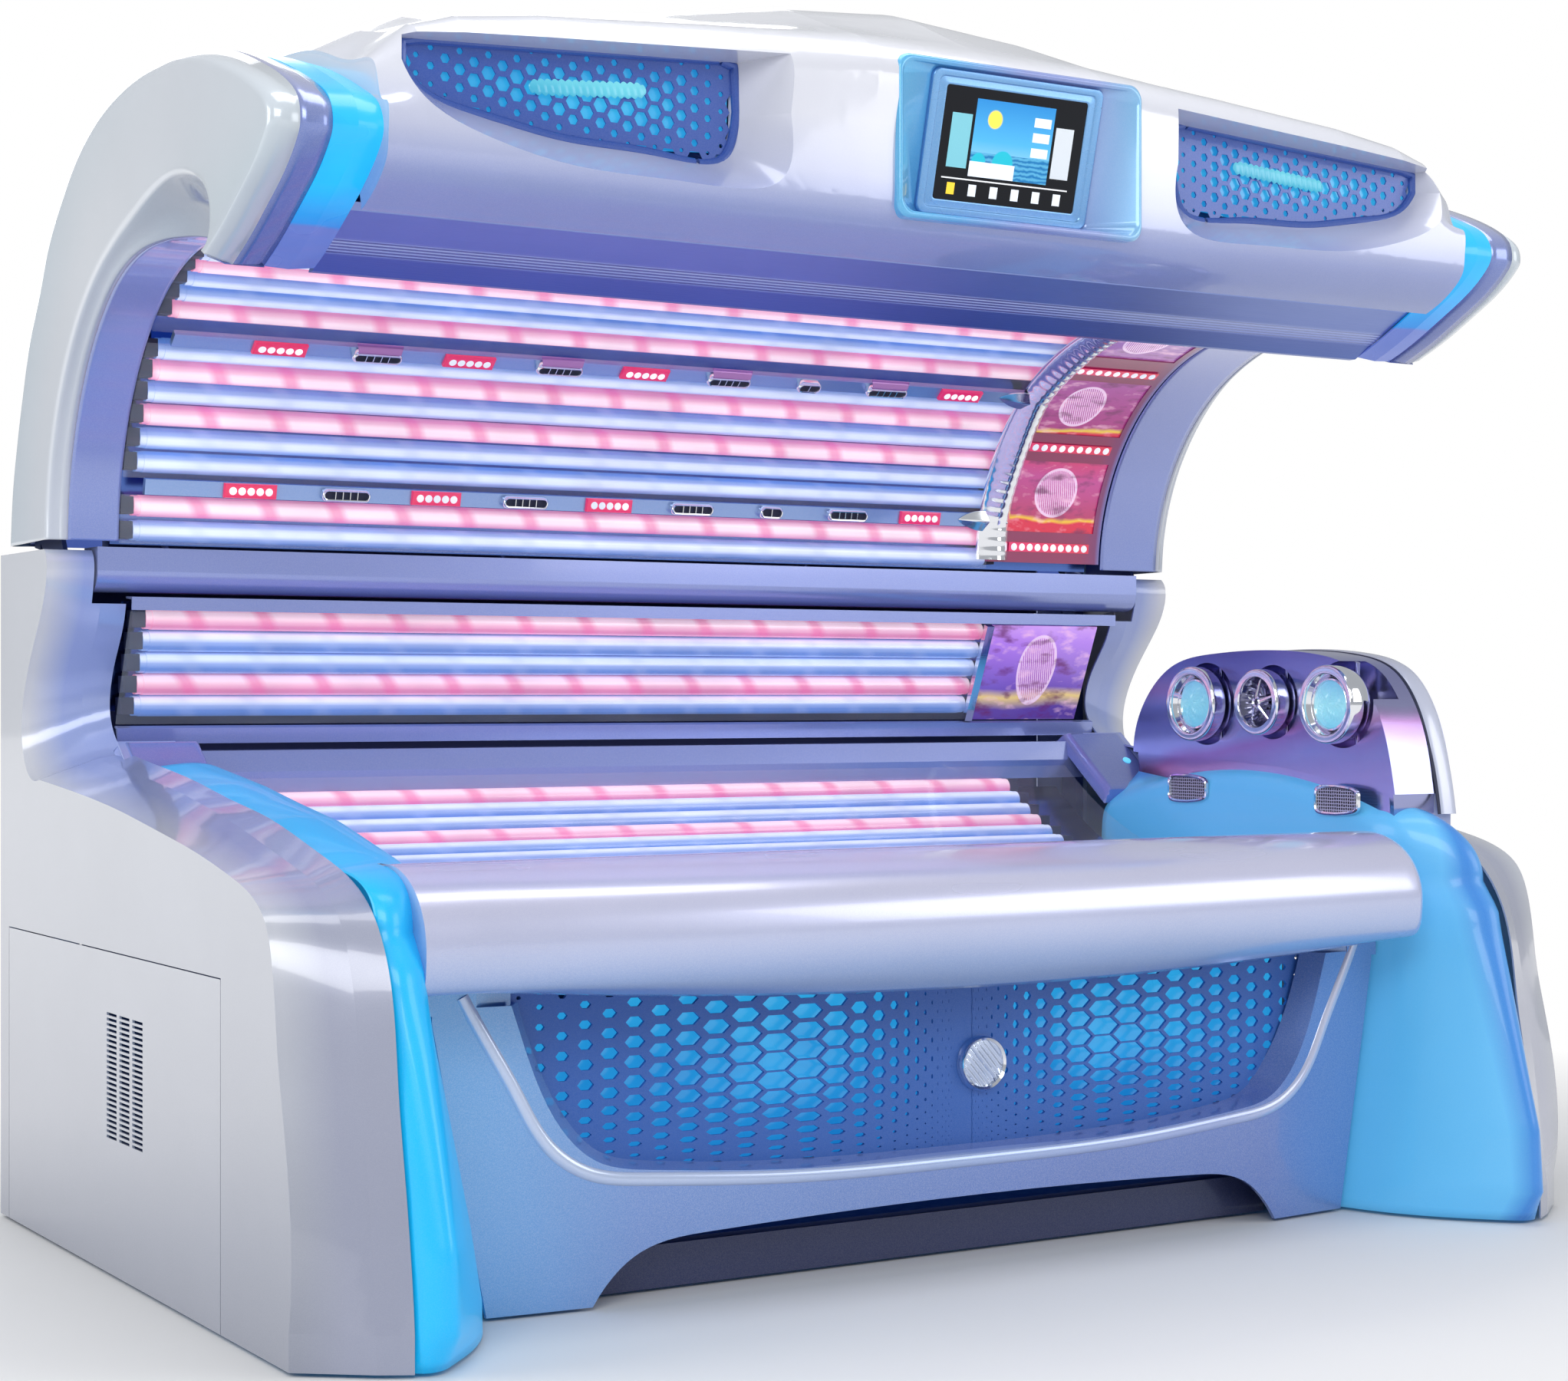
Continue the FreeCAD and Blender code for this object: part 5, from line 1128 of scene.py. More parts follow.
@dataclass
class FrontGrille:
    """The graded hexagon grille in the skirt, its lens and the lip round it."""

    middle: float = 0.02
    centre: float = 0.30
    row_height: float = 0.338
    column_pitch: float = 0.060
    row_pitch: float = 0.031
    set_back: float = 0.048
    opening: tuple[tuple[float, float], ...] = ((0.0, 0.184), (0.373, 0.189), (0.600, 0.205), (0.690, 0.221),
        (0.752, 0.266), (0.800, 0.345), (0.868, 0.463), (0.890, 0.504))
    lens_at: tuple[float, float] = (0.056, 0.325)
    lens_radius: float = 0.045

    def build(self) -> None:
        """Builds the plate, lens and lip."""
        self._plate()
        self._lens()
        self._lip()

    def _place(self, u: np.ndarray, v: np.ndarray) -> np.ndarray:
        """Lattice to plate: spacing fades as R (1 - exp(-|u| p / R)) away from each cluster's centre."""
        outer = 1.15 * (1.0 - np.exp(-np.abs(u) * self.column_pitch / 1.15))
        inner = 0.30 * (1.0 - np.exp(-np.abs(u) * self.column_pitch / 0.30))
        x = np.where(u < 0, -outer, inner) - self.centre
        low = -0.24 * (1.0 - np.exp(-np.abs(v) * self.row_pitch / 0.24))
        z = self.row_height + np.where(v < 0, low, np.abs(v) * self.row_pitch)
        x = x + self.middle
        return xyz(x, skirt_front(x) + self.set_back, z)

    def _size(self, centre: np.ndarray) -> np.ndarray:
        """Hole share: 0.93 in the middle of a cluster, falling with distance to 0.16."""
        dx = centre[:, 0] - self.middle + self.centre
        dz = centre[:, 2] - self.row_height
        away = np.sqrt((np.where(dx < 0, dx / 0.56, dx / 0.24)) ** 2 + (np.where(dz < 0, dz / 0.15, dz / 0.22)) ** 2)
        return 0.93 - 0.77 * np.clip(away - 0.12, 0.0, 1.0) ** 1.25

    def _inside(self, centre: np.ndarray) -> np.ndarray:
        """Cells over the opening and a little past its edge."""
        line = np.asarray(self.opening)
        low = np.interp(np.abs(centre[:, 0]), line[:, 0], line[:, 1])
        return (centre[:, 2] > low - 0.012) & (centre[:, 2] < 0.502) & (np.abs(centre[:, 0]) < 0.875)

    def _plate(self) -> None:
        """Two mirrored clusters of cells and the plain strip where they meet."""
        points, faces = pierced_cells(np.arange(-21, 14), np.arange(-9, 7), self._place, self._size, self._inside,
            0.006)
        sheet = Sheet()
        sheet.add(points, faces)
        other = points * np.array([-1.0, 1.0, 1.0]) + np.array([2.0 * self.middle, 0.0, 0.0])
        shift = skirt_front(other[..., 0]) - skirt_front(points[..., 0])
        other[..., 1] += shift
        sheet.add(other, faces[:, ::-1])
        x = np.linspace(-0.03, 0.07, 9)
        z = np.linspace(0.180, 0.466, 3)
        sheet.grid(xyz(x, skirt_front(x) + self.set_back + 0.0008, z[:, None]))
        plate = sheet.piece("front_hexagon_grille", Palette.grille, smooth=False, weld=0.0, outward=False)
        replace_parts(plate, "front_grille")

    def _lens(self) -> None:
        """Chrome ring turned about Y, and a disc whose face rises in slanted ribs |sin|."""
        x0, z0 = self.lens_at
        y0 = float(skirt_front(np.array([x0]))[0]) + self.set_back
        r = self.lens_radius
        sheet = Sheet()
        profile = [(r - 0.007, 0.004), (r - 0.006, 0.013), (r - 0.002, 0.016), (r + 0.001, 0.012), (r + 0.002, 0.0),
            (r - 0.006, -0.002)]
        sheet.grid(turned(profile, (x0, y0, z0), (0, -1, 0), 64), wrap=True)
        sheet.piece("grille_lens_ring", Palette.chrome)
        disc = Sheet()
        radius = np.linspace(0.0, 1.0, 28)[1:, None] * (r - 0.005)
        a = circle(96)[None]
        x, z = radius * np.cos(a), radius * np.sin(a)
        wave = np.abs(np.sin((x * 0.75 + z * 0.66) * math.pi / 0.0085))
        rise = 0.006 + 0.004 * np.sqrt(np.clip(1 - (radius / r) ** 2, 0, 1)) + 0.0022 * wave
        grid = xyz(x0 + x, y0 - rise, z0 + z)
        disc.rings(grid, 0)
        face = disc.piece("grille_lens_face", Palette.lens_face, sharp=60.0)
        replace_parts(face, "grille_lens")

    def _lip(self) -> None:
        """A flat bead carried along the opening's edge, just proud of the skirt."""
        half = np.asarray(self.opening)
        line = np.concatenate([half[:0:-1] * [-1, 1], half])
        edge = spread(line, 400, 180)
        edge = edge[edge[:, 1] < 0.498]
        section = np.array([(-0.004, 0.020), (-0.002, 0.001), (0.005, -0.0045), (0.015, -0.005), (0.021, -0.001),
            (0.023, 0.006)])
        x, z = np.moveaxis(inset_line(edge, -section[:, :1]), -1, 0)
        y = skirt_front(x) + section[:, 1:2]
        Sheet().grid(rounded_rows(xyz(x, y, z), [0, 0.003, 0.005, 0.005, 0.003, 0], 3)).piece("grille_opening_lip",
            Palette.lip)
        brow = Sheet()
        for low_x, high_x in ((-0.962, -0.872), (0.872, 0.950)):
            x = np.linspace(low_x, high_x, 12)
            top = 0.474 + 0.042 * np.minimum(np.abs(x) / 0.945, 1.0) ** 2
            front = skirt_front(x) - 0.0012
            rows = [(front, np.full(12, 0.462)), (front, top), (front + 0.012, top + 0.002)]
            brow.grid(np.stack([xyz(x, y, z) for y, z in rows]))
        for side in Side:
            reach = np.linspace(0.0, 1.0, 6)
            x = float(side.value) * (0.874 - 0.082 * reach)
            y = skirt_front(x) + 0.050 * reach
            brow.grid(np.stack([xyz(x, y, z) for z in (0.460, 0.514)]))
        brow.piece("skirt_top_return", Palette.fascia, sharp=50.0)


@dataclass
class VisorGrilles:
    """The two hexagon grilles under the visor, the ribbed lamps behind them and the lit back sheets."""

    plane: float = -0.506
    middle: float = 0.700
    throat: tuple[tuple[float, float], ...] = ((-0.252, 1.842), (-0.232, 1.786), (-0.120, 1.778), (0.040, 1.785),
        (0.180, 1.806), (0.280, 1.838), (0.300, 1.862))
    top: tuple[float, float] = (1.926, 1.896)
    pitch: tuple[float, float] = (0.0235, 0.0270)

    def build(self) -> None:
        """Builds both sides."""
        for side in Side:
            self._side(side)

    def _span(self, across: np.ndarray) -> tuple[np.ndarray, np.ndarray]:
        """Lowest and highest height of the opening at each place across it."""
        line = np.asarray(self.throat)
        low = np.interp(across, line[:, 0], line[:, 1], left=1.9, right=1.9)
        high = np.interp(across, (-0.252, 0.300), self.top)
        return low, high

    def _side(self, side: Side) -> None:
        """One side: pierced plate, back sheet and ribbed lamp.

        Args:
            side: Which end.
        """
        s = float(side.value)

        def place(u: np.ndarray, v: np.ndarray) -> np.ndarray:
            """Even lattice carried onto the plate."""
            across = u * self.pitch[0]
            return xyz(s * (self.middle + across), self.plane, 1.850 + v * self.pitch[1])

        def across_of(centre: np.ndarray) -> np.ndarray:
            """Place across the opening, outwards from its middle."""
            return s * centre[:, 0] - self.middle

        def size(centre: np.ndarray) -> np.ndarray:
            """Hole share: 0.8 in the middle, less near the rim."""
            low, high = self._span(across_of(centre))
            rim = np.minimum(centre[:, 2] - low, high - centre[:, 2])
            ends = np.minimum(across_of(centre) + 0.25, 0.30 - across_of(centre))
            return np.clip(0.22 + 0.60 * np.clip(np.minimum(rim / 0.045, ends / 0.13), 0, 1), 0.22, 0.80)

        def keep(centre: np.ndarray) -> np.ndarray:
            """Cells over the opening."""
            low, high = self._span(across_of(centre))
            between = np.abs(across_of(centre) - 0.024) < 0.292
            return (centre[:, 2] > low - 0.010) & (centre[:, 2] < high + 0.012) & between

        points, faces = pierced_cells(np.arange(-13, 15), np.arange(-4, 5), place, size, keep, 0.0028)
        plate = Sheet().add(points, faces if s > 0 else faces[:, ::-1]).piece(f"{side.word}_visor_grille",
            Palette.visor_grille, "canopy", smooth=False, weld=0.0, outward=False)
        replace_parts(plate, "canopy_grilles")
        across = np.linspace(-0.250, 0.296, 40)
        low, high = self._span(across)
        low[[0, -1]] = np.minimum(low[[0, -1]], high[[0, -1]] - 0.03)
        t = np.linspace(0.0, 1.0, 12)[:, None]
        z = low + (high - low) * t
        x = s * (self.middle + across)
        Sheet().grid(xyz(x, self.plane + 0.0075, z)).piece(f"{side.word}_visor_light", Palette.visor_light, "canopy",
            outward=False, toward=(0, -1, 0))
        self._rim(side)
        self._bar(side)

    def _rim(self, side: Side) -> None:
        """A bead that follows the opening's edge over the plate's border."""
        low = sample_curve([(-0.262, 1.850), (-0.240, 1.779), (-0.122, 1.771), (0.041, 1.778), (0.184, 1.800),
            (0.285, 1.833), (0.306, 1.860)], 120)
        top = [(0.305, 1.893), (0.280, 1.899), (0.0, 1.915), (-0.235, 1.929), (-0.258, 1.922)]
        loop = resample(np.concatenate([low, np.asarray(top), low[:1]]), 220)[:-1]
        path = xyz(float(side.value) * (self.middle + loop[:, 0]), self.plane - 0.001, loop[:, 1])
        Sheet().grid(tube_rows(path, 0.0075, 10), wrap_rows=True, wrap=True).piece(f"{side.word}_visor_rim",
            Palette.visor_grille, "canopy")

    def _bar(self, side: Side) -> None:
        """A ribbed lamp: a tube whose radius swells as r (1 + 0.22 |sin|), with slanted ribs."""
        s = float(side.value)
        x0, x1 = (0.600, 0.800) if side is Side.LEFT else (0.575, 0.785)
        path = xyz(np.linspace(s * x0, s * x1, 220), self.plane - 0.0035, np.linspace(1.866, 1.850, 220))
        rows = tube_rows(path, 1.0, 16)
        along = np.linspace(0.0, 1.0, 220)[:, None]
        round_at = np.linspace(0.0, 1.0, 16, endpoint=False)[None]
        ribs = 0.72 + 0.28 * np.abs(np.sin(math.pi * (along * 17.0 + round_at)))
        taper = np.sqrt(np.clip(1.0 - (2.0 * along - 1.0) ** 16, 0.05, 1.0))
        height = 0.013 * ribs * taper
        rows = path[:, None] + (rows - path[:, None]) * xyz(height, height * 0.22, height)
        Sheet().rings(rows, 0, -1).piece(f"{side.word}_visor_lamp", Palette.rib_lamp, "canopy")


# ---------------------------------------------------------------- tunnel fittings


def stadium(half: float, radius: float, count: int = 40) -> np.ndarray:
    """A stadium outline: two half circles of the radius whose centres lie half apart from the middle."""
    a = circle(count) + math.pi / count
    x = np.cos(a) * radius + np.sign(np.cos(a)) * half
    return np.stack([x, np.sin(a) * radius], axis=-1)


@dataclass
class TunnelFittings:
    """Lights, air nozzles and mist nozzles on the two rails, and the light rows of the face panel."""

    radius: float = 0.4638
    angles: tuple[float, float] = (13.5, 48.5)
    first: float = -0.875
    pitch: float = 0.180
    kinds: str = "LNLNLNMNL"
    face_rows: tuple[tuple[float, int], ...] = ((7.0, 10), (34.0, 9), (60.0, 9))

    def _at(self, angle: float, x: object, inward: object, along: object) -> np.ndarray:
        """Point at x, so far inward from the rail and so far along it, at an angle round the tunnel."""
        return round_tunnel(angle, self.radius - np.asarray(inward), x, along)

    def build(self) -> None:
        """Builds light bodies, light domes and nozzles."""
        bodies, domes, chrome, dark, flap = Sheet(), Sheet(), Sheet(), Sheet(), Sheet()
        for angle in self.angles:
            for place, kind in enumerate(self.kinds):
                x = self.first + place * self.pitch
                if kind == "L":
                    self._light_body(bodies, angle, x, 0.049, 0.0130, 0.0078)
                    for step in range(-2, 3):
                        self._dome(domes, angle, x + step * 0.0168, 0.0078, 0.0072)
                else:
                    half, wide = (0.0355, 0.0118) if kind == "N" else (0.014, 0.0125)
                    self._nozzle(chrome, dark, angle, x, half, wide, 4 if kind == "N" else 1)
                    if kind == "N" and angle > 30:
                        self._flap(flap, angle, x)
        for angle, count in self.face_rows:
            self._light_body(bodies, angle, 0.904, 0.105, 0.0098, 0.0002)
            for x in np.linspace(0.812, 0.996, count):
                self._dome(domes, angle, float(x), 0.0005, 0.0078)
        body = bodies.piece("rail_light_bodies", Palette.led_body, "canopy")
        domes.piece("rail_light_domes", Palette.led_dome, "canopy", sharp=80.0)
        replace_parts(body, "led_modules")
        shells = chrome.piece("nozzle_rims", Palette.chrome, "canopy", sharp=50.0)
        dark.piece("nozzle_throats", Palette.black, "canopy", smooth=False, outward=False)
        flap.piece("nozzle_flaps", Palette.flap, "canopy")
        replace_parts(shells, "air_nozzles")

    def _light_body(self, sheet: Sheet, angle: float, x: float, half: float, wide: float, depth: float) -> None:
        """A low block with rounded ends: stadium rows drawn in towards its face."""
        rows = [(0.0, -0.001), (0.0, depth * 0.7), (0.0012, depth * 0.93), (0.003, depth), (0.006, depth)]
        grid = []
        for inset, height in rows:
            line = stadium(half - wide * 0.5, 1.0, 36)
            px = np.sign(line[:, 0]) * (half - inset) * np.minimum(1.0, np.abs(line[:, 0]) / (half - wide * 0.5
                + 0.55))
            py = np.clip(line[:, 1] * 1.35, -1.0, 1.0) * (wide - inset)
            grid.append(self._at(angle, x + px, height, py))
        sheet.rings(np.stack(grid), -1)

    def _dome(self, sheet: Sheet, angle: float, x: float, lift: float, radius: float) -> None:
        """A low round lens: rings at radius cos t and height 0.35 radius sin t."""
        t = np.linspace(0.0, math.pi / 2, 5)[:-1, None]
        a = circle(14)[None]
        grid = self._at(angle, x + radius * np.cos(t) * np.cos(a), lift + 0.35 * radius * np.sin(t) + 0 * a,
            radius * np.cos(t) * np.sin(a))
        sheet.rings(grid, -1)

    def _nozzle(self, chrome: Sheet, dark: Sheet, angle: float, x: float, half: float, wide: float,
        fins: int) -> None:
        """Chrome rim as stadium rows rising and folding inwards, dark throat behind it, and thin fins across."""
        rows = ((0.0, 0.0), (0.0, 0.009), (0.0010, 0.0125), (0.0028, 0.0145), (0.0046, 0.0140), (0.0054, 0.0118),
            (0.0056, 0.0060))
        grid = []
        for inset, height in rows:
            line = stadium(half, wide - inset)
            grid.append(self._at(angle, x + line[:, 0], height, line[:, 1]))
        chrome.grid(np.stack(grid), wrap=True)
        dark.face(grid[-1])
        for place in np.linspace(-half, half, fins + 2)[1:-1]:
            w, h = 0.0011, wide - 0.0052
            corner = np.array([(-w, -h), (w, -h), (w, h), (-w, h)])
            low = self._at(angle, x + place + corner[:, 0], 0.0062, corner[:, 1])
            high = self._at(angle, x + place + corner[:, 0] * 0.6, 0.0125, corner[:, 1])
            chrome.grid(np.stack([low, high]), wrap=True)
            chrome.face(high)

    def _flap(self, sheet: Sheet, angle: float, x: float) -> None:
        """A thin curved flap above a nozzle, four-sided and wider at its root."""
        u = np.linspace(-1.0, 1.0, 14)[None]
        v = np.linspace(0.0, 1.0, 6)[:, None]
        across = x + (0.040 + 0.004 * v) * u
        lift = 0.0135 + 0.0015 * (1 - v) * v * 4 - 0.010 * v
        along = 0.0125 + 0.013 * v
        top = self._at(angle, across, lift, along + 0 * u)
        under = self._at(angle, across, lift - 0.0015, along + 0 * u)
        sheet.grid(top)
        sheet.grid(under, flip=True)
        sheet.grid(np.stack([top[0], under[0]]))
        sheet.grid(np.stack([top[-1], under[-1]]))
        sheet.grid(np.stack([top[:, 0], under[:, 0]]))
        sheet.grid(np.stack([top[:, -1], under[:, -1]]))


@dataclass
class FaceDivider:
    """The chrome arched divider beside the face lamps, with its two leaf blades."""

    radius: float = TUNNEL_RADIUS
    x0: float = 0.716
    width: float = 0.082
    blades: tuple[float, ...] = (13.5, 48.5)

    def build(self) -> None:
        """A band whose section humps as sin(pi t) with fine ribs, wider between the blades."""
        angle = np.radians(np.linspace(3.5, 112.0, 240))[:, None]
        t = np.linspace(0.0, 1.0, 17)[None]
        swell = 0.75 + 0.25 * np.abs(np.sin((np.degrees(angle) - 13.5) / 35.0 * math.pi))
        hump = 0.0015 + 0.032 * np.sin(math.pi * t) ** 0.8 * swell + 0.0005 * np.sin(np.degrees(angle)
            * 2.4) * np.sin(math.pi * t)
        x = self.x0 + self.width * t * (0.8 + 0.2 * swell) + 0 * angle
        reach = self.radius - hump
        degrees = np.degrees(angle)
        band = Sheet().slab(round_tunnel(degrees, reach, x), round_tunnel(degrees, self.radius, x))
        band.piece("face_divider_band", Palette.chrome, "canopy")
        leaves = Sheet()
        for at in self.blades:
            self._leaf(leaves, at)
        leaves.piece("face_divider_blades", Palette.chrome, "canopy")

    def _leaf(self, sheet: Sheet, at: float) -> None:
        """A pointed leaf: half width 0.021 sin(pi t)^0.8, folded along its middle, rising towards the band."""
        t = np.linspace(0.001, 0.999, 30)[:, None]
        v = np.linspace(-1.0, 1.0, 13)[None]
        half = 0.021 * np.sin(math.pi * t) ** 0.8
        x = 0.662 + 0.115 * t + 0 * v
        along = half * v
        lift = 0.0045 + 0.017 * t**1.5 + 0.006 * (1 - np.abs(v)) * np.sin(math.pi * t)
        sheet.slab(*(round_tunnel(at, self.radius - lift + drop, x, along) for drop in (0.0, 0.002)))


# ---------------------------------------------------------------- head end


@dataclass
class SwivelPods:
    """The three chrome swivelling pods: two lamps and an air nozzle between them."""

    front: float = 0.926
    places: tuple[tuple[float, float], ...] = ((0.030, 0.921), (-0.165, 0.925), (-0.360, 0.921))
    radii: tuple[float, ...] = (0.074, 0.064, 0.074)

    def build(self) -> None:
        """Builds each pod on its own body."""
        rows = (("left_pod", "left_lamp_pod"), ("air_pod_body", "air_pod"), ("right_pod", "right_lamp_pod"))
        for (body, node), (y, z), radius in zip(rows, self.places, self.radii):
            self._pod(body, node, (self.front, y, z), radius, lamp=body != "air_pod_body")

    def _pod(self, body: str, node: str, centre: Point, r: float, lamp: bool) -> None:
        """A cup with a wide bright ring, a reflector bowl, and a faceted lamp or a spoked nozzle.

        Args:
            body: CAD body.
            node: CAD node that the pod replaces.
            centre: Middle of the front ring.
            r: Outer radius.
            lamp: True for a lamp, False for the air nozzle.
        """
        shell = Sheet()
        outer = [(r - 0.0165, 0.006), (r - 0.015, 0.0005), (r - 0.004, 0.0), (r - 0.0008, 0.003), (r, 0.010),
            (r, 0.022), (r * 0.975, 0.036), (r * 0.90, 0.052), (r * 0.76, 0.064), (r * 0.5, 0.070), (0.002, 0.070)]
        line = spread(outer, 80, 60)
        line[:, 0] = np.minimum(line[:, 0], r)
        line[:, 1] = np.clip(line[:, 1], 0.0, 0.070)
        rings = turned(line, centre, (1, 0, 0), 72)
        shell.rings(rings, -1)
        x, y, z = centre
        hub = np.array([(-1, -1), (1, -1), (1, 1), (-1, 1)]) * [0.014, 0.024]
        ends = [xyz(px, y + hub[:, 0], z + hub[:, 1]) for px in (x + 0.066, x + 0.096)]
        shell.rings(np.stack(ends), 0, 1)
        cup = shell.piece(f"{body}_cup", Palette.chrome, body, sharp=40.0)
        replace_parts(cup, node)
        bowl = Sheet()
        inner = [(r - 0.0165, 0.006), (r - 0.020, 0.012), (r - 0.026, 0.022), (r - 0.034, 0.028), (0.002, 0.030)]
        rings = turned(inner, centre, (1, 0, 0), 72)
        if not lamp:
            a = circle(72)
            rings[1:4, :, 0] += 0.0015 * np.sin(a * 18.0)
        bowl.rings(rings, -1)
        bowl.piece(f"{body}_bowl", Palette.chrome if lamp else Palette.pod_dark, body, outward=False)
        if lamp:
            self._glass(body, centre, r - 0.030)
        else:
            self._spokes(body, centre, r)

    def _glass(self, body: str, centre: Point, radius: float) -> None:
        """Domed lamp glass with facets: height 0.010 (1 - s^2) plus small steps by sector."""
        s = np.linspace(0.0, 1.0, 9)[1:, None]
        a = circle(36)[None]
        facet = 0.0016 * np.sign(np.sin(a * 6.0 + s * 9.0)) * s * (1 - s) * 4
        x = centre[0] + 0.016 - 0.010 * (1 - s**2) + facet
        grid = xyz(x, centre[1] + radius * s * np.cos(a), centre[2] + radius * s * np.sin(a))
        Sheet().rings(grid, 0).piece(f"{body}_glass", Palette.pod_glass, body, smooth=False, outward=False)
        rim = [(radius - 0.001, 0.017), (radius + 0.002, 0.012), (radius + 0.005, 0.013), (radius + 0.006, 0.020),
            (radius + 0.004, 0.024)]
        Sheet().grid(turned(rim, centre, (1, 0, 0), 60), wrap=True).piece(f"{body}_glass_rim", Palette.chrome, body)

    def _spokes(self, body: str, centre: Point, r: float) -> None:
        """Five tapering spokes round a short open hub tube."""
        sheet = Sheet()
        hub = [(0.006, 0.020), (0.006, 0.004), (0.009, 0.001), (0.012, 0.004), (0.013, 0.024)]
        sheet.grid(turned(hub, centre, (1, 0, 0), 40), wrap=True)
        for k in range(5):
            a = math.radians(72.0 * k + 18.0)
            path = np.stack([np.linspace(0.006, 0.016, 10), np.linspace(0.010, r - 0.019, 10)], axis=-1)
            line = xyz(centre[0] + path[:, 0], centre[1] + path[:, 1] * math.cos(a), centre[2] + path[:, 1]
                * math.sin(a))
            rows = tube_rows(line, np.linspace(0.0045, 0.0022, 10), 10)
            sheet.grid(rows, wrap=True)
        sheet.piece(f"{body}_spokes", Palette.chrome, body, outward=False)


@dataclass
class Speakers:
    """Two speakers in the head wall: a chrome rim round a pierced face."""

    wall: float = 0.950
    places: tuple[tuple[float, float], ...] = ((-0.370, 0.742), (0.060, 0.752))

    def build(self) -> None:
        """Rounded four-sided outline; the rim folds from the wall, forwards and back to the mesh."""
        rims, faces = Sheet(), Sheet()
        for y, z in self.places:
            a = circle(64)
            c, s = np.cos(a), np.sin(a)
            shape = np.stack([np.sign(c) * np.abs(c) ** 0.42, np.sign(s) * np.abs(s) ** 0.42], axis=-1)
            grid = []
            for inset, out in ((0.0, 0.0003), (0.001, 0.0050), (0.004, 0.0068), (0.007, 0.0055), (0.008, 0.0022)):
                w, h = 0.061 - inset, 0.0295 - inset
                lean = 1.0 + 0.18 * shape[:, 0]
                grid.append(xyz(self.wall - out, y + w * shape[:, 0], z + h * shape[:, 1] * np.minimum(lean, 1.0)))
            rims.grid(np.stack(grid), wrap=True)
            faces.face(grid[-1])
        rim = rims.piece("speaker_rims", Palette.chrome)
        faces.piece("speaker_faces", Palette.speaker, outward=False)
        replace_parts(rim, "speakers")


# ---------------------------------------------------------------- big covers

SEAM = [(-0.742, 0.060), (-0.729, 0.164), (-0.706, 0.288), (-0.688, 0.381), (-0.655, 0.550), (-0.595, 0.632),
    (-0.525, 0.671), (-0.400, 0.705), (-0.194, 0.750), (-0.028, 0.773), (0.114, 0.795), (0.341, 0.822),
    (0.480, 0.838)]
CAP = [(0.716, 1.206), (0.701, 1.305), (0.669, 1.402), (0.632, 1.490), (0.596, 1.565), (0.537, 1.643),
    (0.480, 1.725), (0.399, 1.796), (0.316, 1.852), (0.216, 1.893), (0.112, 1.916), (0.008, 1.926), (-0.081, 1.926),
    (-0.174, 1.921), (-0.300, 1.899), (-0.425, 1.857), (-0.515, 1.818), (-0.566, 1.783), (-0.577, 1.745),
    (-0.559, 1.717), (-0.515, 1.682), (-0.455, 1.648), (-0.379, 1.608), (-0.309, 1.578)]


def around(angles: Sequence[float], radii: Sequence[float]) -> np.ndarray:
    """(y, z) points at angles and radii round the tunnel's centre line."""
    return round_tunnel(np.asarray(angles), np.asarray(radii), 0.0)[:, 1:]


def lift_row(line: np.ndarray, x: object) -> np.ndarray:
    """A row of points from (y, z) pairs and an x or one x for each."""
    return xyz(x, line[:, 0], line[:, 1])


def matched(points: Sequence[Point], count: int) -> np.ndarray:
    """Samples a curve through points evenly in point number, so that curves with matching points keep in step."""
    p = np.asarray(points, float)
    t = np.linspace(0.0, len(p) - 1.0, count)
    k = np.clip(t.astype(int), 0, len(p) - 2)
    f = (t - k)[:, None]
    before, after = p[np.maximum(k - 1, 0)], p[np.minimum(k + 2, len(p) - 1)]
    m0, m1 = 0.5 * (p[k + 1] - before), 0.5 * (after - p[k])
    return (2 * f**3 - 3 * f**2 + 1) * p[k] + (f**3 - 2 * f**2 + f) * m0 + (3 * f**2 - 2 * f**3) * p[k + 1] + (f**3
        - f**2) * m1


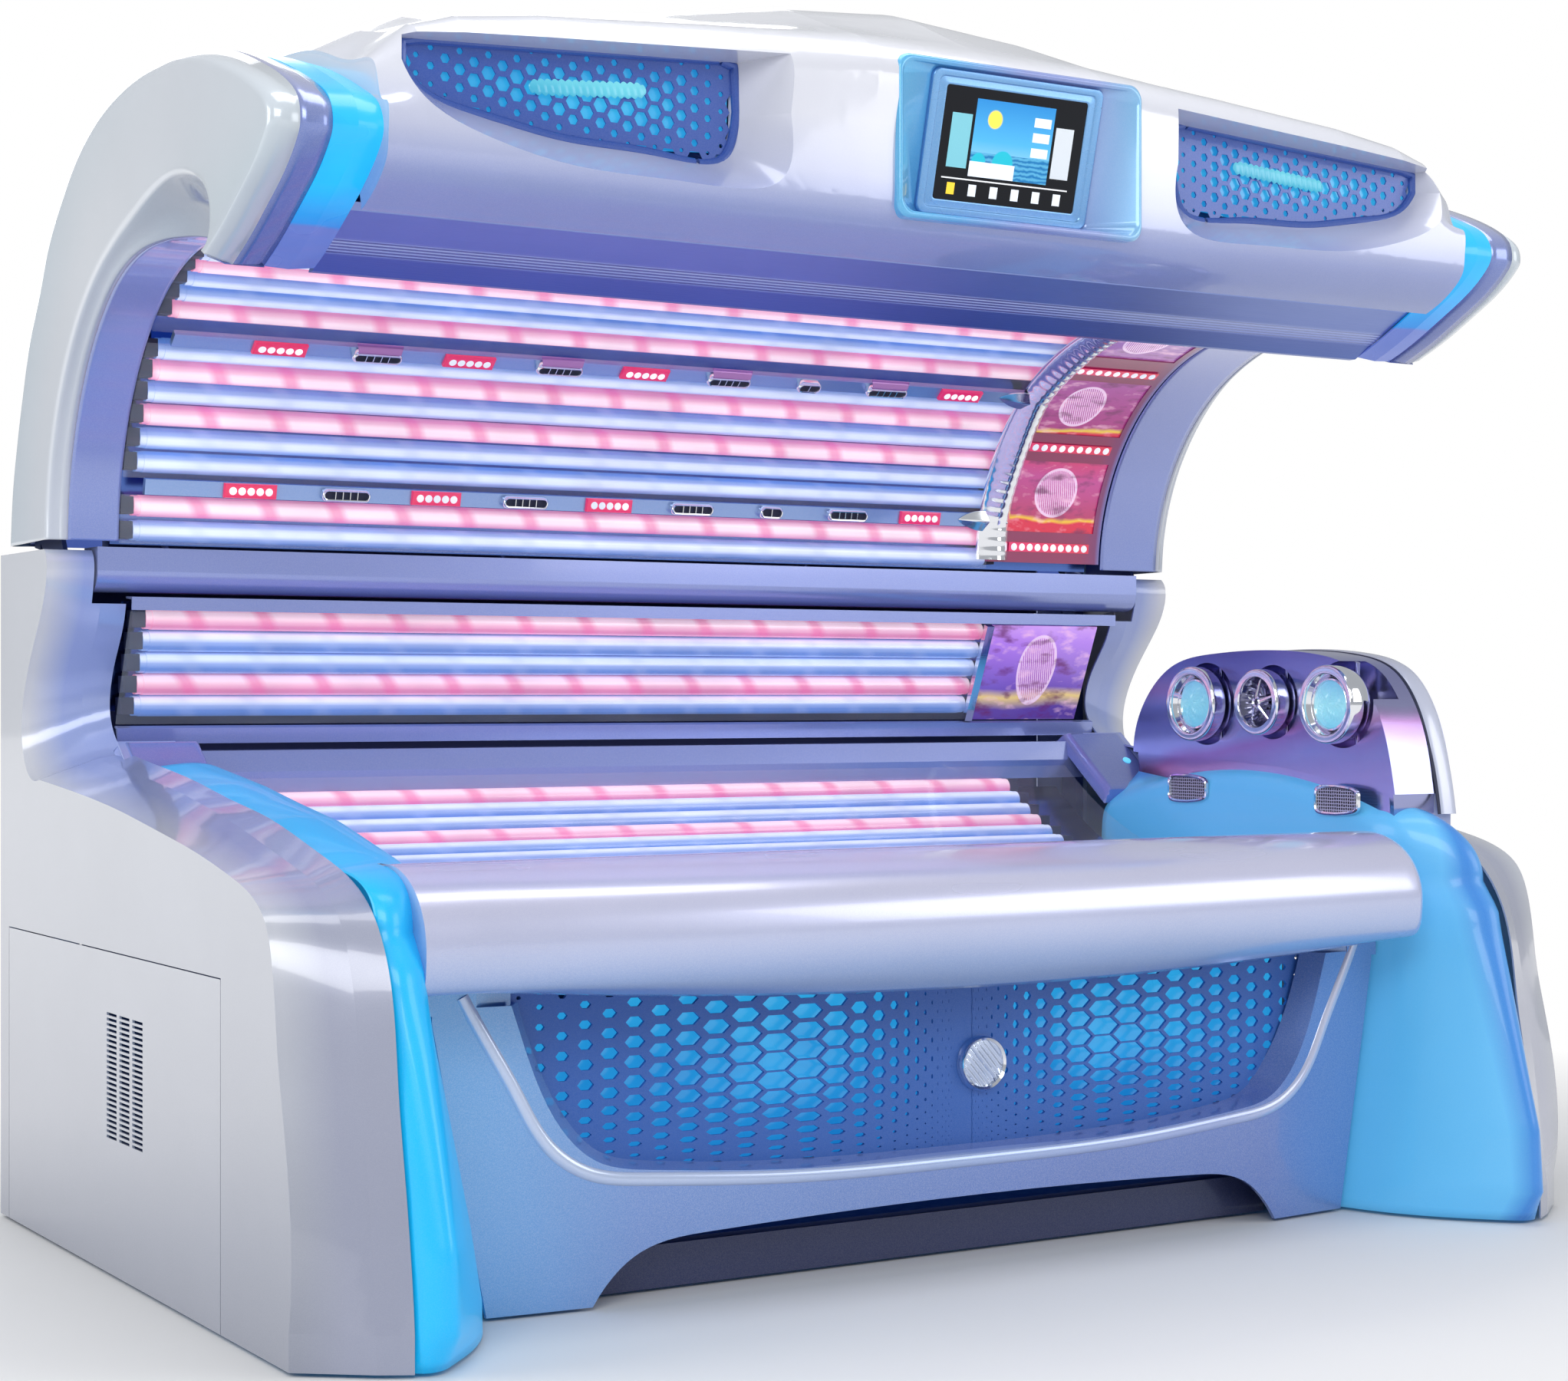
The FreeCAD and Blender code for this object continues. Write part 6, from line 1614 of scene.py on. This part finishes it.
@dataclass
class CanopyCaps:
    """The two hooked end caps of the canopy: scooped side face, front band and tunnel liner."""

    face: float = 1.2315
    ridge: float = 1.190
    seam: float = 1.140
    liner: tuple[float, float] = (1.108, 1.046)
    scoop: float = 0.082
    foot_depth: float = 0.024
    wall: float = 0.0025
    count: int = 220

    def build(self) -> None:
        """Builds both ends."""
        for side, liner in zip(Side, self.liner):
            self._cap(side, liner)

    def _lines(self) -> tuple[np.ndarray, np.ndarray, np.ndarray, np.ndarray]:
        """Outer line, crease, tunnel edge and the edge's depth, all in step from the foot to the tip."""
        crease_at = [1.6, 9, 17, 25, 32, 40, 48, 56, 64, 72, 80, 87, 93, 99, 105, 111, 116, 119.5, 122, 124, 125.5,
            126.3, 126.2, 125]
        crease_r = [0.482, 0.482, 0.482, 0.482, 0.482, 0.482, 0.483, 0.484, 0.486, 0.489, 0.496, 0.507, 0.522, 0.540,
            0.559, 0.574, 0.583, 0.584, 0.578, 0.566, 0.549, 0.531, 0.512, 0.497]
        edge_at = crease_at[:13] + [98, 103, 107, 110.5, 113, 115, 116.4, 117.5, 118.3, 119, 119.5]
        depth = [0.0] * 9 + [0.04, 0.14, 0.34, 0.58, 0.80, 0.94, 1.0, 1.0, 0.98, 0.94, 0.88, 0.80, 0.72, 0.62, 0.52]
        outer = matched(CAP, self.count)
        outer[:, 0] = np.where(outer[:, 0] < -0.70, -0.70 + 0.955 * (outer[:, 0] + 0.70), outer[:, 0])
        crease = matched(around(crease_at, crease_r), self.count)
        edge = matched(around(edge_at, [0.468] * 24), self.count)
        share = matched(np.asarray(depth)[:, None], self.count)[:, 0]
        sink = self.foot_depth + (self.scoop - self.foot_depth) * share
        return outer, crease, edge, sink

    def _cap(self, side: Side, liner: float) -> None:
        """One cap.

        Args:
            side: Which end.
            liner: X, without sign, where the tunnel liner stops.
        """
        s = float(side.value)
        outer, crease, edge, sink = self._lines()
        middle = 0.5 * (crease + edge)
        rows = [
            lift_row(edge, self.face - sink - 0.010),
            lift_row(edge, self.face - sink),
            lift_row(middle, self.face - 0.80 * sink),
            lift_row(crease, self.face),
            lift_row(0.5 * (crease + inset_line(outer, 0.014)), self.face),
            lift_row(inset_line(outer, 0.014), self.face),
            lift_row(outer, self.ridge),
        ]
        grid = rounded_rows(np.stack(rows) * side.mirror, [0, 0.005, 0.020, 0.014, 0.0, 0.014, 0], 7)
        shell = Sheet().grid(grid).piece(f"{side.word}_cap_shell", Palette.cap_shell, "canopy", sharp=50.0,
            toward=(s, 0, 0), wall=self.wall)
        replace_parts(shell, f"{side.word}_canopy_cap")
        band = Sheet()
        front = rounded_rows(np.stack([rows[-1], lift_row(inset_line(outer, 0.0005), 0.5 * (self.ridge + self.seam)),
            lift_row(inset_line(outer, 0.003), self.seam)]) * side.mirror, [0, 0.01, 0], 6)
        band.grid(front)
        ends = np.stack([outer[-1], edge[-1]])
        tip = np.stack([lift_row(ends, self.face - 0.030), lift_row(ends, self.seam)]) * side.mirror
        band.grid(tip)
        band.piece(f"{side.word}_cap_band", Palette.cap_band, "canopy", toward=(0, 0, 1), wall=self.wall)
        steps = np.linspace(0.0, 1.0, 14)[:, None, None]
        start, end = lift_row(edge, self.face - sink - 0.010), lift_row(edge, liner)
        arc = (start + (end - start) * steps) * side.mirror
        Sheet().grid(arc).piece(f"{side.word}_cap_liner", Palette.liner, "canopy", toward=(0, -1, -0.4),
            wall=self.wall)


@dataclass
class ShellEnds:
    """The curved returns that join the canopy shell's ends to the light strips."""

    end: float = 1.0595

    def build(self) -> None:
        """Ruled between the shell's last section and the strip's inner line, with a slight round."""
        z = np.asarray(CAP[:13])
        share = np.clip((z[:, 1] - 1.5) / 0.38, 0.0, 1.0)
        lifted = z + np.stack([np.zeros(13), 0.006 * share**1.6], axis=-1)
        top, brow = lifted[-1, 1], 1.836
        front = [(-0.200, top - 0.005), (-0.330, top - 0.26 * (top - brow)), (-0.470, brow + 0.33 * (top - brow)),
            (-0.538, brow + 0.010), (-0.568, brow - 0.046), (-0.578, 0.5 * (brow + 1.742)), (-0.586, 1.742),
            (-0.582, 1.712), (-0.556, 1.682), (-0.522, 1.660), (-0.488, 1.645)]
        shell = spread([tuple(p) for p in lifted] + front, 600, 240)
        strip = resample(inset_line(sample_curve(CAP[:21] + [(-0.488, 1.664)], 600), 0.006), 240)
        for side in Side:
            rows = [lift_row(inset_line(shell, 0.002), self.end - 0.004), lift_row(inset_line(shell, 0.0004),
                self.end), lift_row(0.5 * (shell + strip), self.end + 0.001), lift_row(strip, self.end + 0.0018)]
            Sheet().grid(rounded_rows(np.stack(rows) * side.mirror, [0, 0.002, 0.003, 0],
                4)).piece(f"{side.word}_shell_return", Palette.pearl, "canopy", outward=False, toward=(0, 0, 1))


@dataclass
class GlowPanels:
    """The lit inner panels: a trumpet at the front that rolls over a shoulder into the ledge beside the bench."""

    wall: float = 0.950
    seam_x: float = 1.0885
    join_y: float = -0.452
    back: float = 0.340
    top: float = 0.797
    across: int = 44
    leads: tuple[tuple[float, float], ...] = ((0.006, 0.0), (0.060, -0.038), (0.168, -0.0455), (0.339, -0.024),
        (0.441, -0.010), (0.517, 0.004), (0.600, 0.008))

    def build(self) -> None:
        """Builds both sides; the foot end's ledge lies level with its seam."""
        for side in Side:
            rows = [self._ledge(y, side) for y in np.linspace(self.back, self.join_y, 46)]
            first, last = rows[-1], self._trumpet(0.600)
            corner = xyz(0.5 * (first[:, 0] + last[:, 0]), last[:, 1], first[:, 2])
            for t in np.linspace(0.0, 1.0, 18)[1:-1]:
                rows.append((1 - t) ** 2 * first + 2 * t * (1 - t) * corner + t**2 * last)
            rows += [self._trumpet(z) for z in np.linspace(0.600, 0.006, 34)]
            panel = Sheet().grid(np.stack(rows) * side.mirror).piece(f"{side.word}_glow_panel", Palette.glow_panel,
                sharp=60.0, toward=(0, -1, 1), wall=COVER_WALL)
            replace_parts(panel, "side_glow_panels")

    def _ledge(self, y: float, side: Side) -> np.ndarray:
        """Section across the ledge at a depth y: up the inner wall, over a round edge and out to the seam."""
        seam_z = float(side_height(SEAM, np.array([y]))[0]) - 0.006
        top = self.top - 0.45 * (y + 0.070) ** 2
        shoulder = max(seam_z + 0.008, top) if y < 0.060 else 0.5 * (top + seam_z)
        if side is Side.LEFT:
            top, shoulder = seam_z + 0.004, seam_z + 0.006
        line = [(self.seam_x, seam_z), (self.seam_x - 0.050, shoulder), (self.wall + 0.044, 0.75 * top + 0.25
            * shoulder), (self.wall + 0.012, top - 0.014), (self.wall + 0.001, top - 0.060), (self.wall, 0.600)]
        curve = spread(line, 160, self.across)
        return xyz(curve[:, 0], y, curve[:, 1])

    def _trumpet(self, z: float) -> np.ndarray:
        """Section of the front panel at a height z: out of the seam, forward to the glow line and back to the skirt."""
        heights = np.asarray(self.leads)
        lead = float(np.interp(z, heights[:, 0], heights[:, 1]))
        seam = np.asarray(SEAM)
        y = float(np.interp(z, seam[:, 1], seam[:, 0]))
        d = 0.19 * max(0.0, 0.472 - z)
        reach = self.join_y - y - lead
        line = [(self.seam_x, y + 0.014), (1.073, y + 0.55 * lead), (1.047, y + lead + 0.002),
            (1.027, y + lead + 0.018), (1.006 - 0.5 * d, y + lead + 0.3 * reach), (0.972 - 0.85 * d, y + lead + 0.65
            * reach), (self.wall - d, self.join_y)]
        curve = spread(line, 160, self.across)
        return xyz(curve[:, 0], curve[:, 1], z)


@dataclass
class ConsoleTrim:
    """The black line round the head console and its white cowl edge."""

    line: tuple[tuple[float, float], ...] = ((0.262, 0.822), (0.256, 0.866), (0.214, 0.940), (0.140, 0.996),
        (0.020, 1.020), (-0.140, 1.026), (-0.290, 1.016), (-0.392, 0.984), (-0.448, 0.920), (-0.480, 0.840),
        (-0.500, 0.756), (-0.506, 0.718))

    def build(self) -> None:
        """Two bands carried along the console's outline, each a flat arch in section."""
        outline = spread(self.line, 300, 160)
        for name, x0, x1, proud, finish in (("console_seam", 1.072, 1.080, 0.0012, Palette.black), ("console_cowl",
            1.081, 1.119, 0.003, Palette.cowl)):
            t = np.linspace(0.0, 1.0, 9)[:, None]
            rise = proud * np.sin(math.pi * t) ** 0.35
            y, z = np.moveaxis(inset_line(outline, -rise), -1, 0)
            Sheet().grid(xyz(x0 + (x1 - x0) * t, y, z)).piece(name, finish)


@dataclass
class Bumper:
    """The bowed front rail of the bench: a full section with a round end at the head end."""

    left: float = -1.024
    right: float = 0.945
    half: float = 0.945
    bow: float = 0.022
    low: float = 0.468
    lift: float = 0.042
    round_end: float = 0.052
    root: float = SKIRT_Y

    def build(self) -> None:
        """Sections along X; the last ones draw in to the section's middle as sqrt(1 - t^2)."""
        t = np.sin(np.linspace(0.0, math.pi / 2, 14))
        x = np.concatenate([np.linspace(self.left, self.right - self.round_end, 90)[:-1],
            self.right - self.round_end + self.round_end * t])
        rows = np.stack([self._section(float(v)) for v in x])
        reach = np.clip((x - (self.right - self.round_end)) / self.round_end, 0.0, 1.0)
        shrink = np.sqrt(np.clip(1.0 - reach**2, 0.0, 1.0))[:, None]
        middle_z = 0.5 * (rows[:, :, 2].min(1) + rows[:, :, 2].max(1))[:, None]
        squeeze = 0.45 + 0.55 * shrink
        rows[:, :, 2] = middle_z + (rows[:, :, 2] - middle_z) * squeeze
        rows[:, :, 1] = self.root + (rows[:, :, 1] - self.root) * (0.30 + 0.70 * shrink)
        sheet = Sheet()
        sheet.grid(rows)
        for end in (rows[-1], rows[0]):
            sheet.grid(np.stack([end, xyz(end[:, 0], self.root, end[:, 2])]))
        rail = sheet.piece("bench_bumper", Palette.bumper, sharp=60.0, toward=(0, -1, 0), wall=COVER_WALL)
        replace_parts(rail, "bench_front_rail")

    def _section(self, x: float) -> np.ndarray:
        """Section at x: the bow and the lift of the lower edge follow (x / half)^2."""
        part = min(abs(x) / self.half, 1.0) ** 2
        b = self.bow * (1.0 - part)
        low = self.low + self.lift * part
        line = [(-0.466, 0.690), (-0.505, 0.692), (-0.560 - b / 2, 0.680), (-0.610 - b, 0.645), (-0.634 - b, 0.598),
            (-0.636 - b, 0.556), (-0.622 - b, 0.512), (-0.592 - b / 2, low)]
        curve = spread(line, 200, 48)
        return xyz(x, curve[:, 0], curve[:, 1])


@dataclass
class ConsoleSkirt:
    """The foot of the head console, down to the ledge inside and to the end panel outside."""

    inner: float = 0.9735
    outer: float = 1.1185
    base: tuple[tuple[float, float], ...] = ((-0.496, 0.758), (-0.380, 0.771), (-0.200, 0.799), (0.060, 0.813),
        (0.258, 0.823))

    def build(self) -> None:
        """Rows: inner foot, inner top, outer top, outer foot, with rounded corners; both ends closed."""
        y = np.linspace(-0.492, 0.250, 60)
        line = np.asarray(self.base)
        top = np.interp(y, line[:, 0], line[:, 1]) + 0.004
        seam = side_height(SEAM, y)
        ledge = np.maximum(0.797 - 0.45 * (y + 0.07) ** 2, seam) - 0.030
        panel = seam - 0.012
        rows = np.stack([
            xyz(self.inner + 0.004, y, np.minimum(ledge, top - 0.004)),
            xyz(self.inner, y, top),
            xyz(self.outer, y, top),
            xyz(self.outer, y, np.minimum(panel, top - 0.004)),
        ])
        sheet = Sheet()
        sheet.grid(rounded_rows(rows, [0, 0.004, 0.004, 0], 4))
        for end in (0, -1):
            sheet.face(rows[:, end])
        sheet.piece("console_skirt", Palette.console)


def rounded_box(half_x: float, half_z: float, radius: float, count: int = 12) -> np.ndarray:
    """Outline (n, 2) of a rectangle with round corners, each corner a quarter of a circle."""
    t = np.linspace(0.0, math.pi / 2, count)
    arc = np.stack([np.cos(t), np.sin(t)], axis=-1)
    corners = []
    for k in range(4):
        c, d = (1, 0, -1, 0)[k], (0, 1, 0, -1)[k]
        turned_arc = arc @ np.array([[c, d], [-d, c]])
        sx, sz = (1, -1, -1, 1)[k], (1, 1, -1, -1)[k]
        corners.append(np.array([sx * (half_x - radius), sz * (half_z - radius)]) + radius * turned_arc)
    return np.concatenate(corners)


@dataclass
class DisplayBay:
    """The stepped bezel round the screen and the moulded recess that leads out to the shell."""

    centre: Point = (0.060, -0.556, 1.835)
    lean: float = 14.0
    half: tuple[float, float] = (0.172, 0.116)
    mouth: tuple[float, float, float, float] = (-0.1857, 0.2968, 1.7045, 1.9546)
    front: float = -0.590

    def build(self) -> None:
        """Rounded loops: the bezel's steps in its leaning plane, then the recess out to its raised rim."""
        steps = ((0.0, 0.012), (0.0, 0.0015), (0.0015, 0.0), (0.013, 0.0), (0.0148, 0.0022), (0.0265, 0.0006),
            (0.0292, 0.0010), (0.0294, 0.006))
        loops = [self._leaning(inset, depth) for inset, depth in steps]
        bezel = Sheet()
        bezel.grid(rounded_rows(np.stack(loops), [0, 0.001, 0.001, 0.001, 0.001, 0.001, 0.0003, 0], 3), wrap=True)
        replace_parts(bezel.piece("display_bezel_frame", Palette.bezel, "canopy", sharp=60.0), "display_bezel")
        x0, x1, z0, z1 = self.mouth
        rows = []
        for grow, y in ((0.006, -0.574), (0.006, -0.592), (0.003, -0.5965), (-0.001, -0.5975), (-0.005, -0.594)):
            line = rounded_box(0.5 * (x1 - x0) + grow, 0.5 * (z1 - z0) + grow, 0.024)
            rows.append(xyz(0.5 * (x0 + x1) + line[:, 0], y, 0.5 * (z0 + z1) + line[:, 1]))
        rows += [self._leaning(-0.004, 0.004), self._leaning(0.004, 0.011)]
        Sheet().grid(rounded_rows(np.stack(rows), [0, 0.001, 0.002, 0.002, 0.002, 0.004, 0], 4),
            wrap=True).piece("display_recess", Palette.recess, "canopy", sharp=70.0, toward=(0, -1, 0))

    def _leaning(self, inset: float, depth: float) -> np.ndarray:
        """A loop drawn in by an inset and set back by a depth, turned by the lean about X."""
        line = rounded_box(self.half[0] - inset, self.half[1] - inset * 0.83, max(0.004, 0.014 - 0.3 * inset))
        a = math.radians(self.lean)
        y = self.centre[1] + depth * math.cos(a) - line[:, 1] * math.sin(a)
        z = self.centre[2] + depth * math.sin(a) + line[:, 1] * math.cos(a)
        return xyz(self.centre[0] + line[:, 0], y, z)


@dataclass
class ColumnPads:
    """The soft sloping pads at the feet of the columns; the start button sits in the head-end one."""

    low: tuple[float, float] = (0.318, 0.736)
    high: tuple[float, float] = (0.482, 0.864)
    across: tuple[float, float] = (0.953, 1.107)

    def build(self) -> None:
        """Height over the slope: 1.4 mm - 30 mm * (1 - edge)^3, where edge rises from each border within 18 mm."""
        for side in Side:
            u = np.linspace(0.0, 1.0, 40)[None]
            v = np.linspace(0.0, 1.0, 40)[:, None]
            width, length = self.across[1] - self.across[0], math.dist(self.low, self.high)
            near = np.minimum(np.minimum(u, 1 - u) * width, np.minimum(v, 1 - v) * length)
            lift = 0.0014 - 0.030 * (1.0 - np.clip(near / 0.018, 0.0, 1.0)) ** 3
            cy, cz = (self.high[0] - self.low[0]) / length, (self.high[1] - self.low[1]) / length
            x = self.across[0] + width * u + 0 * v
            y = self.low[0] + (self.high[0] - self.low[0]) * v - cz * lift
            z = self.low[1] + (self.high[1] - self.low[1]) * v + cy * lift
            Sheet().grid(xyz(x * float(side.value), y, z)).piece(f"{side.word}_column_pad", Palette.liner,
                outward=False, toward=(0, -1, 1))


ASSEMBLIES: tuple[type, ...] = (FrontGrille, VisorGrilles, TunnelFittings, FaceDivider, SwivelPods, Speakers,
    CanopyCaps, ShellEnds, GlowPanels, Bumper, ConsoleTrim, ConsoleSkirt, DisplayBay, ColumnPads)


# ---------------------------------------------------------------- carried-over solids


@dataclass
class FrameSolids:
    """The CAD solids that stay visible, and the finish each one gets."""

    finishes: dict[str, Finish]

    def dress(self) -> None:
        """Gives each solid its finish."""
        for name, finish in self.finishes.items():
            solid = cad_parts[name]
            made = finish.material()
            if not solid.material_slots:
                solid.data.materials.append(made)
            for slot in solid.material_slots:
                slot.material = made
            LOG.info("%s: finish %s", name, finish.name)


def frame_finishes() -> dict[str, Finish]:
    """The finish of each CAD solid.

    Returns:
        Finishes by node name.
    """
    p = Palette
    by_finish: list[tuple[Finish, str]] = [
        (p.rails, "accessory_rails"),
        (p.chrome, "air_nozzles air_pod left_lamp_pod right_lamp_pod mid_face_divider"),
        (p.steel, "ballasts base_frame canopy_frame left_gas_cylinder right_gas_cylinder rear_cover"),
        (p.black, "base_lamp_sockets canopy_lamp_sockets fan_housing fan_impeller power_inlet"),
        (p.bench_pink, "base_lamps_tinted"),
        (p.bench_white, "base_lamps_white"),
        (p.mirror, "base_reflectors canopy_reflector"),
        (p.acrylic, "bench_acrylic canopy_acrylic mid_acrylic"),
        (p.bumper, "bench_front_rail"),
        (p.lilac, "bench_rear_profile canopy_lower_rail mid_rails"),
        (p.aluminium, "canopy_front_profile"),
        (p.cap_strip, "canopy_glow_strips"),
        (p.grille, "canopy_grilles front_grille"),
        (p.roof_pink, "canopy_lamps_tinted"),
        (p.roof_white, "canopy_lamps_white"),
        (p.pearl, "canopy_shell"),
        (p.console, "head_console"),
        (p.bezel, "display_bezel"),
        (p.screen, "display_glass"),
        (p.face_frame, "face_tanner_frame"),
        (p.face_glass, "face_tanner_glass"),
        (p.diffuser, "front_diffuser"),
        (p.fascia, "front_fascia"),
        (p.lens, "grille_lens"),
        (p.zinc, "hinge_brackets hinge_pins left_gas_rod right_gas_rod"),
        (p.kick, "kick_plate"),
        (p.led_body, "led_modules"),
        (p.cap_shell, "left_canopy_cap right_canopy_cap"),
        (p.end_shell, "left_end_panel right_end_panel"),
        (p.rubber, "levelling_feet"),
        (p.mid_glass, "mid_face_glass"),
        (p.door, "service_doors"),
        (p.glow_panel, "side_glow_panels"),
        (p.speaker, "speakers"),
        (p.button, "start_button"),
    ]
    return {name: finish for finish, names in by_finish for name in names.split()}


# ---------------------------------------------------------------- studio


@dataclass(frozen=True)
class Softbox:
    """A rectangular soft lamp: where it hangs, what it is aimed at, its sides and its power in watts."""

    name: str
    place: Point
    target: Point
    width: float
    height: float
    power: float

    def build(self) -> None:
        """Places the lamp and aims it."""
        from mathutils import Vector

        light = bpy.data.lights.new(self.name, "AREA")
        light.shape, light.energy = "RECTANGLE", self.power
        light.size, light.size_y = self.width, self.height
        lamp = bpy.data.objects.new(self.name, light)
        bpy.context.scene.collection.objects.link(lamp)
        lamp.location = self.place
        way = Vector(self.target) - Vector(self.place)
        lamp.rotation_euler = way.to_track_quat("-Z", "Y").to_euler()


@dataclass
class Studio:
    """Pale floor, soft lamps, plain world and the camera."""

    floor_tone: float = 0.80
    floor_reach: float = 60.0
    world_tone: float = 0.50
    eye: Point = (-2.66, -4.26, 0.94)
    heading: float = -31.616
    focal: float = 63.92
    rise: float = 0.00245
    lamps: tuple[Softbox, ...] = (
        Softbox("key_softbox", (-3.4, -4.6, 3.6), (0.0, -0.3, 0.9), 3.0, 2.2, 105.0),
        Softbox("side_softbox", (-5.2, 0.6, 2.4), (-1.2, 0.0, 0.9), 2.6, 2.6, 66.0),
        Softbox("fill_softbox", (3.6, -4.2, 2.6), (0.4, 0.0, 0.9), 3.0, 2.4, 60.0),
        Softbox("top_softbox", (0.0, -0.6, 4.4), (0.0, -0.2, 0.8), 3.4, 2.0, 62.0),
        Softbox("back_softbox", (0.5, 4.0, 3.0), (0.0, 0.3, 1.0), 3.4, 2.2, 46.0),
    )

    def build(self) -> None:
        """Builds the floor, the world, the lamps and the camera."""
        self._floor()
        self._world()
        for lamp in self.lamps:
            lamp.build()
        self._camera()

    def _floor(self) -> None:
        """A wide flat floor, white where the camera sees it straight, with the bed's shadow."""
        a = circle(96)
        ring = xyz(np.cos(a), np.sin(a), 0.0)[None] * np.linspace(0.0, self.floor_reach, 4)[1:, None, None]
        sheet = Sheet().rings(ring, 0)
        mesh = bpy.data.meshes.new("floor")
        mesh.from_pydata(np.concatenate(sheet.points).tolist(), [], sheet.faces)
        floor = bpy.data.objects.new("floor", mesh)
        bpy.context.scene.collection.objects.link(floor)
        made = bpy.data.materials.new("studio_floor")
        made.use_nodes = True
        board = Board(made.node_tree)
        cloud = board.noise(board.at(), 1.5, 3.0)
        tint = board.fit(cloud, 0.3, 0.7, self.floor_tone - 0.01, self.floor_tone + 0.01)
        board.shade(Base_Color=board.join(tint, tint, tint), Roughness=0.75)
        reach = board.vector("LENGTH", board.vector("MULTIPLY", board.at(), (0.72, 1.0, 0.0)))
        far = board.fit(reach, 1.15, 2.3)
        white = board.node("ShaderNodeEmission")
        shader = made.node_tree.nodes["Principled BSDF"]
        blend = self._blend(board, self._seen(board, "Is Glossy Ray") * far, shader, white)
        board.put(blend, made.node_tree.nodes["Material Output"].inputs[0])
        mesh.materials.append(made)

    def _world(self) -> None:
        """Even grey light; the camera and glass see white."""
        world = bpy.data.worlds.new("studio")
        bpy.context.scene.world = world
        world.use_nodes = True
        board = Board(world.node_tree)
        board.tree.nodes.clear()
        sky = []
        for colour, strength in (((0.93, 0.96, 1.0), self.world_tone), ((1.0, 1.0, 1.0), 1.0)):
            sky.append(board.node("ShaderNodeBackground"))
            board.put(colour, sky[-1].inputs["Color"])
            board.put(strength, sky[-1].inputs["Strength"])
        blend = self._blend(board, self._seen(board, "Is Transmission Ray"), *sky)
        board.put(blend, board.node("ShaderNodeOutputWorld").inputs[0])

    @staticmethod
    def _seen(board: Board, also: str) -> Wire:
        """1 for rays from the camera and for one other kind, 0 for the rest."""
        path = board.node("ShaderNodeLightPath")
        return board.math("MAXIMUM", *(Wire(board, path.outputs[kind]) for kind in ("Is Camera Ray", also)))

    @staticmethod
    def _blend(board: Board, share: Wire, first: bpy.types.Node, second: bpy.types.Node) -> Wire:
        """Two shaders mixed by a share of the second."""
        made = board.node("ShaderNodeMixShader")
        for value, socket in zip((share, Wire(board, first.outputs[0]), Wire(board, second.outputs[0])), made.inputs):
            board.put(value, socket)
        return Wire(board, made.outputs[0])

    def _camera(self) -> None:
        """The level camera at the left front of the bed."""
        data = bpy.data.cameras.new("camera")
        data.lens, data.sensor_width, data.shift_y = self.focal, 36.0, self.rise
        data.clip_end = 200.0
        camera = bpy.data.objects.new("camera", data)
        bpy.context.scene.collection.objects.link(camera)
        camera.location = self.eye
        camera.rotation_euler = (math.radians(90.0), 0.0, math.radians(self.heading))
        bpy.context.scene.camera = camera


def main() -> None:
    """Builds the studio, dresses the solids and builds each sub-assembly in order."""
    bpy.context.scene.view_settings.view_transform = "Standard"
    Studio().build()
    FrameSolids(frame_finishes()).dress()
    for assembly in ASSEMBLIES:
        LOG.info("building %s", assembly.__name__)
        assembly().build()


if __name__ == "__main__":
    main()
